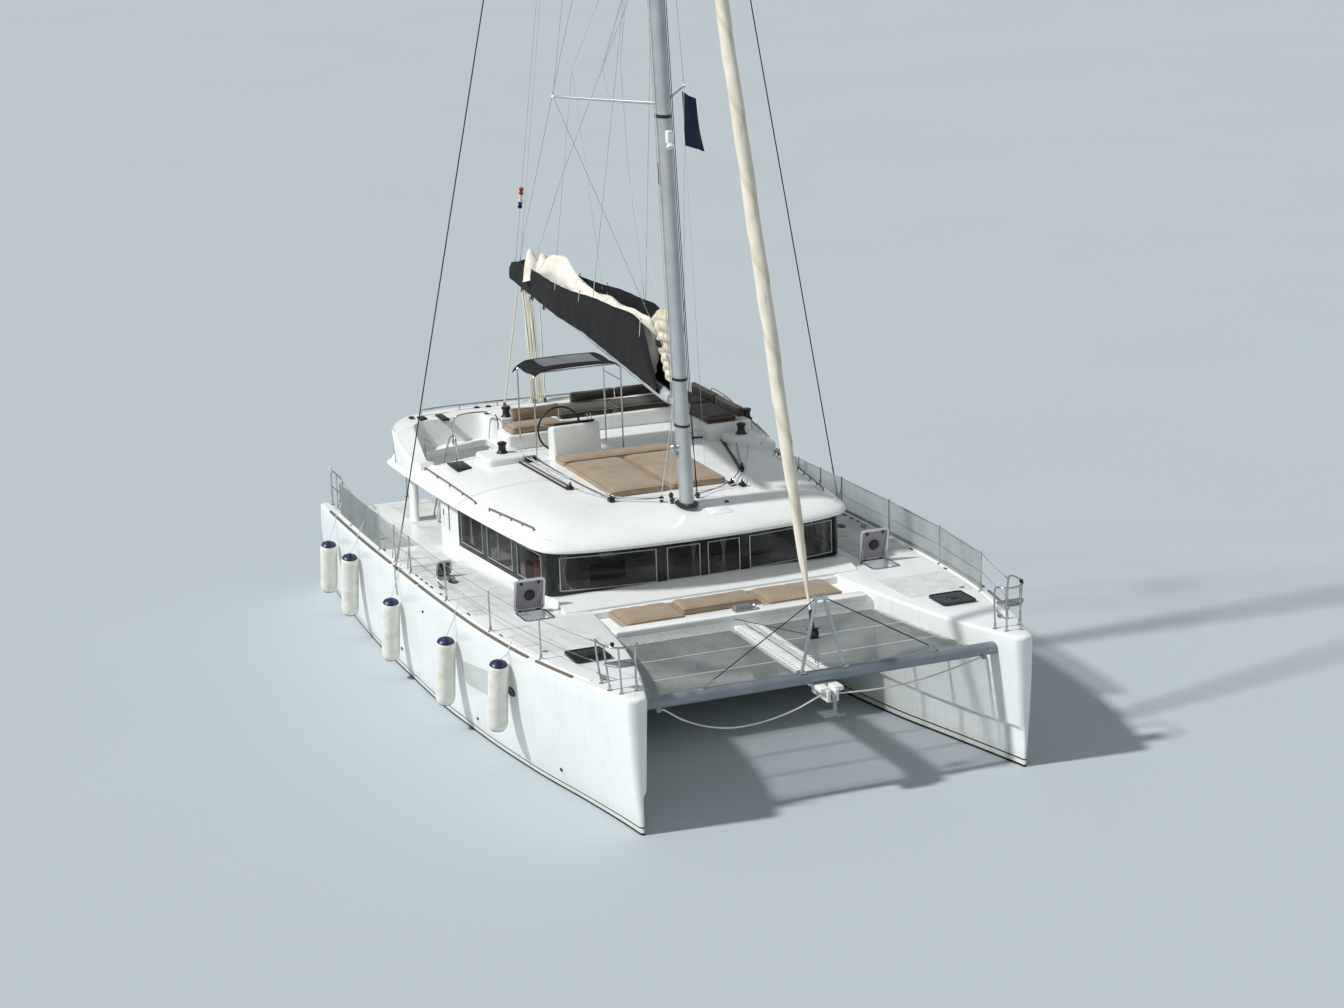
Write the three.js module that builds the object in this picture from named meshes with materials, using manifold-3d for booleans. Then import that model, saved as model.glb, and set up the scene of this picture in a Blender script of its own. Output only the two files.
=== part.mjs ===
// A 14 m cruising sailing catamaran with a flybridge, afloat with its sails furled.
// Millimetres, +X to the bows, +Y to port, +Z up. The origin is amidships, on the centreline, at the waterline.

import * as THREE from "three";
import { mergeVertices } from "three/addons/utils/BufferGeometryUtils.js";
import Module from "manifold-3d";

const wasm = await Module();
wasm.setup();

// Driving dimensions
const DRAUGHT = 1300;
const GAP = 0.3;
const MOVING_GAP = 6;

// Hull form: one row per station of the port hull, from the stem to the transom.
// Columns: x, deck edge outboard, deck edge inboard, waterline outboard, waterline inboard, depth, deck height
const HULL_STATIONS = [
  [6980, 3070, 2900, 2995, 2960, 60, 1970],
  [6880, 3130, 2820, 3010, 2935, 160, 1970],
  [6500, 3240, 2700, 3050, 2850, 330, 1968],
  [5500, 3500, 2420, 3190, 2620, 500, 1955],
  [4000, 3760, 2160, 3440, 2280, 600, 1925],
  [2200, 3890, 2000, 3640, 2040, 660, 1890],
  [0, 3930, 2000, 3760, 2000, 680, 1850],
  [-2500, 3920, 2000, 3750, 2000, 620, 1800],
  [-5200, 3840, 2000, 3620, 2100, 420, 1740],
  [-6200, 3770, 2100, 3530, 2230, 300, 1715],
  [-6980, 3700, 2200, 3450, 2350, 220, 1700],
];
const CHINE_HEIGHT = 560;
const BILGE_STEPS = 8;
const HULL_MIDDLE = 2880;

// Transom: the topside's aft edge in side view, then the boarding steps cut between the side wings
const TRANSOM_PROFILE = [[-6050, 2200], [-6150, 1650], [-6420, 1150], [-6560, 420], [-7200, 420], [-7200, 2200]];
const TRANSOM_STEPS = [[-5500, 1300], [-5850, 1000], [-6200, 700]];
const WING_THICKNESS = 150;

// Bridgedeck between the hulls
const BRIDGE_BOTTOM = 780;
const SOLE_TOP = 1080;
const BRIDGE_AFT = -5300;
const BRIDGE_FORE = 3750;
const BULKHEAD_AFT = 2000;
const BULKHEAD_FORE = 2720;
const BULKHEAD_TOP = 1884;
const FORE_COCKPIT_SOLE = 1780;

// Saloon: half of the wall's outer outline, from the aft corner to the middle of the front (x, y)
const WALL_HALF = [[-2200, 2790], [1830, 2440], [1950, 2380], [2110, 1600], [2200, 800], [2230, 0]];
const WALL_THICKNESS = 50;
const WINDOW_LOW = 2030;
const WINDOW_HIGH = 2640;
const FRONT_PANES = [[-2260, -740], [-640, -30], [30, 640], [740, 2260]];
const SIDE_PANES = [[780, 1740], [-360, 660], [-1400, -480]];
const GLASS_THICKNESS = 10;
const GLASS_AFT = -1500;

// Roof: one row per station. Columns: x, half width, edge height, crown height
const ROOF_STATIONS = [
  [2440, 500, 2745, 2785],
  [2360, 1500, 2745, 2830],
  [2230, 2120, 2745, 2880],
  [2080, 2450, 2745, 2925],
  [1850, 2590, 2745, 2990],
  [1300, 2680, 2750, 3066],
  [-200, 2850, 2760, 3080],
  [-1900, 2980, 2770, 3080],
  [-4200, 3050, 2780, 3060],
  [-4500, 2960, 2785, 3050],
  [-4650, 2700, 2790, 3040],
];
// Columns: share of the half width, share of the crown's rise
const ROOF_CAMBER = [[1, 0], [0.94, 0.5], [0.78, 0.82], [0.45, 0.97], [0, 1]];
const ROOF_THICKNESS = 80;

// Flybridge: the coaming's outer and inner outline in plan (x, y), starboard half mirrored
const COAMING_OUTER = [[-1500, 2930], [-4150, 3020], [-4480, 2900], [-4630, 2600]];
const COAMING_INNER = [[-4150, 2440], [-4050, 2560], [-1500, 2640]];
const COAMING_TOP = 3480;
const ARM_START_STARBOARD = -3150;
const STAIRWELL = { x: [-3760, -2860], y: [-2660, -1420] };
const SEAT_TOP = 3350;

// Helm
const WHEEL_RADIUS = 370;
const WHEEL_CENTRE = [-2310, -650, 3500];
const CONSOLE = { x: [-2200, -1850], y: [-900, -60], top: 3640 };

// Rig
const MAST_FOOT = [1600, 3066];
const MAST_TOP = 22400;
const HOUNDS = 21600;
const MAST_RAKE = THREE.MathUtils.degToRad(4.5);
const MAST_CHORD = 340;
const MAST_WIDTH = 210;
const BOOM_PIVOT = [1215, 0, 4600];
const BOOM_LENGTH = 7450;
const BOOM_RISE = THREE.MathUtils.degToRad(6.5);
const CHAINPLATE = [-1180, 3915];
const SPREADER_TIP = [-680, 1100, 9200];
const DIAMOND_LOW = 5150;
const CROSSBEAM = { x: 6500, z: 1720, radius: 92 };
const STRIKER_APEX = [6450, 2860];
const BRIDLE_LUG = [6560, 2500, 1630];
const BRIDLE_RADIUS = 12;
const FORESTAY_FOOT = 6380;

const sheets = {
  gelcoat: [0xf1f3f2, 0.3, 0],
  antifoul: [0x23262b, 0.8, 0],
  aluminium: [0x9aa0a5, 0.4, 0.9],
  steel: [0xc9ccd0, 0.25, 1],
  glass: [0x15181b, 0.1, 0],
  canvas: [0x17181b, 0.9, 0],
  sailcloth: [0xe9e3d4, 0.8, 0],
  cushion: [0xa08c78, 0.9, 0],
  seat: [0x4b4a45, 0.9, 0],
  netting: [0x8d9391, 0.9, 0],
  rope: [0xe6e4dc, 0.9, 0],
  black: [0x16171a, 0.5, 0],
  fender: [0xeceae4, 0.4, 0],
};

const boat = new THREE.Group();

// Solids

function solid(geometry) {
  geometry.deleteAttribute("normal");
  geometry.deleteAttribute("uv");
  const merged = mergeVertices(geometry, 1e-3);
  const vertProperties = new Float32Array(merged.attributes.position.array);
  const triVerts = new Uint32Array(merged.index.array);
  return new wasm.Manifold(new wasm.Mesh({ numProp: 3, vertProperties, triVerts }));
}

function join(bodies) {
  return bodies.reduce((whole, body) => whole.add(body));
}

function addMesh(name, body, finish, parent = boat) {
  const { vertProperties, triVerts } = body.getMesh();
  const geometry = new THREE.BufferGeometry();
  geometry.setAttribute("position", new THREE.BufferAttribute(vertProperties, 3));
  geometry.setIndex(new THREE.BufferAttribute(triVerts, 1));
  geometry.computeVertexNormals();
  const [color, roughness, metalness] = sheets[finish];
  const mesh = new THREE.Mesh(geometry, new THREE.MeshStandardMaterial({ color, roughness, metalness }));
  mesh.name = name;
  parent.add(mesh);
  return mesh;
}

function block([x0, x1], [y0, y1], [z0, z1]) {
  const geometry = new THREE.BoxGeometry(x1 - x0, y1 - y0, z1 - z0);
  geometry.translate((x0 + x1) / 2, (y0 + y1) / 2, (z0 + z1) / 2);
  return solid(geometry);
}

function rod(from, to, radius, sides = 8) {
  const start = new THREE.Vector3(...from);
  const along = new THREE.Vector3(...to).sub(start);
  const geometry = new THREE.CylinderGeometry(radius, radius, along.length(), sides);
  const turn = new THREE.Quaternion().setFromUnitVectors(new THREE.Vector3(0, 1, 0), along.clone().normalize());
  geometry.applyQuaternion(turn);
  geometry.translate(...start.addScaledVector(along, 0.5).toArray());
  return solid(geometry);
}

function ball(centre, radius, detail = 0) {
  const geometry = new THREE.IcosahedronGeometry(radius, detail);
  geometry.translate(...centre);
  return solid(geometry);
}

// A bent tube: straight lengths with a ball at each bend.
function pipe(points, radius, sides = 6) {
  const lengths = points.slice(1).map((point, i) => rod(points[i], point, radius, sides));
  const bends = points.slice(1, -1).map((point) => ball(point, radius * 1.2));
  return join([...lengths, ...bends]);
}

function shapeOf(outline) {
  return new THREE.Shape(outline.map(([u, v]) => new THREE.Vector2(u, v)));
}

// A plate with its outline in plan (x, y).
function plate(outline, low, high) {
  const geometry = new THREE.ExtrudeGeometry(shapeOf(outline), { depth: high - low, bevelEnabled: false });
  geometry.translate(0, 0, low);
  return solid(geometry);
}

// A plate with its outline in side view (x, z), between two y.
function sidePlate(outline, low, high) {
  const geometry = new THREE.ExtrudeGeometry(shapeOf(outline), { depth: high - low, bevelEnabled: false });
  geometry.rotateX(Math.PI / 2);
  geometry.translate(0, high, 0);
  return solid(geometry);
}

// A body through closed rings with equal counts of points, closed with a fan at each end.
function loft(rings) {
  const count = rings[0].length;
  const points = rings.flat();
  const triangles = [];
  for (let ring = 0; ring + 1 < rings.length; ring += 1) {
    for (let i = 0; i < count; i += 1) {
      const a = ring * count + i;
      const b = ring * count + ((i + 1) % count);
      triangles.push(a, b, b + count, a, b + count, a + count);
    }
  }
  for (const [ring, flipped] of [[0, true], [rings.length - 1, false]]) {
    const middle = new THREE.Vector3();
    rings[ring].forEach((point) => middle.addScaledVector(new THREE.Vector3(...point), 1 / count));
    const hub = points.push(middle.toArray()) - 1;
    for (let i = 0; i < count; i += 1) {
      const a = ring * count + i;
      const b = ring * count + ((i + 1) % count);
      triangles.push(hub, ...(flipped ? [b, a] : [a, b]));
    }
  }
  const geometry = new THREE.BufferGeometry();
  geometry.setAttribute("position", new THREE.Float32BufferAttribute(points.flat(), 3));
  geometry.setIndex(signedVolume(points, triangles) < 0 ? triangles.reverse() : triangles);
  return solid(geometry);
}

function signedVolume(points, triangles) {
  let volume = 0;
  for (let i = 0; i < triangles.length; i += 3) {
    const [a, b, c] = [0, 1, 2].map((k) => new THREE.Vector3(...points[triangles[i + k]]));
    volume += a.dot(b.cross(c)) / 6;
  }
  return volume;
}

function ellipseRing([x, y, z], halfX, halfY, count) {
  return Array.from({ length: count }, (_, i) => {
    const turn = (2 * Math.PI * i) / count;
    return [x + halfX * Math.cos(turn), y + halfY * Math.sin(turn), z];
  });
}

function mirrored(body) {
  return body.mirror([0, 1, 0]);
}

function interpolate(rows, x, column) {
  const i = rows.findIndex((row) => row[0] <= x);
  const [high, low] = [rows[i - 1], rows[i]];
  const share = (x - low[0]) / (high[0] - low[0]);
  return low[column] + share * (high[column] - low[column]);
}

const deckHeight = (x) => interpolate(HULL_STATIONS, x, 6);
const deckEdge = (x) => interpolate(HULL_STATIONS, x, 1);

// Hulls

function hullRing([x, deckOut, deckIn, waterOut, waterIn, depth, deckTop]) {
  const middle = (waterOut + waterIn) / 2;
  const half = (waterOut - waterIn) / 2;
  const flare = waterOut + (deckOut - waterOut) * 0.7;
  const ring = [[x, deckIn, deckTop], [x, deckOut, deckTop], [x, flare, CHINE_HEIGHT * 1.6]];
  for (let i = 0; i <= BILGE_STEPS; i += 1) {
    const turn = (Math.PI * i) / BILGE_STEPS;
    ring.push([x, middle + half * Math.cos(turn), -depth * Math.sin(turn) ** 0.8]);
  }
  ring.push([x, waterIn, CHINE_HEIGHT]);
  ring.push([x, deckIn + (waterIn - deckIn) * 0.5, CHINE_HEIGHT + 60]);
  return ring;
}

// Columns: name, hinge x, inboard y, length, width, opening in degrees at rest, both hulls
const HATCHES = {
  bow_hatch: { hinge: 4590, inboard: 2630, length: 540, width: 560, open: 0, port: true },
  deck_hatch: { hinge: 2235, inboard: 2625, length: 520, width: 490, open: 78, port: true },
  small_hatch: { hinge: -330, inboard: 3260, length: 260, width: 260, open: 72, port: false },
};
const HATCH_RIM = 35;
const RIM_RISE = 22;
const WELL_DEPTH = 420;
const KNUCKLE_RADIUS = 12;

function rimTop(hatch) {
  return deckHeight(hatch.hinge + hatch.length) + RIM_RISE;
}

function hatchRim(hatch) {
  const { hinge, inboard, length, width } = hatch;
  return block(
    [hinge - HATCH_RIM, hinge + length + HATCH_RIM],
    [inboard - HATCH_RIM, inboard + width + HATCH_RIM],
    [rimTop(hatch) - 120, rimTop(hatch)],
  );
}

function hatchWell(hatch) {
  const { hinge, inboard, length, width } = hatch;
  return block(
    [hinge + HATCH_RIM, hinge + length - HATCH_RIM],
    [inboard + HATCH_RIM, inboard + width - HATCH_RIM],
    [rimTop(hatch) - WELL_DEPTH, rimTop(hatch) + 10],
  );
}

const RUDDER_X = -6060;
const RUDDER_STOCK = 32;
const SOCKET_TOP = -200;

function portHull(onThisSide) {
  const wing = (x) => deckEdge(x) - WING_THICKNESS;
  const steps = TRANSOM_STEPS.map(([x, height]) => block([-7200, x], [1900, wing(x)], [height, 2200]));
  const lip = block([-7200, -6560], [1900, 4000], [420, 2200]);
  const open = Object.values(HATCHES).filter(onThisSide);
  const socket = rod([RUDDER_X, HULL_MIDDLE, -500], [RUDDER_X, HULL_MIDDLE, SOCKET_TOP], RUDDER_STOCK + 1, 16);
  return loft(HULL_STATIONS.map(hullRing))
    .subtract(sidePlate(TRANSOM_PROFILE, 1900, 4100))
    .subtract(join([...steps, lip, socket]))
    .add(join(open.map(hatchRim)))
    .subtract(join(open.map(hatchWell)));
}

const hullPort = portHull((hatch) => hatch.port);
const hullStarboard = mirrored(portHull(() => true));
const hulls = hullPort.add(hullStarboard);
addMesh("hull_port", hullPort, "gelcoat");
addMesh("hull_starboard", hullStarboard, "gelcoat");

const hullsRaised = hulls.translate([0, 0, GAP]);
const hullsInward = hullPort.translate([0, -GAP, 0]).add(hullStarboard.translate([0, GAP, 0]));

// The same piece on both hulls: built to port and mirrored.
function addPair(name, body, finish, cutters = []) {
  for (const [side, half] of [["port", body], ["starboard", mirrored(body)]]) {
    const fitted = cutters.reduce((rest, cutter) => rest.subtract(cutter), half);
    addMesh(`${name}_${side}`, fitted, finish);
  }
}

// A foil section across Z. Columns: share of the chord from the nose, share of the half thickness
const FOIL = [[0, 0], [0.1, 0.7], [0.3, 1], [0.65, 0.7], [1, 0.06]];

function foilRing(nose, chord, y, halfThickness, z) {
  const side = FOIL.map(([along, across]) => [nose - along * chord, y + across * halfThickness, z]);
  const back = FOIL.slice(1).reverse();
  return [...side, ...back.map(([along, across]) => [nose - along * chord, y - across * halfThickness, z])];
}

function foil(rows) {
  return loft(rows.map(([nose, chord, halfThickness, z]) => foilRing(nose, chord, HULL_MIDDLE, halfThickness, z)));
}

// Columns of foil rows: nose x, chord, half thickness, z
const keel = foil([[1150, 3000, 150, -400], [750, 2300, 110, -DRAUGHT]]);
addPair("keel", keel.subtract(hullPort.translate([0, 0, -GAP])), "antifoul");

const rudderBlade = foil([[-5900, 520, 38, -345], [-5920, 400, 26, -1150]]);
const rudderStock = rod([RUDDER_X, HULL_MIDDLE, -500], [RUDDER_X, HULL_MIDDLE, SOCKET_TOP - GAP], RUDDER_STOCK, 12);
addPair("rudder", rudderBlade.add(rudderStock), "antifoul");

const DRIVE_X = -4450;
const SHAFT_Z = -900;
const HUB_RADIUS = 58;
const PROPELLER_X = DRIVE_X - 230;
const BLADE_LENGTH = 215;

const driveStrut = foil([[DRIVE_X + 230, 420, 70, -380], [DRIVE_X + 170, 320, 45, SHAFT_Z]]);
const driveTorpedo = rod([PROPELLER_X, HULL_MIDDLE, SHAFT_Z], [DRIVE_X + 180, HULL_MIDDLE, SHAFT_Z], HUB_RADIUS, 12);
const drive = driveStrut.add(driveTorpedo).subtract(hullPort.translate([0, 0, -GAP]));
addPair("sail_drive", drive, "black");

function propeller() {
  const start = PROPELLER_X - GAP;
  const hub = rod([start - 120, 0, 0], [start, 0, 0], HUB_RADIUS - 3, 12);
  const blades = [0, 1, 2].map((i) => {
    const geometry = new THREE.CylinderGeometry(BLADE_LENGTH / 2, BLADE_LENGTH / 2, 14, 12);
    geometry.rotateZ(Math.PI / 2);
    geometry.scale(1, 0.55, 1);
    geometry.rotateZ(THREE.MathUtils.degToRad(28));
    geometry.translate(start - 60, 0, 20 + BLADE_LENGTH / 2);
    const blade = solid(geometry);
    return blade.rotate([120 * i, 0, 0]);
  });
  return join([hub, ...blades]).translate([0, HULL_MIDDLE, SHAFT_Z]);
}
addPair("propeller", propeller(), "aluminium");

// Bridgedeck and saloon

const bridgedeck = join([
  block([BRIDGE_AFT, BRIDGE_FORE], [-2300, 2300], [BRIDGE_BOTTOM, SOLE_TOP]),
  block([BULKHEAD_AFT, BRIDGE_FORE], [-2300, 2300], [SOLE_TOP - 1, FORE_COCKPIT_SOLE]),
  block([BULKHEAD_AFT, BULKHEAD_FORE], [-2300, 2300], [FORE_COCKPIT_SOLE - 1, BULKHEAD_TOP]),
  block([BRIDGE_AFT, BRIDGE_AFT + 160], [-2300, 2300], [SOLE_TOP - 1, 1560]),
]).subtract(hullsInward);
addMesh("bridgedeck", bridgedeck, "gelcoat");

// The whole outline from half of it, running from one aft corner round the front to the other.
function wholeOutline(half) {
  const other = half.slice(0, -1).map(([x, y]) => [x, -y]);
  return [...half, ...other.reverse()];
}

// A polyline moved sideways, to its left when the distance is positive.
function offsetLine(line, distance) {
  return line.map(([x, y], i) => {
    const [px, py] = line[Math.max(i - 1, 0)];
    const [nx, ny] = line[Math.min(i + 1, line.length - 1)];
    const before = new THREE.Vector2(x - px, y - py).normalize();
    const after = new THREE.Vector2(nx - x, ny - y).normalize();
    const along = before.clone().add(after).normalize();
    const reach = distance / Math.max(0.5, along.dot(i > 0 ? before : after));
    return [x - along.y * reach, y + along.x * reach];
  });
}

// A wall along a polyline, between two offsets to the left.
function wallAlong(line, near, far, low, high) {
  return plate([...offsetLine(line, near), ...offsetLine(line, far).reverse()], low, high);
}

function roofRing([x, half, edge, crown], lift) {
  const top = ROOF_CAMBER.map(([across, rise]) => [x, across * half, edge + rise * (crown - edge)]);
  const under = top.map(([, y, z], i) => [x, y, z - (i === 0 ? 45 : ROOF_THICKNESS)]).reverse();
  const whole = [...under, ...top.map(([, y, z]) => [x, y, lift ? z + lift : z])];
  const other = whole.slice(1, -1).map(([, y, z]) => [x, -y, z]);
  return [...whole, ...other.reverse()];
}

const roofShell = loft(ROOF_STATIONS.map((row) => roofRing(row, 0)));
const roofUpward = loft(ROOF_STATIONS.map((row) => roofRing(row, 1500)));
const roofAndAbove = roofUpward.translate([0, 0, -GAP]);

const wallLine = wholeOutline(WALL_HALF);
const frontCuts = FRONT_PANES.map((pane) => block([1750, 2600], pane, [WINDOW_LOW, WINDOW_HIGH]));
const sideCuts = SIDE_PANES.map((pane) => block(pane, [-3000, 3000], [WINDOW_LOW, WINDOW_HIGH]));
const saloonWalls = wallAlong(wallLine, 0, -WALL_THICKNESS, 1700, 3100)
  .subtract(block([-3000, WALL_HALF[0][0]], [-3500, 3500], [1000, 3200]))
  .subtract(join([...frontCuts, ...sideCuts]))
  .subtract(hullsRaised)
  .subtract(hullsInward)
  .subtract(block([BULKHEAD_AFT - 100, BULKHEAD_FORE], [-2100, 2100], [1600, BULKHEAD_TOP + GAP]))
  .subtract(roofAndAbove);
addMesh("saloon_walls", saloonWalls, "gelcoat");

const glazing = wallAlong(wallLine, GAP + GLASS_THICKNESS, GAP, WINDOW_LOW - 40, WINDOW_HIGH + 40)
  .subtract(block([-3000, GLASS_AFT], [-3500, 3500], [1900, 2800]))
  .subtract(roofAndAbove);
addMesh("saloon_glazing", glazing, "glass");

const BULKHEAD_X = [-2255, -2200 - GAP];
const DOOR_Y = [-80, 1380];
const DOOR_TOP = 2560;
const doorRail = block([-2330, -2250], [-1500, DOOR_Y[1] + 60], [DOOR_TOP + 30, DOOR_TOP + 60]);
const aftBulkhead = block(BULKHEAD_X, [-2785, 2785], [SOLE_TOP + GAP, 3100])
  .subtract(block([-2400, -2100], DOOR_Y, [SOLE_TOP + 40, DOOR_TOP]))
  .subtract(block([-2400, -2100], [-2000, -300], [1650, 2450]))
  .subtract(block([-2400, -2100], [1560, 2300], [1950, 2450]))
  .add(doorRail)
  .subtract(hullsRaised)
  .subtract(hullsInward)
  .subtract(roofAndAbove);
addMesh("aft_bulkhead", aftBulkhead, "gelcoat");

const doorHeight = [SOLE_TOP + MOVING_GAP, DOOR_TOP + 30 - GAP];
const saloonDoor = block([-2310, -2262], [DOOR_Y[0] - 40, DOOR_Y[1] + 40], doorHeight)
  .subtract(block([-2400, -2200], [DOOR_Y[0] + 40, DOOR_Y[1] - 40], [SOLE_TOP + 110, DOOR_TOP - 60]));
addMesh("saloon_door", saloonDoor, "glass");

// Flybridge

function coaming() {
  const outer = [...COAMING_OUTER, ...COAMING_OUTER.map(([x, y]) => [x, -y]).reverse()];
  const inner = [...COAMING_INNER.map(([x, y]) => [x, -y]).reverse(), ...COAMING_INNER];
  const ring = plate([...outer, ...inner], 2800, COAMING_TOP);
  return ring.subtract(block([ARM_START_STARBOARD, 0], [-4000, -2000], [2500, 3600]));
}

const seatsAndCoaming = join([
  coaming(),
  block([-4160, -3450], [-250, 2450], [3000, SEAT_TOP]),
  block([-3460, -1900], [1850, 2560], [3000, SEAT_TOP]),
  block([-3350, -2850], [-1350, -350], [3000, SEAT_TOP]),
  block([-4180, -3800], [-2600, -300], [3000, COAMING_TOP]),
  block([-3801, -3440], [-1380, -360], [3000, COAMING_TOP]),
]);
const aboveUnderside = seatsAndCoaming.intersect(roofUpward);
const coachroof = roofShell.add(aboveUnderside).subtract(block(STAIRWELL.x, STAIRWELL.y, [2600, 3600]));
addMesh("coachroof", coachroof, "gelcoat");
const roofRaised = coachroof.translate([0, 0, GAP]);

const post = block([-4260, -3960], [2620, 2740], [1600, 3100]);
addPair("hardtop_post", post, "gelcoat", [hullsRaised, roofAndAbove]);

const loungeCushions = join([
  block([-4120, -3480], [-220, 2420], [SEAT_TOP + GAP, SEAT_TOP + 110]),
  block([-3500, -1930], [1880, 2420], [SEAT_TOP + GAP, SEAT_TOP + 110]),
]);
addMesh("lounge_cushions", loungeCushions, "seat");
addMesh("helm_seat", block([-3330, -2870], [-1330, -370], [SEAT_TOP + GAP, SEAT_TOP + 120]), "cushion");
const sunpad = block([-1800, 800], [-950, 1050], [3040, 3190]).subtract(roofRaised);
addMesh("sunpad", sunpad, "cushion");
const [consoleAft, consoleFore] = CONSOLE.x;
const consoleSide = [
  [consoleAft, 3000], [consoleFore, 3000], [consoleFore - 120, CONSOLE.top], [consoleAft, CONSOLE.top - 60],
];
addMesh("helm_console", sidePlate(consoleSide, ...CONSOLE.y).subtract(roofRaised), "gelcoat");

function steeringWheel() {
  const rim = new THREE.TorusGeometry(WHEEL_RADIUS, 14, 6, 28);
  rim.rotateY(Math.PI / 2);
  const spokes = [0, 1, 2, 3, 4].map((i) => {
    const turn = (2 * Math.PI * i) / 5;
    return rod([0, 0, 0], [0, WHEEL_RADIUS * Math.sin(turn), WHEEL_RADIUS * Math.cos(turn)], 8, 6);
  });
  const shaft = rod([-30, 0, 0], [consoleAft - WHEEL_CENTRE[0] - GAP, 0, 0], 40, 12);
  return join([solid(rim), shaft, ...spokes]);
}
const wheel = addMesh("steering_wheel", steeringWheel(), "steel");
wheel.position.set(...WHEEL_CENTRE);

const BIMINI = { x: [-3000, -1860], y: [-1200, 320], top: 4640 };

function biminiHoop(x) {
  const [low, high] = BIMINI.y;
  const foot = 3000;
  const shoulder = BIMINI.top - 130;
  const outline = [[x, low, foot], [x, low, shoulder], [x, low + 90, BIMINI.top - 60], [x, high - 90, BIMINI.top - 60]];
  return pipe([...outline, [x, high, shoulder], [x, high, foot]], 14);
}
const biminiTie = rod([BIMINI.x[0] + 300, BIMINI.y[1], 4300], [BIMINI.x[1] - 40, BIMINI.y[1], 4300], 10, 6);
const biminiFrame = join([biminiHoop(-2700), biminiHoop(BIMINI.x[1] - 40), biminiTie]).subtract(roofRaised);
addMesh("bimini_frame", biminiFrame, "steel");
const biminiTop = block(BIMINI.x, [BIMINI.y[0] + 60, BIMINI.y[1] - 60], [BIMINI.top - 54, BIMINI.top])
  .subtract(biminiFrame.translate([0, 0, GAP]));
addMesh("bimini_top", biminiTop, "canvas");

// Cockpits

const cockpitSeat = block([-5130, -4550], [-1900, 1900], [SOLE_TOP + GAP, 1500]);
addMesh("cockpit_seat", cockpitSeat, "cushion");
const cockpitTable = join([
  block([-4100, -2800], [500, 1500], [1760, 1800]),
  rod([-3450, 1000, SOLE_TOP + GAP], [-3450, 1000, 1770], 60, 12),
]);
addMesh("cockpit_table", cockpitTable, "gelcoat");
const cushionLow = FORE_COCKPIT_SOLE + GAP;
const foreCushion = block([BULKHEAD_FORE + 5, 3480], [-1800, 1800], [cushionLow, FORE_COCKPIT_SOLE + 120]);
addMesh("forward_cushion", foreCushion, "cushion");

// Foredeck

const beamBare = rod([CROSSBEAM.x, -2900, CROSSBEAM.z], [CROSSBEAM.x, 2900, CROSSBEAM.z], CROSSBEAM.radius, 16);
const lugs = [-1, 1].map((side) => {
  const [near, far] = [side * BRIDLE_LUG[1], side * (BRIDLE_LUG[1] + 60)].sort((a, b) => a - b);
  return block([BRIDLE_LUG[0] - 35, BRIDLE_LUG[0] + 35], [near, far], [BRIDLE_LUG[2] - 35, CROSSBEAM.z]);
});
const crossbeam = join([beamBare, ...lugs]).subtract(hullsInward);
addMesh("crossbeam", crossbeam, "aluminium");
const crossbeamRaised = crossbeam.translate([0, 0, GAP]);

const [apexX, apexZ] = STRIKER_APEX;
const striker = join([
  ...[-1, 1].map((side) => rod([CROSSBEAM.x - 20, side * 330, CROSSBEAM.z], [apexX, side * 25, apexZ], 24, 8)),
  ...[-1, 1].map((side) => rod([CROSSBEAM.x, side * 1850, CROSSBEAM.z + 60], [apexX, 0, apexZ], 9, 6)),
  block([apexX - 40, apexX + 40], [-60, 60], [apexZ - 35, apexZ + 25]),
]).subtract(crossbeamRaised).subtract(beamBare.translate([0, 0, -20]));
addMesh("striker", striker, "steel");

const CATWALK_HALF = 180;
const ROLLER_HALF = 90;
const ROLLER_SLOT = 30;
const centreBeam = join([
  block([BRIDGE_FORE + GAP, 6800], [-CATWALK_HALF, CATWALK_HALF], [1560, 1700]),
  block([6300, 6830], [-ROLLER_HALF, ROLLER_HALF], [1420, 1600]),
]).subtract(block([CROSSBEAM.x - 110, 7000], [-300, 300], [1628 - GAP, 1900]))
  .subtract(block([6560, 7000], [-ROLLER_SLOT, ROLLER_SLOT], [1450, 1900]));
addMesh("centre_beam", centreBeam, "gelcoat");

const anchor = join([
  block([6570, 6900], [-22, 22], [1470, 1530]),
  rod([6660, GAP - ROLLER_SLOT, 1500], [6660, ROLLER_SLOT - GAP, 1500], 24, 12),
  block([6860, 6900], [-22, 22], [1240, 1530]),
  block([6640, 6900], [-170, 170], [1225, 1250]),
]);
addMesh("anchor", anchor, "steel");

const windlass = join([
  block([3520, 3690], [-120, 120], [FORE_COCKPIT_SOLE + GAP, 1850]),
  rod([3605, -110, 1900], [3605, 150, 1900], 75, 12),
]);
addMesh("windlass", windlass, "black");

// One net of the pair: its edge follows the hull, and tabs lace it to the catwalk and the bridgedeck.
function trampoline() {
  const inside = CATWALK_HALF + 45;
  const hullSide = [[BRIDGE_FORE + 45, 2085], [4700, 2220], [5500, 2370], [6370, 2620]];
  const sheet = plate([...hullSide, [6370, inside], [BRIDGE_FORE + 45, inside]], 1660, 1675);
  const sideTabs = [4100, 4700, 5300, 5900].map((x) =>
    block([x, x + 40], [CATWALK_HALF + GAP, inside + 20], [1660, 1675]));
  const aftTabs = [600, 1100, 1600].map((y) =>
    block([BRIDGE_FORE + GAP, BRIDGE_FORE + 70], [y, y + 40], [1660, 1675]));
  return join([sheet, ...sideTabs, ...aftTabs]);
}
addPair("trampoline", trampoline(), "netting");

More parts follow.
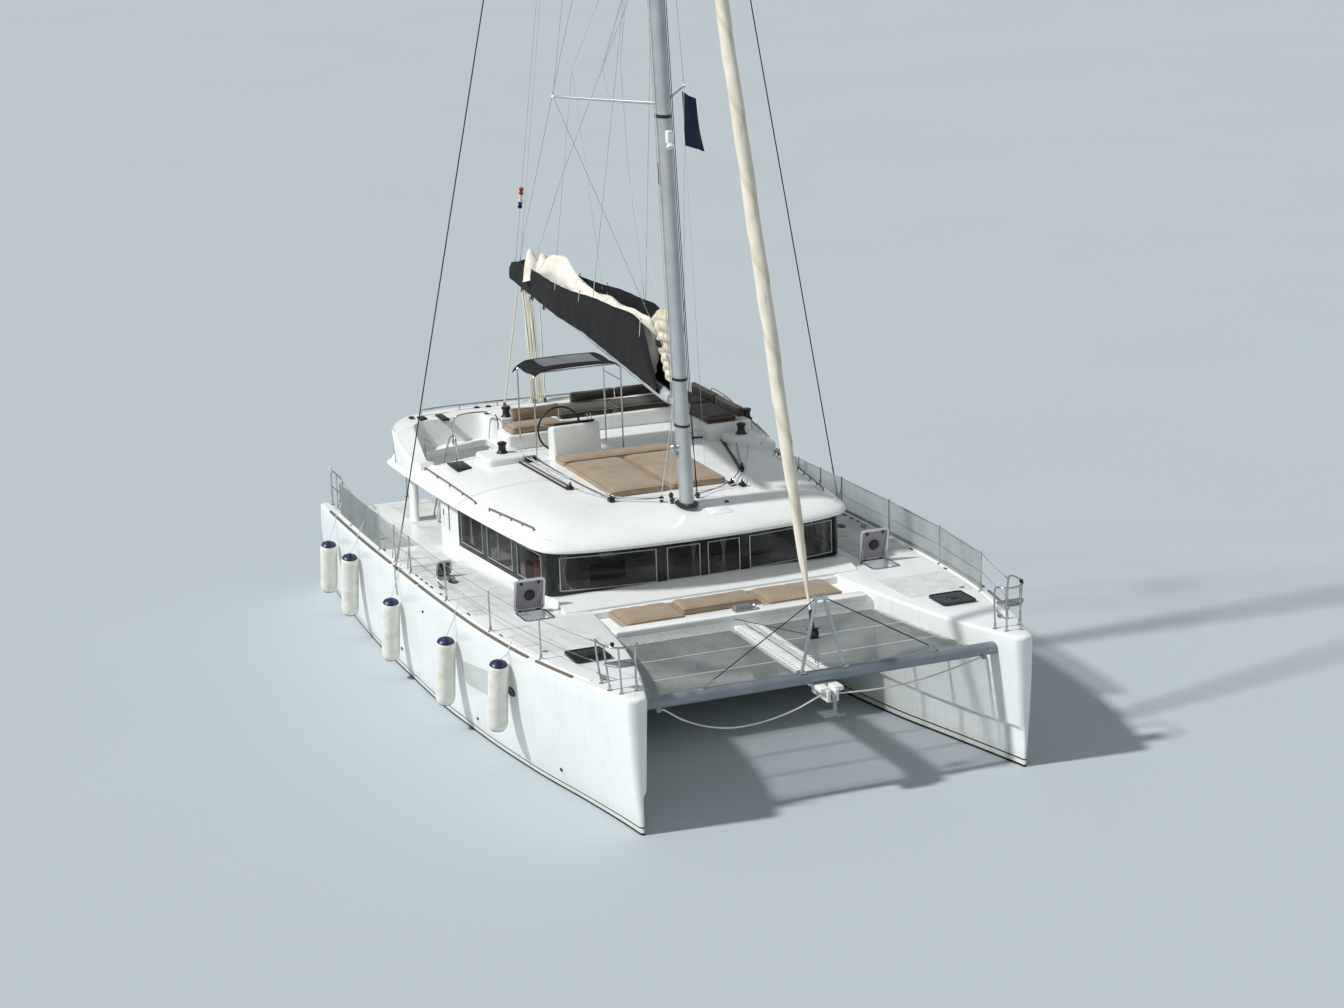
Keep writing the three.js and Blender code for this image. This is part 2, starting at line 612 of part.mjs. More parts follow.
// Hatch lids: each turns about its aft edge, and the deck hatches stand open.
function hatchLid(hatch) {
  const { length, width } = hatch;
  const low = MOVING_GAP - KNUCKLE_RADIUS;
  const panel = block([-10, length], [0, width], [low, low + 34]);
  const knuckle = rod([0, 60, 0], [0, width - 60, 0], KNUCKLE_RADIUS, 12);
  return panel.add(knuckle);
}

for (const [name, hatch] of Object.entries(HATCHES)) {
  for (const [side, present] of [["port", hatch.port], ["starboard", true]]) {
    if (present) {
      const lid = addMesh(`${name}_${side}`, hatchLid(hatch), "glass");
      const y = side === "port" ? hatch.inboard : -hatch.inboard - hatch.width;
      lid.position.set(hatch.hinge, y, rimTop(hatch) + KNUCKLE_RADIUS + GAP);
      lid.rotation.y = -THREE.MathUtils.degToRad(hatch.open);
    }
  }
}

// Rig

const mastX = (z) => MAST_FOOT[0] - Math.tan(MAST_RAKE) * (z - MAST_FOOT[1]);

// Columns: z, chord, width
const MAST_ROWS = [[3000, MAST_CHORD, MAST_WIDTH], [17500, MAST_CHORD, MAST_WIDTH], [MAST_TOP, 230, 140]];
const mastTube = loft(MAST_ROWS.map(([z, chord, width]) => ellipseRing([mastX(z), 0, z], chord / 2, width / 2, 14)));
const [pivotX, , pivotZ] = BOOM_PIVOT;
const gooseneck = join([
  block([pivotX - 25, mastX(pivotZ) - 120], [-25, 25], [pivotZ + 45, pivotZ + 60]),
  block([pivotX - 25, mastX(pivotZ) - 120], [-25, 25], [pivotZ - 60, pivotZ - 45]),
  rod([pivotX, 0, pivotZ - 55], [pivotX, 0, pivotZ + 55], 12, 12),
]);
const masthead = block([mastX(MAST_TOP) - 260, mastX(MAST_TOP) + 200], [-40, 40], [MAST_TOP - 20, MAST_TOP + 60]);
const windVane = rod([mastX(MAST_TOP) + 150, 0, MAST_TOP], [mastX(MAST_TOP) + 150, 0, MAST_TOP + 400], 8, 6);
const mast = join([mastTube, gooseneck, masthead, windVane]).subtract(roofRaised);
addMesh("mast", mast, "aluminium");
const mastShifted = (dx, dy) => mastTube.translate([dx, dy, 0]);

// The port diamond: a swept spreader and the stay over its tip.
function diamondStay() {
  const tip = SPREADER_TIP;
  const root = [mastX(tip[2]) - 60, 30, tip[2]];
  const low = [mastX(DIAMOND_LOW) - 30, 95, DIAMOND_LOW];
  const high = [mastX(18800) - 30, 60, 18800];
  return join([
    rod(root, tip, 38, 8),
    pipe([low, tip, high], 8),
    ball(tip, 50),
  ]).subtract(mastShifted(0, GAP * 2));
}
addPair("diamond_stay", diamondStay(), "steel");

function boomRing(along, halfHeight, halfWidth) {
  const count = 12;
  return Array.from({ length: count }, (_, i) => {
    const turn = (2 * Math.PI * i) / count;
    return [-along, halfWidth * Math.cos(turn), halfHeight * Math.sin(turn)];
  });
}
const EYE_REACH = 150;
const boomTube = loft([boomRing(EYE_REACH, 90, 60), boomRing(400, 115, 75), boomRing(BOOM_LENGTH, 115, 75)]);
const boomTang = block([-200, 0], [-20, 20], [-40, 40]);
const PIN_HOLE = 12.8;
const boomEye = rod([0, 0, -45 + GAP], [0, 0, 45 - GAP], 32, 16).subtract(rod([0, 0, -60], [0, 0, 60], PIN_HOLE, 12));
const boomRise = THREE.MathUtils.radToDeg(BOOM_RISE);
const tangClear = boomTang.subtract(rod([0, 0, -60], [0, 0, 60], 20, 12));
const boomBody = boomTube.rotate([0, boomRise, 0]).add(tangClear).add(boomEye);
const boom = addMesh("boom", boomBody, "aluminium");
boom.position.set(...BOOM_PIVOT);

// The stowed mainsail in its bag. Columns: distance along the boom, height, half width at the top
const BAG_ROWS = [
  [800, 900, 190], [2600, 760, 215], [4000, 660, 205], [4700, 790, 190], [5400, 800, 180], [6300, 600, 170],
  [7300, 260, 110],
];
function bagRing([along, height, half]) {
  const low = 115 + GAP;
  return [
    [-along, 60, low], [-along, half, low + height * 0.7], [-along, half * 0.7, low + height * 0.93],
    [-along, 0, low + height], [-along, -half * 0.7, low + height * 0.93], [-along, -half, low + height * 0.7],
    [-along, -60, low],
  ];
}
const bagBody = loft(BAG_ROWS.map(bagRing)).rotate([0, boomRise, 0]);
const bag = addMesh("mainsail_bag", bagBody, "canvas");
bag.position.set(...BOOM_PIVOT);

// The luff of the mainsail, stacked behind the mast on its cars
const luffOutline = [[0, 0], [-330, 0], [-330, 700], [-220, 1050], [0, 1050]];
const luffPlace = luffOutline.map(([x, z]) => [mastX(5000) - 60 + x - Math.tan(MAST_RAKE) * z, 4950 + z]);
addMesh("luff_stack", sidePlate(luffPlace, -80, 80).subtract(mastShifted(-GAP, 0)), "sailcloth");

// Furled headsail on its stay, with the furling drum. Columns: height, radius
const FURL_ROWS = [
  [2900, 30], [3300, 62], [5000, 92], [7000, 104], [10000, 100], [14000, 74], [20300, 30],
];
const stayX = (z) => FORESTAY_FOOT + ((mastX(HOUNDS) - FORESTAY_FOOT) * (z - CROSSBEAM.z)) / (HOUNDS - CROSSBEAM.z);
const sailRoll = loft(FURL_ROWS.map(([z, radius]) => ellipseRing([stayX(z), 0, z], radius, radius, 10)));
const forestay = rod([stayX(1600), 0, 1600], [stayX(HOUNDS), 0, HOUNDS], 10, 6);
const drum = join([
  rod([stayX(2180), 0, 2180], [stayX(2200), 0, 2200], 90, 14),
  rod([stayX(2190), 0, 2190], [stayX(2320), 0, 2320], 55, 14),
  rod([stayX(2310), 0, 2310], [stayX(2330), 0, 2330], 90, 14),
]);
const genoa = join([sailRoll, forestay, drum])
  .subtract(mastShifted(GAP, 0))
  .subtract(beamBare.translate([-GAP, 0, 0]))
  .subtract(block([6000, 7000], [-200, 200], [1000, 1700 + GAP]));
addMesh("furled_genoa", genoa, "sailcloth");

function shroud() {
  const [x, y] = CHAINPLATE;
  const foot = [x, y, deckHeight(x) + GAP];
  const top = [mastX(HOUNDS), 40, HOUNDS];
  const line = new THREE.Vector3(...top).sub(new THREE.Vector3(...foot)).normalize();
  const screwTop = new THREE.Vector3(...foot).addScaledVector(line, 450).toArray();
  return rod(foot, top, 11, 6).add(rod(foot, screwTop, 20, 8)).subtract(hullsRaised).subtract(mastShifted(0, GAP * 2));
}
addPair("shroud", shroud(), "black");

// Guardrails: stanchions with two wires, a pulpit at the bow and a pushpit at the stern.
const STANCHIONS = [4600, 2900, 1000, -800, -2500, -4300];
const RAIL_HEIGHT = 610;
const RAIL_INSET = 150;
const PULPIT = { aft: 6080, middle: 6400, fore: 6640, outboard: 3130, inboard: 2860 };
const PUSHPIT = { fore: -5150, aft: -5950, inboard: 3300 };

function railPoint(x, height) {
  return [x, deckEdge(x) - RAIL_INSET, deckHeight(x) + height];
}

function guardrail() {
  const low = -30;
  const stanchions = STANCHIONS.map((x) => rod(railPoint(x, low), railPoint(x, RAIL_HEIGHT), 13, 6));
  const ends = [PULPIT.aft, ...STANCHIONS, PUSHPIT.fore];
  const wires = [RAIL_HEIGHT - 15, RAIL_HEIGHT / 2].map((height) => pipe(ends.map((x) => railPoint(x, height)), 6));
  const deck = deckHeight(PULPIT.fore);
  const top = deck + RAIL_HEIGHT + 40;
  const pulpitTop = [
    railPoint(PULPIT.aft, low),
    [PULPIT.aft, railPoint(PULPIT.aft, 0)[1], top],
    [PULPIT.fore, PULPIT.outboard, top],
    [PULPIT.fore, PULPIT.inboard, top],
    [PULPIT.middle, 2800, top],
    [PULPIT.middle, 2800, deck + low],
  ];
  const pulpitPosts = [PULPIT.outboard, PULPIT.inboard].map((y) =>
    rod([PULPIT.fore, y, deck + low], [PULPIT.fore, y, top], 13, 6));
  const stern = deckHeight(PUSHPIT.aft);
  const pushpit = pipe([
    railPoint(PUSHPIT.fore, low),
    railPoint(PUSHPIT.fore, RAIL_HEIGHT),
    [PUSHPIT.aft, deckEdge(PUSHPIT.aft) - RAIL_INSET, stern + RAIL_HEIGHT],
    [PUSHPIT.aft, deckEdge(PUSHPIT.aft) - RAIL_INSET, stern + low],
  ], 13);
  return join([...stanchions, ...wires, pipe(pulpitTop, 13), ...pulpitPosts, pushpit]).subtract(hullsRaised);
}
addPair("guardrail", guardrail(), "steel");

// Fenders on the starboard side, with their feet trailing aft. Columns: x, height of the middle, length, radius
const FENDERS = [
  [-4980, 893, 910, 145],
  [-3490, 973, 1080, 145],
  [-1090, 866, 1050, 145],
  [1693, 985, 1090, 150],
  [3803, 1215, 1100, 150],
];
const FENDER_TILT = 10;
FENDERS.forEach(([x, middle, length, radius], i) => {
  const edge = -deckEdge(x);
  const deck = deckHeight(x);
  const out = edge - radius - 8;
  const half = length / 2;
  const neck = [[0, -half - 40], [30, -half - 40], [38, -half]];
  const profile = [...neck, [radius * 0.8, -half + 45], [radius, -half + 120]];
  const upper = profile.map(([r, z]) => [r, -z]).reverse();
  const turned = new THREE.LatheGeometry([...profile, ...upper].map(([r, z]) => new THREE.Vector2(r, z)), 12);
  turned.rotateX(Math.PI / 2);
  const bodyTube = solid(turned).rotate([0, FENDER_TILT, 0]).translate([x, out, middle]);
  const tilt = THREE.MathUtils.degToRad(FENDER_TILT);
  const fore = x + half * Math.sin(tilt);
  const lanyardRoute = [
    [fore, out, middle + half * Math.cos(tilt)],
    [fore, edge - 9, deck - 60],
    [fore, edge - 6, deck + 6],
    [fore, edge + 12, deck + 6],
  ];
  const fender = bodyTube.add(pipe(lanyardRoute, 6)).subtract(hullStarboard.translate([0, -GAP, GAP]));
  addMesh(`fender_${i + 1}`, fender, "fender");
});

// The slack mooring bridle under the crossbeam: a leg from the roller to the lug at each bow.
const BRIDLE_ROUTES = {
  starboard: [
    [6560, -2520, 1632], [6566, -2430, 1600], [6595, -2210, 1450], [6610, -1940, 1325], [6620, -1670, 1245],
    [6620, -1370, 1205], [6620, -950, 1225], [6630, -510, 1320], [6650, -180, 1452], [6658, -70, 1492],
  ],
  port: [
    [6658, 70, 1482], [6650, 190, 1470], [6625, 670, 1430], [6605, 1250, 1430],
    [6585, 1850, 1500], [6566, 2400, 1605], [6560, 2520, 1632],
  ],
};
const BRIDLE_STEPS = 36;

function bridleLeg(route) {
  const curve = new THREE.CatmullRomCurve3(route.map((point) => new THREE.Vector3(...point)));
  const outline = Array.from({ length: 8 }, (_, i) => {
    const turn = (2 * Math.PI * i) / 8;
    return [BRIDLE_RADIUS * Math.cos(turn), BRIDLE_RADIUS * Math.sin(turn)];
  });
  const options = { steps: BRIDLE_STEPS, extrudePath: curve, bevelEnabled: false };
  const leg = solid(new THREE.ExtrudeGeometry(shapeOf(outline), options));
  const [near, far] = [ROLLER_HALF + GAP, BRIDLE_LUG[1] - GAP];
  const span = block([6400, 6800], [near, far], [1100, 1800]);
  return leg.intersect(span.add(mirrored(span)));
}
for (const [side, route] of Object.entries(BRIDLE_ROUTES)) {
  addMesh(`mooring_bridle_${side}`, bridleLeg(route), "rope");
}

export default boat;
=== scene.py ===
"""The looks of a 14 m cruising sailing catamaran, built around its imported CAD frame.

Metres, +X to the bows, +Y to port, +Z up, with the origin at the waterline.
"""

import logging
import math
from dataclasses import dataclass
from enum import Enum
from typing import Callable, Iterable, Sequence

import bmesh
import bpy
from mathutils import Matrix, Vector
from mathutils.kdtree import KDTree


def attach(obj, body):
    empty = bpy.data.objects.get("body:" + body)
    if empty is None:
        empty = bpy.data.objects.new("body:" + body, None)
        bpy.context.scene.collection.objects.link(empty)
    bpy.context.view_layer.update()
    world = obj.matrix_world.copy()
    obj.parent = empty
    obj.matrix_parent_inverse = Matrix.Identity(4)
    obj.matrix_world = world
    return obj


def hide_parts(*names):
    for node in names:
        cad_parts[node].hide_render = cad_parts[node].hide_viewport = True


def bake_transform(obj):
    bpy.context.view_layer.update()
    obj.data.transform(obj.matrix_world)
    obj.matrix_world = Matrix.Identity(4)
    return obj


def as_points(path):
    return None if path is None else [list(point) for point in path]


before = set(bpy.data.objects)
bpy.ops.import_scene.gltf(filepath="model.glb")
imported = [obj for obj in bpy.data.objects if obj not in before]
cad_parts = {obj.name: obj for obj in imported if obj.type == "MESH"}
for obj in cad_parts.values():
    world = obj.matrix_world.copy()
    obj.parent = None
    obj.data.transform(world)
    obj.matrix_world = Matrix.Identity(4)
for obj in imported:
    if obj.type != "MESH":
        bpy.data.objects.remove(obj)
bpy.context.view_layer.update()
LOG = logging.getLogger("catamaran")

Point = tuple[float, float, float]
Row = Sequence[float]
SIDES = (("port", 1), ("starboard", -1))
PHOTO_WIDTH = 1344
SENSOR_WIDTH = 36.0

# Hull form, from the transom to the stem, as in the CAD.
# Columns: x, deck outboard, deck inboard, waterline outboard, waterline inboard, depth, deck height
HULL_TABLE = (
    (-6.98, 3.700, 2.200, 3.450, 2.350, 0.220, 1.700),
    (-6.20, 3.770, 2.100, 3.530, 2.230, 0.300, 1.715),
    (-5.20, 3.840, 2.000, 3.620, 2.100, 0.420, 1.740),
    (-2.50, 3.920, 2.000, 3.750, 2.000, 0.620, 1.800),
    (0.00, 3.930, 2.000, 3.760, 2.000, 0.680, 1.850),
    (2.20, 3.890, 2.000, 3.640, 2.040, 0.660, 1.890),
    (4.00, 3.760, 2.160, 3.440, 2.280, 0.600, 1.925),
    (5.50, 3.500, 2.420, 3.190, 2.620, 0.500, 1.955),
    (6.50, 3.240, 2.700, 3.050, 2.850, 0.330, 1.968),
    (6.88, 3.130, 2.820, 3.010, 2.935, 0.160, 1.970),
)
DECK_OUT, DECK_IN, WATER_OUT, WATER_IN, DEPTH, DECK_TOP = range(1, 7)


def eased(rows: Sequence[Row], x: float, column: int) -> float:
    """Reads one column of a table at x, along a smooth curve that never overshoots its rows.

    Args:
        rows: the table, with its first column rising.
        x: the place to read, held between the first and last rows.
        column: the column to read.

    Returns:
        The column's value at x.
    """
    places = [row[0] for row in rows]
    x = min(max(x, places[0]), places[-1])
    i = max(j for j in range(len(rows) - 1) if places[j] <= x)

    def rise(j: int) -> float:
        """The mean slope from row j to the next."""
        return (rows[j + 1][column] - rows[j][column]) / (places[j + 1] - places[j])

    def slope(j: int) -> float:
        """The curve's slope at row j."""
        if j in (0, len(rows) - 1):
            return rise(min(j, len(rows) - 2))
        before, after = rise(j - 1), rise(j)
        return 0.0 if before * after <= 0 else 2 * before * after / (before + after)

    gap = places[i + 1] - places[i]
    t = (x - places[i]) / gap
    low, high = rows[i][column], rows[i + 1][column]
    rest = low * (1 + 2 * t) * (1 - t) ** 2 + high * t * t * (3 - 2 * t)
    return rest + gap * (slope(i) * t * (1 - t) ** 2 - slope(i + 1) * t * t * (1 - t))


def deck_height(x: float) -> float:
    """The deck's height above the water at x."""
    return eased(HULL_TABLE, x, DECK_TOP)


def deck_edge(x: float) -> float:
    """How far the deck's outboard edge is from the centreline at x."""
    return eased(HULL_TABLE, x, DECK_OUT)


def spread(low: float, high: float, count: int) -> list[float]:
    """Evenly spaced numbers, with both ends."""
    return [low + (high - low) * i / (count - 1) for i in range(count)]


def smooth_path(points: Sequence[Point], steps: int = 8, closed: bool = False) -> list[Vector]:
    """A smooth line through points (Catmull-Rom).

    Args:
        points: the points to pass.
        steps: how many lengths each gap is cut into.
        closed: whether the line comes back to its start.

    Returns:
        The line's points, without the start again when it is closed.
    """
    knots = [Vector(p) for p in points]
    count = len(knots)
    line: list[Vector] = []
    for i in range(count if closed else count - 1):
        ends = [
            knots[(i + k) % count] if closed else knots[min(max(i + k, 0), count - 1)] for k in (-1, 0, 1, 2)
        ]
        before, start, end, after = ends
        for step in range(steps):
            t = step / steps
            line.append(
                0.5 * (2 * start + (end - before) * t + (2 * before - 5 * start + 4 * end - after) * t * t
                       + (3 * start - before - 3 * end + after) * t ** 3)
            )
    return line if closed else [*line, knots[-1]]


def frames_along(path: Sequence[Vector], closed: bool = False, up: Vector | None = None) -> list[Matrix]:
    """A frame at each point of a path, whose Z follows the path.

    Args:
        path: the points.
        closed: whether the path joins its own start.
        up: what the frames' Y leans to; without it the frames turn as little as they can.

    Returns:
        One matrix a point.
    """
    count = len(path)
    frames: list[Matrix] = []
    side: Vector | None = None
    for i, point in enumerate(path):
        before = path[i - 1] if i or closed else point
        after = path[(i + 1) % count] if i < count - 1 or closed else point
        tangent = (after - before).normalized()
        if up is not None:
            side = tangent.cross(up).normalized()
        elif side is None:
            side = tangent.orthogonal().normalized()
        else:
            side = (side - tangent * side.dot(tangent)).normalized()
        rise = side.cross(tangent)
        frame_here = Matrix((side, rise, tangent)).transposed().to_4x4()
        frame_here.translation = point
        frames.append(frame_here)
    return frames


# Materials


def linear(code: str) -> tuple[float, float, float, float]:
    """Turns an sRGB hex colour into linear red, green, blue and alpha."""
    values = [int(code[i:i + 2], 16) / 255 for i in (1, 3, 5)]
    parts = [v / 12.92 if v <= 0.04045 else ((v + 0.055) / 1.055) ** 2.4 for v in values]
    return parts[0], parts[1], parts[2], 1.0


def add_node(
    tree: bpy.types.NodeTree,
    kind: str,
    values: dict | None = None,
    links: dict | None = None,
    stops: Sequence[tuple[float, str]] = (),
    **settings: object,
) -> bpy.types.Node:
    """Adds a node with its settings and links.

    Args:
        tree: the material's tree.
        kind: the node's type.
        values: constant inputs, by socket name or number.
        links: what feeds an input, by socket name or number.
        stops: a colour ramp's stops, each a place and an sRGB hex colour.
        settings: the node's own properties.

    Returns:
        The new node.
    """
    node = tree.nodes.new(kind)
    for name, setting in settings.items():
        setattr(node, name, setting)
    for place, (at, colour) in enumerate(stops):
        elements = node.color_ramp.elements
        element = elements[place] if place < len(elements) else elements.new(at)
        element.position, element.color = at, linear(colour)
    for socket, value in (values or {}).items():
        node.inputs[socket].default_value = value
    for socket, source in (links or {}).items():
        tree.links.new(source, node.inputs[socket])
    return node


@dataclass(frozen=True)
class Finish:
    """A real material. This plain kind is moulded or cast: an uneven tone over a fine grain.

    Attributes:
        name: the material's common name.
        colour: its main colour.
        shade: the colour it drifts towards where it is worn or dirty.
        roughness: the roughness of the clean surface.
        metallic: 1 for a bare metal.
        tone_size: the size of the patches of tone, in metres.
        grain_size: the spacing of the grain, in metres, drawn coarse enough to show.
        grain_depth: the grain's height, in metres.
        sheen: the weight of a cloth's dusty sheen.
        alpha: the share of the light that it stops.
        coat: the weight of a clear coat over it.
    """

    name: str
    colour: str
    shade: str
    roughness: float
    metallic: float = 0.0
    tone_size: float = 0.4
    grain_size: float = 0.006
    grain_depth: float = 0.0002
    sheen: float = 0.0
    alpha: float = 1.0
    coat: float = 0.0

    def material(self) -> bpy.types.Material:
        """The Blender material, made at its first use."""
        found = bpy.data.materials.get(self.name)
        if found:
            return found
        made = bpy.data.materials.new(self.name)
        made.use_nodes = True
        shader = made.node_tree.nodes["Principled BSDF"]
        constants = {
            "Base Color": linear(self.colour),
            "Roughness": self.roughness,
            "Metallic": self.metallic,
            "Sheen Weight": self.sheen,
            "Coat Weight": self.coat,
            "Alpha": self.alpha,
        }
        for socket, value in constants.items():
            shader.inputs[socket].default_value = value
        self.dress(made.node_tree, shader)
        return made

    def dress(self, tree: bpy.types.NodeTree, shader: bpy.types.Node) -> None:
        """Adds the pattern to the material's tree."""
        place = add_node(tree, "ShaderNodeTexCoord").outputs["Object"]
        tone = self.patches(tree, place)
        self.tint(tree, shader, tone)
        grain = add_node(
            tree, "ShaderNodeTexNoise", {"Scale": 1 / self.grain_size, "Detail": 2.0}, {"Vector": place}
        )
        self.raise_bump(tree, shader, grain.outputs["Fac"])

    def patches(self, tree: bpy.types.NodeTree, place: bpy.types.NodeSocket) -> bpy.types.NodeSocket:
        """Broad patches, from 0 to 1."""
        noise = add_node(
            tree, "ShaderNodeTexNoise", {"Scale": 1 / self.tone_size, "Detail": 4.0, "Roughness": 0.6},
            {"Vector": place},
        )
        spread_out = add_node(
            tree, "ShaderNodeMapRange", {"From Min": 0.42, "From Max": 0.72}, {"Value": noise.outputs["Fac"]}
        )
        return spread_out.outputs["Result"]

    def tint(
        self,
        tree: bpy.types.NodeTree,
        shader: bpy.types.Node,
        tone: bpy.types.NodeSocket,
    ) -> bpy.types.NodeSocket:
        """Mixes the two colours by tone, and lets the roughness follow it."""
        mixed = add_node(
            tree, "ShaderNodeMix", {6: linear(self.colour), 7: linear(self.shade)}, {0: tone},
            data_type="RGBA"
        ).outputs[2]
        tree.links.new(mixed, shader.inputs["Base Color"])
        low, high = max(self.roughness - 0.05, 0.03), min(self.roughness + 0.1, 1.0)
        rough = add_node(tree, "ShaderNodeMapRange", {"To Min": low, "To Max": high}, {"Value": tone})
        tree.links.new(rough.outputs["Result"], shader.inputs["Roughness"])
        return mixed

    def raise_bump(
        self, tree: bpy.types.NodeTree, shader: bpy.types.Node, height: bpy.types.NodeSocket
    ) -> None:
        """Turns a height from 0 to 1 into the surface's grain."""
        bump = add_node(
            tree, "ShaderNodeBump", {"Strength": 0.6, "Distance": self.grain_depth}, {"Height": height}
        )
        tree.links.new(bump.outputs["Normal"], shader.inputs["Normal"])


@dataclass(frozen=True)
class Gelcoat(Finish):
    """Polished gelcoat: a wet gloss over white, with faint rain streaks running down it.

    Attributes:
        streak: the streaks' colour.
        painted_below: the height under which the surface is antifouling, or None.
        stripe: the height of the thin painted stripe above the water.
        stripe_half: half the stripe's width.
        paint: the colour of the stripe and of the antifouling.
    """

    streak: str = "#d9d5c6"
    painted_below: float | None = None
    stripe: float = 0.112
    stripe_half: float = 0.011
    paint: str = "#1d2126"

    def dress(self, tree: bpy.types.NodeTree, shader: bpy.types.Node) -> None:
        """Adds patches, streaks and, on a hull, the paint at the waterline."""
        place = add_node(tree, "ShaderNodeTexCoord").outputs["Object"]
        tone = self.patches(tree, place)
        colour = self.tint(tree, shader, tone)
        stretched = add_node(
            tree, "ShaderNodeMapping", {"Scale": (5.0, 5.0, 0.35)}, {"Vector": place}
        ).outputs["Vector"]
        runs = add_node(tree, "ShaderNodeTexNoise", {"Scale": 2.0, "Detail": 5.0}, {"Vector": stretched})
        share = add_node(
            tree, "ShaderNodeMapRange", {"From Min": 0.55, "From Max": 0.85, "To Max": 0.45},
            {"Value": runs.outputs["Fac"]},
        ).outputs["Result"]
        colour = add_node(
            tree, "ShaderNodeMix", {7: linear(self.streak)}, {0: share, 6: colour}, data_type="RGBA"
        ).outputs[2]
        if self.painted_below is not None:
            colour = self.waterline(tree, shader, place, colour)
        tree.links.new(colour, shader.inputs["Base Color"])
        waves = add_node(tree, "ShaderNodeTexNoise", {"Scale": 1 / self.grain_size}, {"Vector": place})
        self.raise_bump(tree, shader, waves.outputs["Fac"])

    def waterline(
        self,
        tree: bpy.types.NodeTree,
        shader: bpy.types.Node,
        place: bpy.types.NodeSocket,
        colour: bpy.types.NodeSocket,
    ) -> bpy.types.NodeSocket:
        """Paints what is under the water, the scum just above it and the stripe."""
        height = add_node(tree, "ShaderNodeSeparateXYZ", links={0: place}).outputs["Z"]
        scum = add_node(
            tree, "ShaderNodeMapRange", {"From Min": 0.02, "From Max": 0.3, "To Min": 0.35, "To Max": 0.0},
            {"Value": height},
        ).outputs["Result"]
        colour = add_node(
            tree, "ShaderNodeMix", {7: linear("#b7b08f")}, {0: scum, 6: colour}, data_type="RGBA"
        ).outputs[2]
        below = add_node(
            tree, "ShaderNodeMath", {1: self.painted_below}, {0: height}, operation="LESS_THAN"
        ).outputs[0]
        on_stripe = add_node(
            tree, "ShaderNodeMath", {1: self.stripe, 2: self.stripe_half}, {0: height}, operation="COMPARE"
        ).outputs[0]
        painted = add_node(
            tree, "ShaderNodeMath", links={0: below, 1: on_stripe}, operation="MAXIMUM"
        ).outputs[0]
        rough = add_node(
            tree, "ShaderNodeMapRange", {"To Min": self.roughness, "To Max": 0.75}, {"Value": below}
        ).outputs["Result"]
        tree.links.new(rough, shader.inputs["Roughness"])
        return add_node(
            tree, "ShaderNodeMix", {7: linear(self.paint)}, {0: painted, 6: colour}, data_type="RGBA"
        ).outputs[2]


@dataclass(frozen=True)
class NonSkid(Finish):
    """Moulded non-skid deck: a matt diamond pattern with patches of grey dirt."""

    def dress(self, tree: bpy.types.NodeTree, shader: bpy.types.Node) -> None:
        """Adds the diamonds and the dirt."""
        place = add_node(tree, "ShaderNodeTexCoord").outputs["Object"]
        tone = self.patches(tree, place)
        self.tint(tree, shader, tone)
        turned = add_node(
            tree, "ShaderNodeMapping", {"Rotation": (0.0, 0.0, math.radians(45))}, {"Vector": place}
        ).outputs["Vector"]
        points = add_node(
            tree, "ShaderNodeTexVoronoi", {"Scale": 1 / self.grain_size, "Randomness": 0.0},
            {"Vector": turned}
        )
        self.raise_bump(tree, shader, points.outputs["Distance"])


@dataclass(frozen=True)
class Woven(Finish):
    """Woven cloth: crossing threads, soft sheen and a tone that fades in the sun."""

    def dress(self, tree: bpy.types.NodeTree, shader: bpy.types.Node) -> None:
        """Adds the weave."""
        place = add_node(tree, "ShaderNodeTexCoord").outputs["Object"]
        tone = self.patches(tree, place)
        self.tint(tree, shader, tone)
        turns = 2 * math.pi / self.grain_size
        scaled = add_node(
            tree, "ShaderNodeVectorMath", {1: (turns, turns, turns)}, {0: place}, operation="MULTIPLY"
        ).outputs[0]
        waves = add_node(tree, "ShaderNodeVectorMath", links={0: scaled}, operation="SINE").outputs[0]
        threads = add_node(
            tree, "ShaderNodeVectorMath", {1: (0.34, 0.34, 0.34)}, {0: waves}, operation="DOT_PRODUCT"
        ).outputs["Value"]
        self.raise_bump(tree, shader, threads)


@dataclass(frozen=True)
class Drawn(Finish):
    """Drawn or extruded metal: fine lines that run one way and blur its reflections.

    Attributes:
        stretch: how coarse the lines are along X, Y and Z, in lines a metre.
    """

    stretch: Point = (90.0, 90.0, 2.0)

    def dress(self, tree: bpy.types.NodeTree, shader: bpy.types.Node) -> None:
        """Adds the lines."""
        place = add_node(tree, "ShaderNodeTexCoord").outputs["Object"]
        tone = self.patches(tree, place)
        self.tint(tree, shader, tone)
        drawn = add_node(
            tree, "ShaderNodeMapping", {"Scale": self.stretch}, {"Vector": place}
        ).outputs["Vector"]
        lines = add_node(tree, "ShaderNodeTexNoise", {"Scale": 1.0, "Detail": 3.0}, {"Vector": drawn})
        self.raise_bump(tree, shader, lines.outputs["Fac"])


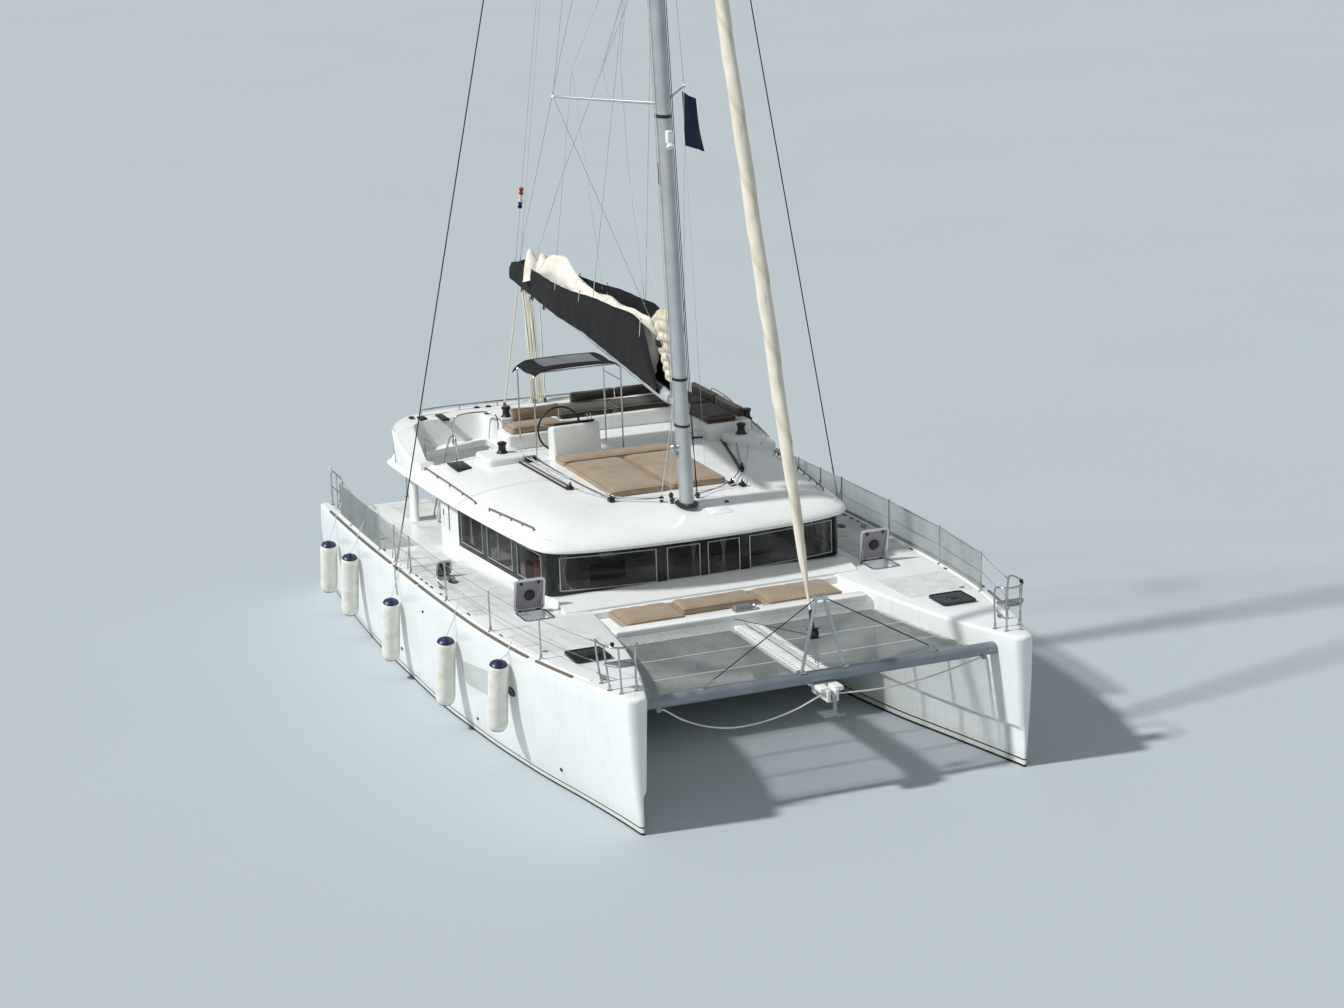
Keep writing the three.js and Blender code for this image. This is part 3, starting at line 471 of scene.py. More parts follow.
@dataclass(frozen=True)
class Laid(Finish):
    """Something laid round a core, which reads the piece's own lay attribute: a rope or a rolled sail.

    Attributes:
        strands: how many strands cross a turn.
        pitch: the length of one turn, in metres.
        both_ways: true for a braid, false for a single spiral.
        fleck: the colour of the tracer, or of the spiral's edge.
    """

    strands: int = 4
    pitch: float = 0.05
    both_ways: bool = True
    fleck: str = "#3b4a63"

    def dress(self, tree: bpy.types.NodeTree, shader: bpy.types.Node) -> None:
        """Adds the strands."""
        lay = add_node(tree, "ShaderNodeAttribute", attribute_name="lay").outputs["Vector"]
        parts = add_node(tree, "ShaderNodeSeparateXYZ", links={0: lay}).outputs
        angle = add_node(
            tree, "ShaderNodeMath", links={0: parts["Y"], 1: parts["X"]}, operation="ARCTAN2"
        ).outputs[0]
        around = add_node(
            tree, "ShaderNodeMath", {1: float(self.strands)}, {0: angle}, operation="MULTIPLY"
        ).outputs[0]
        waves = []
        for way in (1, -1) if self.both_ways else (1,):
            phase = add_node(
                tree, "ShaderNodeMath", {1: way * 2 * math.pi / self.pitch}, {0: parts["Z"], 2: around},
                operation="MULTIPLY_ADD",
            ).outputs[0]
            waves.append(add_node(tree, "ShaderNodeMath", links={0: phase}, operation="SINE").outputs[0])
        height = waves[0]
        if self.both_ways:
            height = add_node(
                tree, "ShaderNodeMath", links={0: waves[0], 1: waves[1]}, operation="MAXIMUM"
            ).outputs[0]
        place = add_node(tree, "ShaderNodeTexCoord").outputs["Object"]
        colour = self.tint(tree, shader, self.patches(tree, place))
        marked = add_node(
            tree, "ShaderNodeMapRange", {"From Min": 0.82, "From Max": 0.95, "To Max": 0.8},
            {"Value": waves[0]}
        ).outputs["Result"]
        colour = add_node(
            tree, "ShaderNodeMix", {7: linear(self.fleck)}, {0: marked, 6: colour}, data_type="RGBA"
        ).outputs[2]
        tree.links.new(colour, shader.inputs["Base Color"])
        self.raise_bump(tree, shader, height)


# Polyester gelcoat, polished: white with a soft gloss. The hulls add the paint at the waterline.
GELCOAT = Gelcoat(
    "polished gelcoat", "#f4f5f3", "#eceee9", 0.22, tone_size=1.4, grain_size=0.5, grain_depth=0.003
)
HULL_GELCOAT = Gelcoat(
    "hull gelcoat and antifouling", "#f2f5f4", "#e8ecea", 0.2, tone_size=1.8, grain_size=0.6,
    grain_depth=0.004,
    painted_below=0.035,
)
# Moulded non-skid: matt, and grey with use. Its 8 mm points are drawn at 16 mm so that they show.
DECK_NON_SKID = NonSkid(
    "moulded non-skid deck", "#dcdedb", "#c3c7c3", 0.7, tone_size=0.3, grain_size=0.016, grain_depth=0.0012
)
# Copper antifouling, rolled on: dead matt and nearly black.
ANTIFOULING = Finish(
    "rolled antifouling", "#1f2429", "#2d3337", 0.85, tone_size=0.25, grain_size=0.01, grain_depth=0.0006
)
# Smoked acrylic glazing: black from outside, with a deep gloss and a hint of the cabin behind.
SMOKED_ACRYLIC = Finish(
    "smoked acrylic glazing", "#0d0f11", "#15171a", 0.06, grain_size=0.8, grain_depth=0.002, alpha=0.36
)
# Ceramic-black edge of the glazing: the same gloss with nothing behind it.
BLACK_EDGE = Finish("black edge glazing", "#0b0c0e", "#131518", 0.14, grain_size=0.8, grain_depth=0.002)
# Hull window: grey acrylic; its pale colour is painted reflection of the sky.
SKY_PAINTED_HULL_ACRYLIC = Finish(
    "grey hull acrylic", "#cfd4d1", "#c4c9c7", 0.10, grain_size=0.6, grain_depth=0.003, coat=0.4
)
# Hatch lens of the raised lids: smoked acrylic drawn light grey, painted light that stands in for the sky
# seen through it; the closed lids' dark acrylic is the same material.
SKYLIT_HATCH_ACRYLIC = Finish(
    "hatch acrylic with painted sky light", "#8b8489", "#999398", 0.3, tone_size=0.6, grain_size=0.3, grain_depth=0.0004
)
DARK_ACRYLIC = Finish(
    "dark hatch acrylic", "#141619", "#1b1d20", 0.16, tone_size=0.6, grain_size=0.3, grain_depth=0.0004
)
# Clear-anodised spar extrusion: silver grey, brushed along its length.
SPAR = Drawn("anodised spar extrusion", "#bfc3c5", "#aeb3b6", 0.36, metallic=0.5, grain_depth=0.0004)
# The fore beam is drawn duller and bluer than the spar: painted shade of its forward face, which the sun does
# not reach.
SHADED_BEAM_ALUMINIUM = Drawn(
    "anodised beam extrusion", "#8e959b", "#7f878e", 0.45, metallic=0.35, stretch=(90.0, 2.0, 90.0),
    grain_depth=0.0004
)
BOOM_ALUMINIUM = Drawn(
    "anodised boom extrusion", "#d3d7da", "#c2c7cb", 0.38, metallic=0.5, stretch=(2.0, 90.0, 90.0),
    grain_depth=0.0004
)
# Brown-grey anodised toe rail, dulled by salt.
TOE_RAIL = Drawn(
    "anodised toe rail", "#857b6d", "#6f675c", 0.5, metallic=0.4, stretch=(3.0, 90.0, 90.0),
    grain_depth=0.0004
)
# Polished stainless steel: bright, with faint tea staining.
STAINLESS = Drawn(
    "polished stainless steel", "#cdd0d2", "#a9a59b", 0.2, metallic=1.0, tone_size=0.2,
    stretch=(120.0, 120.0, 120.0), grain_depth=0.0001
)
# Galvanised steel: dull grey zinc with a crystal mottle.
GALVANISED = Finish(
    "galvanised steel", "#a7abac", "#8b8f90", 0.5, metallic=0.8, tone_size=0.03, grain_size=0.012,
    grain_depth=0.0004
)
# Bronze propeller, polished by use.
BRONZE = Finish(
    "cast bronze", "#a5814b", "#7d6b46", 0.35, metallic=1.0, tone_size=0.08, grain_size=0.01,
    grain_depth=0.0003
)
# Black acetal and anodised fittings: satin.
BLACK_FITTING = Finish(
    "black acetal", "#17181a", "#26282a", 0.42, tone_size=0.08, grain_size=0.004, grain_depth=0.0001
)
# Coated fibre rigging: black and slightly shiny.
BLACK_STAY = Laid(
    "coated black rigging", "#15171b", "#24272c", 0.5, strands=3, pitch=0.09, fleck="#2b2e34",
    grain_depth=0.0006
)
# Acrylic canvas: nearly black, woven. Its 1 mm threads are drawn at 9 mm.
CANVAS = Woven(
    "acrylic canvas", "#0f1013", "#16171b", 0.95, tone_size=0.5, grain_size=0.009, grain_depth=0.0008
)
GREY_CANVAS = Woven(
    "faded grey canvas", "#5b5e63", "#72757a", 0.92, tone_size=0.3, grain_size=0.009, grain_depth=0.0008,
    sheen=0.3
)
# Polyester sailcloth: crisp, white to cream, with a fine square weave.
SAILCLOTH = Woven(
    "polyester sailcloth", "#efeae0", "#ddd5c3", 0.62, tone_size=0.25, grain_size=0.008, grain_depth=0.0005
)
LUFF_CLOTH = Woven(
    "weathered sailcloth", "#ddd6c0", "#bdb294", 0.7, tone_size=0.2, grain_size=0.008, grain_depth=0.0005
)
# The rolled headsail: cream, with the spiral of its edge showing as a dirty line.
ROLLED_SAIL = Laid(
    "rolled sailcloth", "#ece5d6", "#ddd4c0", 0.68, tone_size=0.35, strands=1, pitch=1.15, both_ways=False,
    fleck="#d6ccb4", grain_depth=0.006,
)
# Outdoor upholstery: tan and charcoal, woven.
TAN_FABRIC = Woven(
    "tan outdoor fabric", "#a39079", "#94816b", 0.9, tone_size=0.35, grain_size=0.009, grain_depth=0.001,
    sheen=0.25
)
DARK_FABRIC = Woven(
    "charcoal outdoor fabric", "#3a3731", "#2c2a26", 0.9, tone_size=0.3, grain_size=0.009,
    grain_depth=0.001, sheen=0.25
)
PIPING = Woven("bound seam tape", "#8c7663", "#7a6655", 0.85, grain_size=0.006, grain_depth=0.0006)
# Polyester net: grey cords.
NET_CORD = Finish(
    "polyester net cord", "#9ba09e", "#84898a", 0.85, tone_size=0.3, grain_size=0.01, grain_depth=0.0008
)
RAIL_NET = Finish(
    "knotted rail net", "#a9b0ae", "#939a99", 0.85, tone_size=0.3, grain_size=0.01, grain_depth=0.0008
)
# Braided rope: white with a tracer, and plain black.
WHITE_ROPE = Laid(
    "braided white rope", "#e7e4da", "#cfcabb", 0.85, strands=4, pitch=0.06, fleck="#b8b29f",
    grain_depth=0.002
)
SHEET_ROPE = Laid(
    "weathered sheet rope", "#d9d3c0", "#c4bda6", 0.85, strands=4, pitch=0.05, fleck="#a89d7a",
    grain_depth=0.0015
)
FINE_LINE = Laid(
    "braided fine line", "#dfe3e0", "#c3c8c5", 0.8, strands=3, pitch=0.03, fleck="#8f9ba4", grain_depth=0.001
)
BLACK_ROPE = Laid(
    "braided black rope", "#18191b", "#2a2c2f", 0.85, strands=4, pitch=0.05, fleck="#3c3f43",
    grain_depth=0.002
)
# Fender: inflated vinyl, ivory, with navy ends.
FENDER_VINYL = Finish(
    "inflated ivory vinyl", "#efede4", "#dedaca", 0.38, tone_size=0.15, grain_size=0.01, grain_depth=0.0004
)
FENDER_CAP = Finish(
    "navy vinyl end", "#1b2146", "#2a3054", 0.4, tone_size=0.05, grain_size=0.01, grain_depth=0.0003
)
FLAG_CLOTH = Woven(
    "navy flag bunting", "#1b2140", "#2a3152", 0.85, tone_size=0.1, grain_size=0.008, grain_depth=0.0005
)
RED_CLOTH = Woven(
    "red flag bunting", "#a3392f", "#8a3028", 0.85, tone_size=0.1, grain_size=0.008, grain_depth=0.0005
)
# Varnished wood of the cockpit table and cabin joinery.
JOINERY = Drawn(
    "oiled oak joinery", "#9a7350", "#7d5b3d", 0.45, stretch=(40.0, 3.0, 40.0), grain_depth=0.0006
)
CURTAIN = Woven(
    "cotton curtain", "#fbf9f4", "#efece4", 0.9, tone_size=0.1, grain_size=0.01, grain_depth=0.001
)
CLEAR_LENS = Finish("clear lamp lens", "#e8ecee", "#d3d8da", 0.1, tone_size=0.05)


# Modelling


class Shade(Enum):
    """How a piece's faces meet when it is shaded, as the angle past which an edge stays sharp."""

    SOFT = 60.0
    MOULDED = 38.0
    CRISP = 25.0


class Form:
    """A mesh in the making. Each method adds one shape made by bmesh operators.

    Attributes:
        bm: the mesh so far.
        finishes: the finishes used, in the order of their slots.
    """

    def __init__(self) -> None:
        """Starts an empty form."""
        self.bm = bmesh.new()
        self.bm.verts.layers.float_vector.new("lay")
        self.finishes: list[Finish] = []

    def join(
        self, part: bmesh.types.BMesh, finish: Finish, place: Matrix | None = None, solid: bool = True
    ) -> None:
        """Adds a finished part.

        Args:
            part: the part, which is used up.
            finish: its finish.
            place: where it goes.
            solid: whether it is closed, so that its faces can be turned outwards.
        """
        if place is not None:
            bmesh.ops.transform(part, matrix=place, verts=part.verts)
        if solid:
            bmesh.ops.recalc_face_normals(part, faces=part.faces)
        if finish not in self.finishes:
            self.finishes.append(finish)
        slot = self.finishes.index(finish)
        for face in part.faces:
            face.material_index = slot
            face.smooth = True
        mesh = bpy.data.meshes.new("part")
        part.to_mesh(mesh)
        part.free()
        self.bm.from_mesh(mesh)
        bpy.data.meshes.remove(mesh)

    @staticmethod
    def soften(part: bmesh.types.BMesh, width: float, steps: int, angle: float = 25.0) -> None:
        """Rounds every edge of a part that is sharper than an angle."""
        if width > 0:
            edges = [e for e in part.edges if e.is_manifold and e.calc_face_angle(0.0) > math.radians(angle)]
            bmesh.ops.bevel(
                part, geom=edges, offset=width, segments=steps, profile=0.5, affect="EDGES", material=-1,
                clamp_overlap=True,
            )

    def box(
        self,
        low: Point,
        high: Point,
        finish: Finish,
        rounding: float = 0.0,
        steps: int = 2,
        place: Matrix | None = None,
        shape: Callable[[Vector], Vector] | None = None,
    ) -> None:
        """Adds a block.

        Args:
            low: its lowest corner.
            high: its highest corner.
            finish: its finish.
            rounding: the radius of its edges.
            steps: the steps of each rounded edge.
            place: a matrix that places it.
            shape: moves each corner before the edges are rounded.
        """
        part = bmesh.new()
        size = Vector(high) - Vector(low)
        middle = (Vector(high) + Vector(low)) / 2
        bmesh.ops.create_cube(
            part, size=1.0, matrix=Matrix.Translation(middle) @ Matrix.Diagonal((*size, 1.0))
        )
        if shape:
            for vert in part.verts:
                vert.co = shape(vert.co)
        self.soften(part, rounding, steps)
        self.join(part, finish, place)

    def plate(
        self,
        outline: Sequence[tuple[float, float]],
        low: float,
        high: float,
        finish: Finish,
        rounding: float = 0.0,
        steps: int = 2,
        place: Matrix | None = None,
        shape: Callable[[Vector], Vector] | None = None,
        angle: float = 25.0,
    ) -> None:
        """Adds a flat outline extruded along Z, with its edges rounded."""
        part = bmesh.new()
        face = part.faces.new([part.verts.new((u, v, low)) for u, v in outline])
        made = bmesh.ops.extrude_face_region(part, geom=[face])["geom"]
        lifted = [v for v in made if isinstance(v, bmesh.types.BMVert)]
        bmesh.ops.translate(part, vec=(0, 0, high - low), verts=lifted)
        if shape:
            for vert in part.verts:
                vert.co = shape(vert.co)
        bmesh.ops.recalc_face_normals(part, faces=part.faces)
        self.soften(part, rounding, steps, angle)
        self.join(part, finish, place)

    def lathe(
        self, profile: Sequence[tuple[float, float]], finish: Finish, place: Matrix | None = None,
        steps: int = 20
    ) -> None:
        """Adds a profile of radius and height turned about Z."""
        part = bmesh.new()
        chain = [part.verts.new((max(radius, 0.0), 0, height)) for radius, height in profile]
        edges = [part.edges.new(pair) for pair in zip(chain, chain[1:])]
        bmesh.ops.spin(
            part, geom=[*chain, *edges], cent=(0, 0, 0), axis=(0, 0, 1), angle=2 * math.pi, steps=steps,
            use_merge=True,
        )
        bmesh.ops.remove_doubles(part, verts=part.verts, dist=1e-6)
        self.close(part)
        self.join(part, finish, place)

    @staticmethod
    def close(part: bmesh.types.BMesh) -> None:
        """Fills a part's open ends."""
        rim = [edge for edge in part.edges if edge.is_boundary]
        if rim:
            bmesh.ops.holes_fill(part, edges=rim, sides=0)

    def skin(
        self,
        columns: int,
        rows: int,
        point: Callable[[int, int], Vector],
        finish: Finish,
        wrap: bool = True,
        ends: bool = True,
        solid: bool = True,
        place: Matrix | None = None,
    ) -> None:
        """Adds a grid drawn over rings of points.

        Args:
            columns: how many points a ring has.
            rows: how many rings there are.
            point: where the point of a column and row goes.
            finish: its finish.
            wrap: whether each ring closes.
            ends: whether open ends are filled.
            solid: whether the result is closed.
            place: a matrix that places it.
        """
        part = bmesh.new()
        lay = part.verts.layers.float_vector.new("lay")
        wide = columns if wrap else columns - 1
        bmesh.ops.create_grid(part, x_segments=wide, y_segments=rows - 1, size=1.0)
        along, last = 0.0, None
        for number, vert in enumerate(part.verts):
            row, column = divmod(number, wide + 1)
            vert.co = point(column % columns, row)
            if column == 0:
                along += (vert.co - last).length if last else 0.0
                last = vert.co.copy()
            turn = 2 * math.pi * column / columns
            vert[lay] = (math.cos(turn), math.sin(turn), along)
        bmesh.ops.remove_doubles(part, verts=part.verts, dist=1e-6)
        if ends:
            self.close(part)
        self.join(part, finish, place, solid)

    def tube(
        self,
        path: Sequence[Vector | Point],
        radius: float,
        finish: Finish,
        sides: int = 8,
        closed: bool = False,
        radii: Callable[[float], float] | None = None,
    ) -> None:
        """Adds a round bar along a path.

        Args:
            path: the points of its middle.
            radius: its radius.
            finish: its finish.
            sides: the points of each ring.
            closed: whether it joins its own start.
            radii: the radius from the share of the way along, in place of one radius.
        """
        line = [Vector(p) for p in path]
        frames = frames_along(line, closed)
        count = len(frames)

        def point(column: int, row: int) -> Vector:
            """A point of the bar's surface."""
            turn = 2 * math.pi * column / sides
            size = radii(row / (count - 1)) if radii else radius
            return frames[row % count] @ Vector((size * math.cos(turn), size * math.sin(turn), 0))

        self.skin(sides, count + 1 if closed else count, point, finish, ends=not closed)

    def sweep(
        self,
        path: Sequence[Vector | Point],
        section: Sequence[tuple[float, float]],
        finish: Finish,
        up: Vector = Vector((0, 0, 1)),
        closed: bool = False,
        ends: bool = True,
    ) -> None:
        """Adds a bar of a given section along a path.

        The section's first number goes to the right, seen along the path, and its second number goes up.
        """
        line = [Vector(p) for p in path]
        frames = frames_along(line, closed, up)
        count = len(frames)

        def point(column: int, row: int) -> Vector:
            """A point of the bar's surface."""
            across, rise = section[column]
            return frames[row % count] @ Vector((across, rise, 0))

        self.skin(len(section), count + 1 if closed else count, point, finish, ends=ends and not closed)

    def bar(self, start: Point, end: Point, radius: float, finish: Finish, sides: int = 8) -> None:
        """Adds a straight round bar."""
        self.tube([start, end], radius, finish, sides)

    def ball(self, centre: Point, radius: float, finish: Finish, squash: Point = (1.0, 1.0, 1.0)) -> None:
        """Adds a ball, or an egg when it is squashed."""
        part = bmesh.new()
        place = Matrix.Translation(centre) @ Matrix.Diagonal((*squash, 1.0))
        bmesh.ops.create_icosphere(part, subdivisions=2, radius=radius, matrix=place)
        self.join(part, finish)

    def mirror(self) -> "Form":
        """Turns the form over to the other side of the boat."""
        bmesh.ops.scale(self.bm, vec=(1, -1, 1), verts=self.bm.verts)
        bmesh.ops.reverse_faces(self.bm, faces=self.bm.faces)
        return self

    def mesh_object(self, name: str, shade: Shade = Shade.MOULDED) -> bpy.types.Object:
        """Turns the form into a Blender object, which is not yet part of the boat."""
        mesh = bpy.data.meshes.new(name)
        self.bm.to_mesh(mesh)
        self.bm.free()
        for finish in self.finishes:
            mesh.materials.append(finish.material())
        mesh.set_sharp_from_angle(angle=math.radians(shade.value))
        made = bpy.data.objects.new(name, mesh)
        bpy.context.scene.collection.objects.link(made)
        return made

    def piece(
        self,
        name: str,
        replaces: Iterable[str] = (),
        body: str = "boat",
        slot: str = "",
        shade: Shade = Shade.MOULDED,
        cuts: Sequence["Form"] = (),
    ) -> bpy.types.Object:
        """Turns the form into a piece of the boat.

        Args:
            name: the piece's name.
            replaces: the CAD nodes it stands for.
            body: the CAD body it rides on.
            slot: the record's material slot; not used.
            shade: how sharp its edges look.
            cuts: forms that are cut out of it.

        Returns:
            The finished object.
        """
        made = self.mesh_object(name, shade)
        for number, cut in enumerate(cuts):
            carve(made, cut.mesh_object(f"{name}_cut_{number}"))
        if cuts:
            made.data.set_sharp_from_angle(angle=math.radians(shade.value))
        return enter(made, replaces, body, slot)


def enter(made: bpy.types.Object, replaces: Iterable[str], body: str, slot: str) -> bpy.types.Object:
    """Gives an object to the frame, as a piece that rides on a body and may stand for CAD nodes."""
    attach(made, body)
    names = list(replaces)
    if names:
        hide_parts(*names)
    LOG.info("%s: %d faces", made.name, len(made.data.polygons))
    return made


def bake_modifiers(made: bpy.types.Object) -> None:
    """Applies an object's modifiers to its mesh."""
    graph = bpy.context.evaluated_depsgraph_get()
    mesh = bpy.data.meshes.new_from_object(made.evaluated_get(graph))
    old = made.data
    made.modifiers.clear()
    made.data = mesh
    mesh.name = old.name
    bpy.data.meshes.remove(old)


def carve(made: bpy.types.Object, cutter: bpy.types.Object) -> None:
    """Cuts one object out of another, and removes the cutter."""
    cut = made.modifiers.new("cut", "BOOLEAN")
    cut.operation, cut.solver, cut.object = "DIFFERENCE", "EXACT", cutter
    bake_modifiers(made)
    bpy.data.objects.remove(cutter)


# The scene around the boat


@dataclass
class Studio:
    """The camera at the photograph's view, the pale floor at the waterline and soft light."""

    position: Point = (42.1277, -16.4630, 14.8588)
    yaw: float = 158.19186
    pitch: float = 15.09339
    roll: float = -1.85846
    focal_pixels: float = 2926.36
    floor_half: float = 500.0
    floor_colour: str = "#b9c2c6"
    sky_colour: str = "#e6edf2"
    sun_direction: Point = (-0.10, -1.0, 1.05)

    def build(self) -> None:
        """Makes the camera, the floor and the lights."""
        self.camera()
        self.floor()
        self.lights()

    def camera(self) -> None:
        """Places the camera, which was fitted to the photograph."""
        yaw, pitch, roll = (math.radians(angle) for angle in (self.yaw, self.pitch, self.roll))
        ahead = Vector((math.cos(pitch) * math.cos(yaw), math.cos(pitch) * math.sin(yaw), -math.sin(pitch)))
        right = Vector((math.sin(yaw), -math.cos(yaw), 0))
        up = right.cross(ahead)
        tilted = math.cos(roll) * right + math.sin(roll) * up
        raised = -math.sin(roll) * right + math.cos(roll) * up
        data = bpy.data.cameras.new("camera")
        data.sensor_width = SENSOR_WIDTH
        data.lens = self.focal_pixels * SENSOR_WIDTH / PHOTO_WIDTH
        data.clip_end = 1000
        camera = bpy.data.objects.new("camera", data)
        bpy.context.scene.collection.objects.link(camera)
        place = Matrix((tilted, raised, -ahead)).transposed().to_4x4()
        place.translation = self.position
        camera.matrix_world = place
        bpy.context.scene.camera = camera

    def floor(self) -> None:
        """Lays the floor at the waterline."""
        form = Form()
        part = bmesh.new()
        bmesh.ops.create_grid(part, x_segments=1, y_segments=1, size=self.floor_half)
        plain = Finish(
            "matt studio floor", self.floor_colour, self.floor_colour, 0.8, tone_size=9.0, grain_depth=0.0
        )
        form.join(part, plain, solid=False)
        form.mesh_object("floor")

    def lights(self) -> None:
        """Adds the pale surround and one broad sun."""
        world = bpy.data.worlds.new("studio")
        world.use_nodes = True
        background = world.node_tree.nodes["Background"]
        background.inputs["Color"].default_value = linear(self.sky_colour)
        background.inputs["Strength"].default_value = 0.42
        bpy.context.scene.world = world
        data = bpy.data.lights.new("sun", "SUN")
        data.energy, data.angle = 3.1, math.radians(4)
        sun = bpy.data.objects.new("sun", data)
        sun.rotation_mode = "QUATERNION"
        sun.rotation_quaternion = Vector(self.sun_direction).to_track_quat("Z", "Y")
        bpy.context.scene.collection.objects.link(sun)
        bpy.context.scene.view_settings.view_transform = "Standard"


@dataclass
class MooringBridle:
    """The slack white rope under the fore beam, in two legs that meet at the anchor roller."""

    diameter: float = 0.024
    span: tuple[float, float] = (0.0903, 2.4997)
    starboard_route: tuple[Point, ...] = (
        (6.560, -2.520, 1.632), (6.566, -2.430, 1.600), (6.595, -2.210, 1.450), (6.610, -1.940, 1.325),
        (6.620, -1.670, 1.245), (6.620, -1.370, 1.205), (6.620, -0.950, 1.225), (6.630, -0.510, 1.320),
        (6.650, -0.180, 1.452), (6.658, -0.070, 1.492),
    )
    port_route: tuple[Point, ...] = (
        (6.658, 0.070, 1.482), (6.650, 0.190, 1.470), (6.625, 0.670, 1.430), (6.605, 1.250, 1.430),
        (6.585, 1.850, 1.500), (6.566, 2.400, 1.605), (6.560, 2.520, 1.632),
    )

    def build(self) -> None:
        """Makes both legs."""
        for side, route in (("starboard", self.starboard_route), ("port", self.port_route)):
            line = self.trimmed(smooth_path(route, 5))
            form = Form()
            form.tube(line, self.diameter / 2, WHITE_ROPE, sides=12)
            leg = form.piece(f"bridle_{side}", [f"mooring_bridle_{side}"], slot="rope", shade=Shade.SOFT)
            length = sum((b - a).length for a, b in zip(line, line[1:]))
            exit_point = max((line[0], line[-1]), key=lambda p: abs(p.y))
            path = line if exit_point == line[0] else line[::-1]
            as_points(path)
            LOG.info("bridle %s is %.3f m long", side, length)

    def trimmed(self, line: Sequence[Vector]) -> list[Vector]:
        """Cuts a route to where the fittings' faces are."""
        near, far = self.span
        kept = [p for p in line if near < abs(p.y) < far]
        first = self.crossing(line, kept[0], -1)
        last = self.crossing(line, kept[-1], 1)
        return [first, *kept, last]

    def crossing(self, line: Sequence[Vector], kept: Vector, way: int) -> Vector:
        """The point where the route meets a fitting, beyond a kept point."""
        other = line[line.index(kept) + way]
        edge = self.span[0] if abs(other.y) < abs(kept.y) else self.span[1]
        share = (edge - abs(kept.y)) / (abs(other.y) - abs(kept.y))
        return kept.lerp(other, share)


# Hulls


@dataclass
class Hulls:
    """Both hulls: smooth shells with a rounded gunwale, a chine inboard, a blunt stem and boarding steps."""

    stations: int = 66
    gunwale: float = 0.045
    chine: float = 0.56
    nose: float = 0.1005
    nose_start: float = 6.88
    wing: float = 0.15
    bilge_points: int = 15
    transom: tuple[tuple[float, float], ...] = (
        (-6.05, 2.2), (-6.15, 1.65), (-6.42, 1.15), (-6.56, 0.42), (-7.2, 0.42), (-7.2, 2.2),
    )
    steps: tuple[tuple[float, float], ...] = ((-5.5, 1.3), (-5.85, 1.0), (-6.2, 0.7))

    def build(self) -> None:
        """Makes both shells."""
        for side, sign in SIDES:
            lids = [hatch for hatch in HATCHES if hatch.port or sign < 0]
            form, cuts = self.shell(), self.cutters(lids)
            if sign < 0:
                form, cuts = form.mirror(), [cut.mirror() for cut in cuts]
            form.piece(f"hull_shell_{side}", [f"hull_{side}"], slot="gelcoat", shade=Shade.CRISP, cuts=cuts)

    def shell(self) -> Form:
        """The port shell before its cuts."""
        places = [*spread(-6.98, self.nose_start, self.stations), 6.905, 6.93, 6.95, 6.964, 6.974, 6.98]
        rings = [self.ring(x) for x in places]
        form = Form()
        form.skin(len(rings[0]), len(rings), lambda column, row: rings[row][column], HULL_GELCOAT)
        return form

    def ring(self, x: float) -> list[Vector]:
        """The hull's section at x, from the inboard deck edge over the deck and round under the keel."""
        out, inn, water_out, water_in, depth, top = (eased(HULL_TABLE, x, c) for c in range(1, 7))
        past = max(x - self.nose_start, 0.0)
        share = math.sqrt(max(1 - (past / self.nose) ** 2, 0.0))
        top -= 0.05 * (1 - share)

        def pinch(a: float, b: float) -> tuple[float, float]:
            """Draws two sides together at the stem."""
            middle = (a + b) / 2
            return middle + (a - middle) * share, middle + (b - middle) * share

        out, inn = pinch(out, inn)
        water_out, water_in = pinch(water_out, water_in)
        round_by = min(self.gunwale, (out - inn) / 4)
        flare = water_out + (out - water_out) * 0.7
        points: list[tuple[float, float]] = []
        for turn in spread(90, 0, 5):
            angle = math.radians(turn)
            points.append((inn + round_by * (1 - math.cos(angle)), top - round_by * (1 - math.sin(angle))))
        points.reverse()
        for y in spread(inn + round_by, out - round_by, 7)[1:-1]:
            camber = 0.012 * (1 - (2 * (y - inn) / (out - inn) - 1) ** 2)
            points.append((y, top + camber))
        for turn in spread(90, 0, 5):
            angle = math.radians(turn)
            points.append((out - round_by * (1 - math.cos(angle)), top - round_by * (1 - math.sin(angle))))
        for z in spread(top - round_by, 0.0, 10)[1:-1]:
            points.append((self.side_at(z, top, out, flare, water_out), z))
        middle, half = (water_out + water_in) / 2, (water_out - water_in) / 2
        for turn in spread(0, math.pi, self.bilge_points):
            points.append((middle + half * math.cos(turn), -depth * share * max(math.sin(turn), 0.0) ** 0.8))
        step = water_in + (inn - water_in) * 0.5
        points += [(water_in, z) for z in (0.2, 0.4, self.chine - 0.02)]
        points += [(step, self.chine + 0.06)]
        for z in spread(self.chine + 0.06, top - round_by, 7)[1:-1]:
            points.append((step + (inn - step) * (z - self.chine - 0.06) / (top - self.chine - 0.06), z))
        return [Vector((x, y, z)) for y, z in points]

    @staticmethod
    def side_at(z: float, top: float, out: float, flare: float, water: float) -> float:
        """The topside's y at a height, on a curve through the deck edge, the flare and the waterline."""
        middle = 0.896
        return (
            out * z * (z - middle) / (top * (top - middle))
            + flare * z * (z - top) / (middle * (middle - top))
            + water * (z - top) * (z - middle) / (top * middle)
        )

    def cutters(self, lids: Sequence["Hatch"]) -> list[Form]:
        """What is cut out of the port shell: the transom's rake, the steps and the hatch wells."""
        rake = Form()
        stand = Matrix.Rotation(math.radians(90), 4, "X")
        rake.plate(self.transom, -4.2, -1.8, HULL_GELCOAT, place=stand)
        wells = Form()
        for lid in lids:
            low, high = lid.well()
            wells.box(low, high, HULL_GELCOAT, 0.03, 2)
        return [rake, *self.split_steps(), wells]

    def split_steps(self) -> list[Form]:
        """One cutter for each step, so that no cutter overlaps itself."""
        outboard = deck_edge(-6.0) - self.wing
        forms = []
        for x, height in self.steps:
            form = Form()
            form.box((-7.3, 1.8, height), (x, outboard, 2.3), HULL_GELCOAT, 0.02, 2)
            forms.append(form)
        return forms


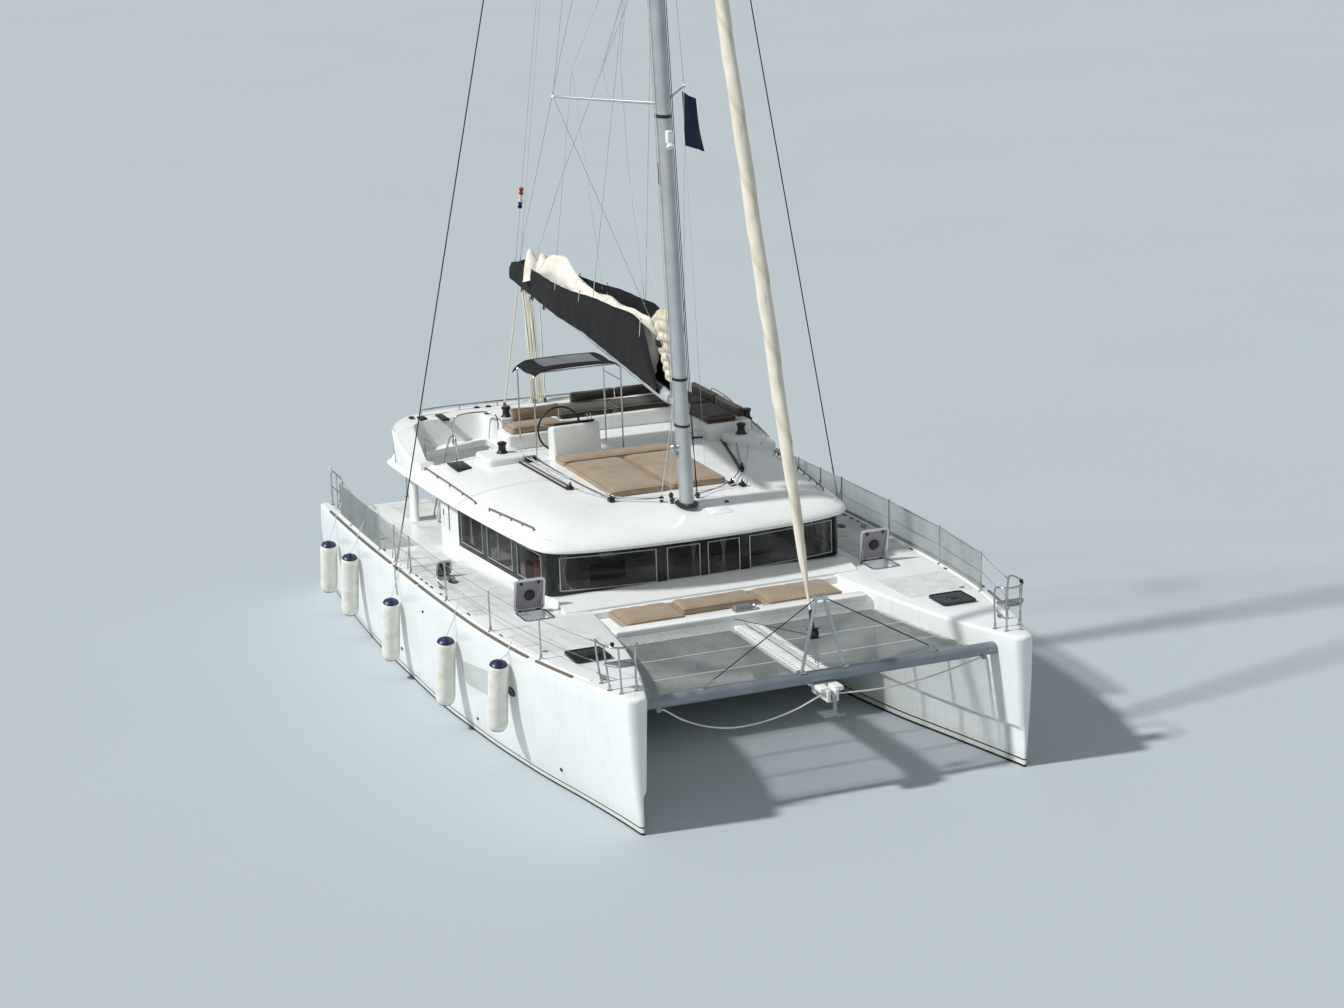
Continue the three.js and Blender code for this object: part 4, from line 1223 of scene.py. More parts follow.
@dataclass(frozen=True)
class Hatch:
    """A deck hatch of the port hull, hinged at its aft edge.

    Attributes:
        name: its CAD node without the side.
        hinge: the hinge's x.
        inboard: its inboard y.
        length: its length ahead of the hinge.
        width: its width outboard.
        opened: how far it stands open, in degrees.
        port: whether the port hull has one too.
        rim: the width of the rim round the opening.
    """

    name: str
    hinge: float
    inboard: float
    length: float
    width: float
    opened: float
    port: bool
    rim: float = 0.035

    def rim_top(self) -> float:
        """The height of its rim."""
        return deck_line(self.hinge + self.length) + 0.022

    def well(self) -> tuple[Point, Point]:
        """The corners of the hole under it."""
        top = self.rim_top()
        return (
            (self.hinge + self.rim, self.inboard + self.rim, top - 0.42),
            (self.hinge + self.length - self.rim, self.inboard + self.width - self.rim, top + 0.1),
        )


def deck_line(x: float) -> float:
    """The CAD deck's height at x, on straight lines between the table's rows."""
    for (x0, *_, z0), (x1, *_, z1) in zip(HULL_TABLE, HULL_TABLE[1:]):
        if x0 <= x <= x1:
            return z0 + (z1 - z0) * (x - x0) / (x1 - x0)
    return HULL_TABLE[-1][DECK_TOP]


HATCHES = (
    Hatch("bow_hatch", 4.59, 2.63, 0.54, 0.56, 0.0, True),
    Hatch("deck_hatch", 2.235, 2.625, 0.52, 0.49, 78.0, True),
    Hatch("small_hatch", -0.33, 3.26, 0.26, 0.26, 72.0, False),
)


def cad_copy(node: str, finish: Finish, rounding: float, steps: int = 2, angle: float = 30.0) -> Form:
    """A copy of a CAD node whose edges are rounded.

    Args:
        node: the CAD node.
        finish: its finish.
        rounding: the radius of its edges.
        steps: the steps of each rounded edge.
        angle: the angle past which an edge is rounded.

    Returns:
        A form with the rounded copy.
    """
    part = bmesh.new()
    part.from_mesh(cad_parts[node].data)
    bmesh.ops.remove_doubles(part, verts=part.verts, dist=1e-5)
    bmesh.ops.dissolve_limit(part, angle_limit=math.radians(1.5), verts=part.verts, edges=part.edges)
    Form.soften(part, rounding, steps, angle)
    form = Form()
    form.join(part, finish, solid=False)
    return form


def cleat(form: Form, x: float, y: float, z: float, length: float = 0.26, turn: float = 0.0) -> None:
    """Adds a mooring cleat: two posts under a horned bar."""
    place = Matrix.Translation((x, y, z)) @ Matrix.Rotation(math.radians(turn), 4, "Z")
    half = length / 2
    for along in (-0.3 * half, 0.3 * half):
        foot = place @ Vector((along * 1.3, 0, 0))
        head = place @ Vector((along, 0, 0.05))
        form.tube([foot, head], 0.012, STAINLESS, 10, radii=lambda t: 0.019 - 0.009 * t)
    bar = [place @ Vector((u * half, 0, 0.052 + 0.016 * u * u)) for u in spread(-1, 1, 13)]
    form.tube(bar, 0.013, STAINLESS, 10, radii=lambda t: 0.004 + 0.011 * math.sin(math.pi * t) ** 0.5)
    form.box((-0.34 * half, -0.02, -0.002), (0.34 * half, 0.02, 0.006), STAINLESS, 0.002, 1, place)


def rounded(outline: Sequence[tuple[float, float]], radius: float) -> list[tuple[float, float]]:
    """Rounds an outline's sharp corners."""
    result: list[tuple[float, float]] = []
    count = len(outline)
    for i, here in enumerate(outline):
        point = Vector(here)
        back = Vector(outline[i - 1]) - point
        ahead = Vector(outline[(i + 1) % count]) - point
        turn = math.pi - back.angle(ahead)
        if turn < math.radians(25):
            result.append((point.x, point.y))
            continue
        reach = min(radius, back.length * 0.45, ahead.length * 0.45)
        start, end = point + back.normalized() * reach, point + ahead.normalized() * reach
        for t in spread(0, 1, 5):
            bend = start * (1 - t) ** 2 + point * 2 * t * (1 - t) + end * t * t
            result.append((bend.x, bend.y))
    return result


@dataclass
class DeckFittings:
    """What is fixed to the hulls: toe rails, non-skid, windows, outlets, cleats and tread pads."""

    rail_spans: tuple[tuple[float, float], ...] = (
        (-5.45, -1.55), (-1.38, -0.15), (-0.05, 4.42), (4.66, 5.62)
    )
    rail_inset: float = 0.040
    rail_width: float = 0.042
    rail_height: float = 0.020
    panels: tuple[tuple[float, float, float], ...] = (
        (-5.35, -4.05, 2.25), (-3.99, -2.42, 2.25), (-2.12, -0.60, 2.95), (-0.54, 0.72, 2.84),
        (0.78, 2.02, 2.74), (3.30, 4.42, 2.40),
    )
    panel_edge: float = 0.215
    window: tuple[tuple[float, float], ...] = ((1.86, 1.19), (3.15, 1.36), (3.15, 0.93), (1.90, 0.83))
    cleats: tuple[float, ...] = (5.95, 0.30, -5.75)
    # Columns: x, height, half length, half height
    outlet_table: tuple[Row, ...] = (
        (3.82, 1.25, 0.13, 0.075), (1.56, 1.23, 0.035, 0.03), (0.2, 1.5, 0.03, 0.02),
        (-1.4, 0.42, 0.03, 0.03),
        (2.1, 0.3, 0.025, 0.025), (4.9, 0.35, 0.03, 0.03), (-4.6, 0.5, 0.04, 0.04),
    )

    def build(self) -> None:
        """Makes the fittings of both sides."""
        for side, sign in SIDES:
            form = Form()
            self.rails(form)
            self.cleat_row(form)
            self.scuppers(form)
            self.finished(form, f"deck_fittings_{side}", sign, Shade.CRISP)
            pads = Form()
            self.non_skid(pads)
            self.tread_pads(pads)
            if sign < 0:
                pads.mirror()
            pads.piece(
                f"non_skid_{side}", shade=Shade.CRISP, cuts=[self.hatch_clearance()] if sign < 0 else []
            )
            glass = Form()
            self.hull_window(glass)
            self.outlets(glass)
            self.finished(glass, f"hull_window_{side}", sign, Shade.CRISP)

    @staticmethod
    def finished(form: Form, name: str, sign: int, shade: Shade) -> None:
        """Turns a port form into a piece of its side."""
        if sign < 0:
            form.mirror()
        form.piece(name, shade=shade)

    @staticmethod
    def hatch_clearance() -> Form:
        """The block that clears the starboard non-skid round the small hatch."""
        form = Form()
        low, high = HATCHES[2].well()
        form.box(
            (low[0] - 0.06, -high[1] - 0.06, low[2]), (high[0] + 0.06, 0.06 - low[1], high[2]), GELCOAT,
            0.02, 2
        )
        return form

    def rails(self, form: Form) -> None:
        """The brown-grey toe rail, in lengths with gaps for the fairleads."""
        for aft, fore in self.rail_spans:
            count = max(int((fore - aft) / 0.25), 3)
            path = [
                Vector((x, deck_edge(x) - self.rail_inset, deck_height(x) + 0.004))
                for x in spread(aft, fore, count)
            ]
            half, high = self.rail_width / 2, self.rail_height
            section = [(-half, -0.01), (half, -0.01), (half, high - 0.006), (half - 0.007, high),
                       (0.007 - half, high), (-half, high - 0.006)]
            form.sweep(path, section, TOE_RAIL)
        inner = [Vector((x, deck_edge(x) - 0.145, deck_height(x) + 0.006)) for x in spread(-5.4, 5.9, 46)]
        form.sweep(inner, [(-0.018, -0.012), (0.018, -0.012), (0.014, 0.012), (-0.014, 0.012)], GELCOAT)

    def cleat_row(self, form: Form) -> None:
        """The cleats at the bow, amidships and the stern, each on its pad."""
        for x in self.cleats:
            y, z = deck_edge(x) - 0.29, deck_height(x) + 0.012
            turn = math.degrees(math.atan2(deck_edge(x + 0.1) - deck_edge(x - 0.1), 0.2))
            cleat(form, x, y, z, 0.30, turn)
        x = 0.05
        form.lathe([(0, 0.0), (0.13, 0.0), (0.13, 0.012), (0.115, 0.018), (0, 0.018)], BLACK_EDGE,
                   Matrix.Translation((x, 3.35, deck_height(x) + 0.005)) @ Matrix.Diagonal((1, 0.62, 1, 1)))
        for fore in (4.3, -3.1):
            form.lathe([(0, 0), (0.045, 0), (0.045, 0.008), (0.03, 0.012), (0, 0.012)], STAINLESS,
                       Matrix.Translation((fore, deck_edge(fore) - 0.36, deck_height(fore) + 0.01)))

    def scuppers(self, form: Form) -> None:
        """The short drain slots beside the rail, drawn as black blocks: painted shade for the dark inside
        each slot.
        """
        for x in (-0.62, -0.36, -0.10, 0.16, 0.62, 1.9, 3.2, -2.4, -3.6, -4.6):
            y, z = deck_edge(x) - 0.185, deck_height(x) + 0.012
            form.box(
                (x - 0.05, y - 0.014, z - 0.012), (x + 0.05, y + 0.014, z + 0.004), BLACK_FITTING, 0.004, 1
            )

    def non_skid(self, form: Form) -> None:
        """The non-skid panels of the side deck, with gelcoat margins between them."""
        for aft, fore, inner in self.panels:
            places = spread(aft, fore, 9)
            outer = [(x, deck_edge(x) - self.panel_edge) for x in places]
            inside = [(x, max(inner, eased(HULL_TABLE, x, DECK_IN) + 0.12)) for x in places]
            outline = rounded([*outer, *reversed(inside)], 0.07)
            form.plate(outline, -0.006, 0.006, DECK_NON_SKID, 0.003, 1, shape=self.on_deck)

    def tread_pads(self, form: Form) -> None:
        """The non-skid pads on the boarding steps."""
        for number, (x, height) in enumerate(((-5.5, 1.3), (-5.85, 1.0), (-6.2, 0.7), (-6.56, 0.42))):
            fore = x - 0.05
            aft = (-5.85, -6.2, -6.5, -6.92)[number] + 0.04
            form.box((aft, 2.28, height - 0.004), (fore, 3.52, height + 0.008), DECK_NON_SKID, 0.004, 1)

    @staticmethod
    def on_deck(corner: Vector) -> Vector:
        """Lays a point of a flat panel on the cambered deck."""
        x, y = corner.x, corner.y
        inn, out = eased(HULL_TABLE, x, DECK_IN), deck_edge(x)
        camber = 0.012 * (1 - (2 * (y - inn) / (out - inn) - 1) ** 2)
        return Vector((x, y, deck_height(x) + camber + corner.z))

    def hull_window(self, form: Form) -> None:
        """The long hull window, flush with the topside; its pale acrylic is painted sky reflection."""
        rows, columns = 13, 22
        bottom, top = (self.window[3], self.window[2]), (self.window[0], self.window[1])

        def place(u: float, v: float, out: float) -> Vector:
            """A point of the window from its shares along and up."""
            low = Vector(bottom[0]).lerp(Vector(bottom[1]), u)
            high = Vector(top[0]).lerp(Vector(top[1]), u)
            x, z = low.lerp(high, v)
            return Vector((x, self.topside(x, z) + out, z))

        def squeezed(t: float) -> float:
            """Spreads a share so that its ends are denser."""
            return 0.5 - 0.5 * math.cos(math.pi * t)

        def pane(column: int, row: int) -> Vector:
            """A point of the pane, whose corners are rounded by pulling them in."""
            u, v = squeezed(column / (columns - 1)), squeezed(row / (rows - 1))
            a, b = 2 * u - 1, 2 * v - 1
            pull = 1 - 0.055 * (a * a * b * b) ** 2
            edge = column in (0, columns - 1) or row in (0, rows - 1)
            return place(0.5 + a * pull / 2, 0.5 + b * pull / 2, -0.004 if edge else 0.005)

        form.skin(columns, rows, pane, SKY_PAINTED_HULL_ACRYLIC, wrap=False, ends=False, solid=False)
        rim = []
        for t in spread(0, 1, 65)[:-1]:
            angle = 2 * math.pi * t
            cosine, sine = math.cos(angle), math.sin(angle)
            a = math.copysign(abs(cosine) ** 0.18, cosine)
            b = math.copysign(abs(sine) ** 0.18, sine)
            rim.append(place(0.5 + a * 0.497, 0.5 + b * 0.497, 0.002))
        form.tube(rim, 0.004, SKY_PAINTED_HULL_ACRYLIC, 6, closed=True)

    def outlets(self, form: Form) -> None:
        """The dark oval outlet near the bow and the small drains along the topside."""
        for x, z, long, high in self.outlet_table:
            y = self.topside(x, z)
            lean = math.atan2(self.topside(x, z + 0.1) - self.topside(x, z - 0.1), 0.2)
            turn = math.atan2(self.topside(x + 0.1, z) - self.topside(x - 0.1, z), 0.2)
            tilt = Matrix.Rotation(-math.pi / 2 - lean, 4, "X")
            place = Matrix.Translation((x, y, z)) @ Matrix.Rotation(turn, 4, "Z") @ tilt
            ring = [(0, 0.004), (0.55, 0.004), (0.7, 0.014), (0.9, 0.014), (1.0, 0.0), (0.95, -0.012)]
            form.lathe(ring, BLACK_FITTING, place @ Matrix.Diagonal((long, high, 1, 1)))

    @staticmethod
    def topside(x: float, z: float) -> float:
        """The topside's y at a place along the hull and a height."""
        top = deck_height(x) - 0.045
        out, water = deck_edge(x), eased(HULL_TABLE, x, WATER_OUT)
        return Hulls.side_at(z, top + 0.045, out, water + (out - water) * 0.7, water)


# Cabin


@dataclass
class Saloon:
    """The cabin: its walls with their window openings, the glazing, the frames, curtains and furniture."""

    aft: float = -2.2
    thickness: float = 0.05
    low: float = 1.10
    high: float = 2.87
    glass_low: float = 1.985
    glass_high: float = 2.70
    pane_low: float = 2.045
    pane_high: float = 2.62
    glass_aft: float = -1.49
    front_panes: tuple[tuple[float, float], ...] = (
        (-2.29, -0.76), (-0.62, -0.05), (0.05, 0.62), (0.76, 2.29)
    )
    side_panes: tuple[tuple[float, float], ...] = ((0.80, 1.72), (-0.34, 0.64), (-1.38, -0.50))
    # Columns: x, y, half width; those across the front come first
    curtains: tuple[Point, ...] = (
        (1.925, -2.19, 0.095), (1.925, 2.19, 0.095), (2.155, 0.36, 0.06), (2.155, -0.14, 0.06),
        (-0.25, 2.49, 0.12),
        (-1.30, 2.58, 0.12), (-0.25, -2.49, 0.12), (-1.30, -2.58, 0.12),
    )

    def build(self) -> None:
        """Makes the cabin."""
        walls = Form()
        self.band(walls, -self.thickness, 0.0, self.low, self.high, GELCOAT, self.aft)
        walls.piece(
            "cabin_walls", ["saloon_walls"], slot="gelcoat", shade=Shade.CRISP, cuts=self.openings(0.02)
        )
        edge = Form()
        self.band(edge, 0.001, 0.010, self.glass_low, self.glass_high, BLACK_EDGE, self.glass_aft)
        edge.piece("glazing_edge", slot="glass", shade=Shade.CRISP, cuts=self.openings(0.0))
        panes = Form()
        self.band(
            panes, -0.008, 0.0005, self.glass_low + 0.02, self.glass_high - 0.02, SMOKED_ACRYLIC,
            self.glass_aft
        )
        panes.piece("glazing", ["saloon_glazing"], slot="glass", shade=Shade.CRISP)
        self.frames()
        self.interior()
        self.aft_end()
        self.side_details()

    def outline(self, out: float, aft: float) -> list[Vector]:
        """The wall's line in plan, port to starboard round the front.

        Args:
            out: how far outside the wall's face it runs.
            aft: the x where it starts.

        Returns:
            The line's points.
        """
        side = [(x, 2.79 - (x + 2.2) * 0.0868) for x in spread(aft, 1.72, 14)]
        corner = [(1.80, 2.443), (1.87, 2.425), (1.925, 2.375), (1.955, 2.30), (1.975, 2.22)]
        front = [(2.23 - 0.0469 * y * y, y) for y in spread(2.1, 0, 12)]
        half = [*side, *corner, *front]
        line = [Vector((x, y, 0)) for x, y in [*half, *[(x, -y) for x, y in reversed(half[:-1])]]]
        moved = []
        for i, point in enumerate(line):
            before, after = line[max(i - 1, 0)], line[min(i + 1, len(line) - 1)]
            ahead = (after - before).normalized()
            moved.append(point + Vector((-ahead.y, ahead.x, 0)) * out)
        return moved

    def band(
        self, form: Form, inner: float, outer: float, low: float, high: float, finish: Finish, aft: float
    ) -> None:
        """Adds an upright band that follows the wall."""
        inside, outside = self.outline(inner, aft), self.outline(outer, aft)

        def point(column: int, row: int) -> Vector:
            """A corner of the band's section."""
            line = outside if column in (0, 1) else inside
            return line[row] + Vector((0, 0, low if column in (0, 3) else high))

        form.skin(4, len(inside), point, finish)

    def openings(self, grow: float) -> list[Form]:
        """The blocks that cut the window openings."""
        cuts = []
        low, high = self.pane_low - grow, self.pane_high + grow
        for left, right in self.front_panes:
            form = Form()
            form.box((1.5, left - grow, low), (2.6, right + grow, high), BLACK_EDGE, 0.05, 3)
            cuts.append(form)
        for aft, fore in self.side_panes:
            for sign in (1, -1):
                form = Form()
                y = sorted((2.1 * sign, 3.1 * sign))
                form.box((aft - grow, y[0], low), (fore + grow, y[1], high), BLACK_EDGE, 0.05, 3)
                cuts.append(form)
        return cuts

    def wall_point(self, x: float | None, y: float | None, out: float, sign: int = 1) -> Vector:
        """A point on the wall's face, from x on a side wall or from y on the front."""
        if y is None:
            return Vector((x, sign * (2.79 - (x + 2.2) * 0.0868 + out), 0))
        return Vector((2.23 - 0.0469 * y * y + out, y, 0))

    def frames(self) -> None:
        """The silver frames round the panes."""
        form = Form()
        low, high = self.pane_low + 0.03, self.pane_high - 0.03
        for left, right in self.front_panes:
            base = [self.wall_point(None, y, 0.012) for y in spread(left + 0.02, right - 0.02, 8)]
            self.frame_round(form, base, low, high)
        for aft, fore in self.side_panes:
            for sign in (1, -1):
                base = [self.wall_point(x, None, 0.012, sign) for x in (aft + 0.02, fore - 0.02)]
                self.frame_round(form, base, low, high)
        form.piece("window_frames", shade=Shade.CRISP)

    @staticmethod
    def frame_round(form: Form, base: Sequence[Vector], low: float, high: float) -> None:
        """Adds a rectangular frame over a base line."""
        rise = Vector((0, 0, 1))
        bottom = [p + rise * low for p in base]
        top = [p + rise * high for p in base]
        for path in (bottom, top):
            form.tube(path, 0.009, SPAR, 6)
        for end in (0, -1):
            form.tube([bottom[end], top[end]], 0.009, SPAR, 6)

    def interior(self) -> None:
        """What shows dimly through the glass: curtains, dashboard, settee, table and galley."""
        for number, (x, y, half) in enumerate(self.curtains):
            along = Vector((0, 1, 0)) if x > 1 else Vector((1, 0, 0))
            cloth = Form()
            self.curtain(cloth, Vector((x, y, 0)), along, half)
            made = cloth.piece(f"cabin_curtain_{number + 1}", shade=Shade.SOFT)
        fixed = Form()
        fixed.box((1.35, -2.05, 1.085), (1.98, 2.05, 1.93), JOINERY, 0.02, 2)
        fixed.box((1.25, -2.10, 1.93), (2.05, 2.10, 1.965), GELCOAT, 0.012, 2)
        fixed.box((-2.05, -2.55, 1.085), (0.70, -1.85, 1.90), JOINERY, 0.02, 2)
        fixed.box((-2.08, -2.60, 1.90), (0.74, -1.80, 1.94), GELCOAT, 0.012, 2)
        fixed.box((-0.35, 1.75, 1.085), (1.10, 2.35, 1.46), JOINERY, 0.02, 2)
        fixed.box((0.60, 0.55, 1.085), (1.10, 1.75, 1.46), JOINERY, 0.02, 2)
        fixed.box((-0.55, 0.80, 1.74), (0.45, 1.60, 1.775), JOINERY, 0.012, 2)
        fixed.lathe([(0, 1.08), (0.14, 1.08), (0.13, 1.11), (0.04, 1.14), (0.04, 1.74), (0, 1.74)], STAINLESS,
                    Matrix.Translation((-0.05, 1.2, 0)))
        fixed.box((1.30, -1.55, 1.965), (1.36, -0.95, 2.22), BLACK_FITTING, 0.012, 2)
        fixed.piece("cabin_furniture", shade=Shade.CRISP)

    @staticmethod
    def curtain(form: Form, foot: Vector, along: Vector, half: float) -> None:
        """Adds a gathered curtain that is tied in at its middle."""
        across = along.cross(Vector((0, 0, 1)))

        def point(column: int, row: int) -> Vector:
            """A point of the curtain's folds."""
            u, v = 2 * column / 24 - 1, row / 14
            pinch = 0.28 + 0.72 * abs(2 * v - 1) ** 1.3
            fold = 0.014 * math.sin(column * 1.9) * pinch
            return foot + along * (u * half * pinch) + across * fold + Vector((0, 0, 2.03 + 0.6 * v))

        form.skin(25, 15, point, CURTAIN, wrap=False, ends=False, solid=False)

    def aft_end(self) -> None:
        """The aft bulkhead with its windows, and the sliding door in its rail."""
        form = cad_copy("aft_bulkhead", GELCOAT, 0.012, 2)
        form.piece("cabin_aft_bulkhead", ["aft_bulkhead"], slot="gelcoat", shade=Shade.CRISP)
        glass = Form()
        for left, right, low, high in ((-2.0, -0.3, 1.65, 2.45), (1.56, 2.30, 1.95, 2.45)):
            glass.box(
                (-2.243, left + 0.004, low + 0.004), (-2.233, right - 0.004, high - 0.004), SMOKED_ACRYLIC,
                0.004, 1
            )
            self.square_frame(
                glass, -2.262, -2.244, left - 0.03, right + 0.03, low - 0.03, high + 0.03, 0.045
            )
        glass.piece("aft_windows", shade=Shade.CRISP)
        door = Form()
        self.square_frame(door, -2.310, -2.264, -0.12, 1.42, 1.088, 2.588, 0.085)
        door.box((-2.292, -0.05, 1.15), (-2.282, 1.35, 2.53), SMOKED_ACRYLIC, 0.003, 1)
        door.box((-2.296, 0.63, 1.16), (-2.272, 0.67, 2.52), BOOM_ALUMINIUM, 0.004, 1)
        door.tube(smooth_path(
            [(-2.31, -0.075, 1.75), (-2.318, -0.075, 1.77), (-2.318, -0.075, 2.03), (-2.31, -0.075, 2.05)], 4
        ),
                  0.006, STAINLESS, 8)
        door.piece(
            "cabin_sliding_door", ["saloon_door"], body="cabin_door", slot="aluminium", shade=Shade.CRISP
        )

    @staticmethod
    def square_frame(
        form: Form, aft: float, fore: float, left: float, right: float, low: float, high: float, width: float
    ) -> None:
        """Adds an upright rectangular frame with mitred corners."""
        corners = [(left, low), (right, low), (right, high), (left, high)]
        inset = [(left + width, low + width), (right - width, low + width), (right - width, high - width),
                 (left + width, high - width)]
        rows = [(corners, aft), (corners, fore), (inset, fore), (inset, aft)]

        def point(column: int, row: int) -> Vector:
            """A corner of the frame's section at one of its mitres."""
            outline, x = rows[column]
            y, z = outline[row % 4]
            return Vector((x, y, z))

        part_form = Form()
        part_form.skin(4, 5, point, BOOM_ALUMINIUM, ends=False)
        mesh = bmesh.new()
        kept = bpy.data.meshes.new("frame")
        part_form.bm.to_mesh(kept)
        part_form.bm.free()
        mesh.from_mesh(kept)
        bpy.data.meshes.remove(kept)
        bmesh.ops.remove_doubles(mesh, verts=mesh.verts, dist=1e-6)
        Form.soften(mesh, 0.004, 2, 40)
        form.join(mesh, BOOM_ALUMINIUM)

    def side_details(self) -> None:
        """The locker lids and vents on the white ends of the side walls."""
        form = Form()
        low, high = 2.16, 2.60
        for sign in (1, -1):
            wall = sign * (2.79 - 0.0868 * 0.15)
            near, far = sorted((wall, wall + sign * 0.012))
            form.box((-2.15, near, low), (-1.86, far, high), GELCOAT, 0.006, 2)
            near, far = sorted((wall, wall + sign * 0.020))
            form.box((-2.10, near, low + 0.20), (-2.075, far, low + 0.30), BLACK_FITTING, 0.004, 1)
        form.piece("wall_lockers", shade=Shade.CRISP)


# Columns: x, half width, height of the edge
ROOF_EDGE = (
    (-4.68, 0.0, 2.79), (-4.65, 2.45, 2.79), (-4.56, 2.80, 2.787), (-4.40, 2.98, 2.784), (-4.10, 3.05, 2.78),
    (-1.90, 2.98, 2.77), (-0.20, 2.85, 2.76), (1.30, 2.68, 2.75), (1.80, 2.60, 2.745), (2.06, 2.47, 2.745),
    (2.23, 2.14, 2.745), (2.36, 1.50, 2.745), (2.43, 0.60, 2.745), (2.44, 0.0, 2.745),
)
# Columns: distance inside the edge, rise above it
ROOF_RISE = (
    (0.0, 0.0), (0.02, 0.030), (0.06, 0.062), (0.14, 0.108), (0.30, 0.168), (0.55, 0.232), (0.90, 0.285),
    (1.40, 0.313), (2.20, 0.320), (4.0, 0.320),
)


def half_outline(rows: Sequence[Row], steps: int) -> list[tuple[float, float]]:
    """A closed outline in plan from its port half."""
    half = smooth_path([(row[0], row[1], 0) for row in rows], steps)
    return [(p.x, p.y) for p in half] + [(p.x, -p.y) for p in reversed(half[1:-1])]


@dataclass
class Coachroof:
    """The roof shell over the cabin and cockpit, with the stairwell cut through it."""

    spine: tuple[float, float] = (-3.4, 1.1)
    thickness: float = 0.08
    shares: tuple[float, ...] = (
        0.0, 0.16, 0.32, 0.48, 0.60, 0.70, 0.78, 0.84, 0.885, 0.92, 0.945, 0.965, 0.98, 0.992, 1.0,
    )
    stairwell: tuple[Point, Point] = ((-3.76, -2.66, 2.5), (-2.86, -1.42, 3.6))

    def build(self) -> None:
        """Makes the roof."""
        edge = half_outline(ROOF_EDGE, 5)
        self.edge = [Vector((x, y, 0)) for x, y in edge]
        rows = [(share, 0.0) for share in self.shares]
        rows += [(1.0015, -0.028), (0.996, -0.052)]
        rows += [(share, -self.thickness) for share in reversed(self.shares[:-2])]
        form = Form()
        form.skin(
            len(edge), len(rows), lambda column, row: self.point(column, *rows[row]), GELCOAT, ends=False
        )
        well = Form()
        well.box(*self.stairwell, GELCOAT, 0.14, 4)
        form.piece("roof_shell", ["coachroof"], slot="gelcoat", shade=Shade.CRISP, cuts=[well])
        lip = Form()
        low, high = self.stairwell
        x0, y0, x1, y1 = low[0], low[1], high[0], high[1]
        ring = rounded([(x0, y0), (x1, y0), (x1, y1), (x0, y1)], 0.14)
        lip.sweep([Vector((x, y, self.height(x, y) - 0.002)) for x, y in ring],
                  [(-0.012, -0.085), (0.012, -0.085), (0.016, 0.012), (0.0, 0.022), (-0.016, 0.012)],
                  GELCOAT, closed=True)
        lip.piece("stairwell_lip", shade=Shade.MOULDED)

    def point(self, column: int, share: float, drop: float) -> Vector:
        """A point of the shell.

        Args:
            column: which point of the outline it belongs to.
            share: how far it is from the roof's spine to its edge.
            drop: how far it lies under the top surface.

        Returns:
            The point.
        """
        edge = self.edge[column]
        root = Vector((min(max(edge.x, self.spine[0]), self.spine[1]), 0, 0))
        spot = root.lerp(edge, share)
        height = self.height(spot.x, spot.y)
        if drop <= -self.thickness and share > 0.95:
            drop = -0.055
        return Vector((spot.x, spot.y, height + drop))

    def height(self, x: float, y: float) -> float:
        """The top surface's height."""
        spot = Vector((x, y, 0))
        nearest = min(self.gap(spot, a, b) for a, b in zip(self.edge, [*self.edge[1:], self.edge[0]]))
        edge = eased(tuple((row[0], row[2]) for row in ROOF_EDGE), x, 1)
        return edge + eased(ROOF_RISE, nearest, 1)

    @staticmethod
    def gap(spot: Vector, a: Vector, b: Vector) -> float:
        """The distance from a point to one length of the edge."""
        if max(a.x, b.x) < -4.45:
            return 9.0
        along = b - a
        share = min(max((spot - a).dot(along) / max(along.length_squared, 1e-9), 0), 1)
        return (spot - a - along * share).length


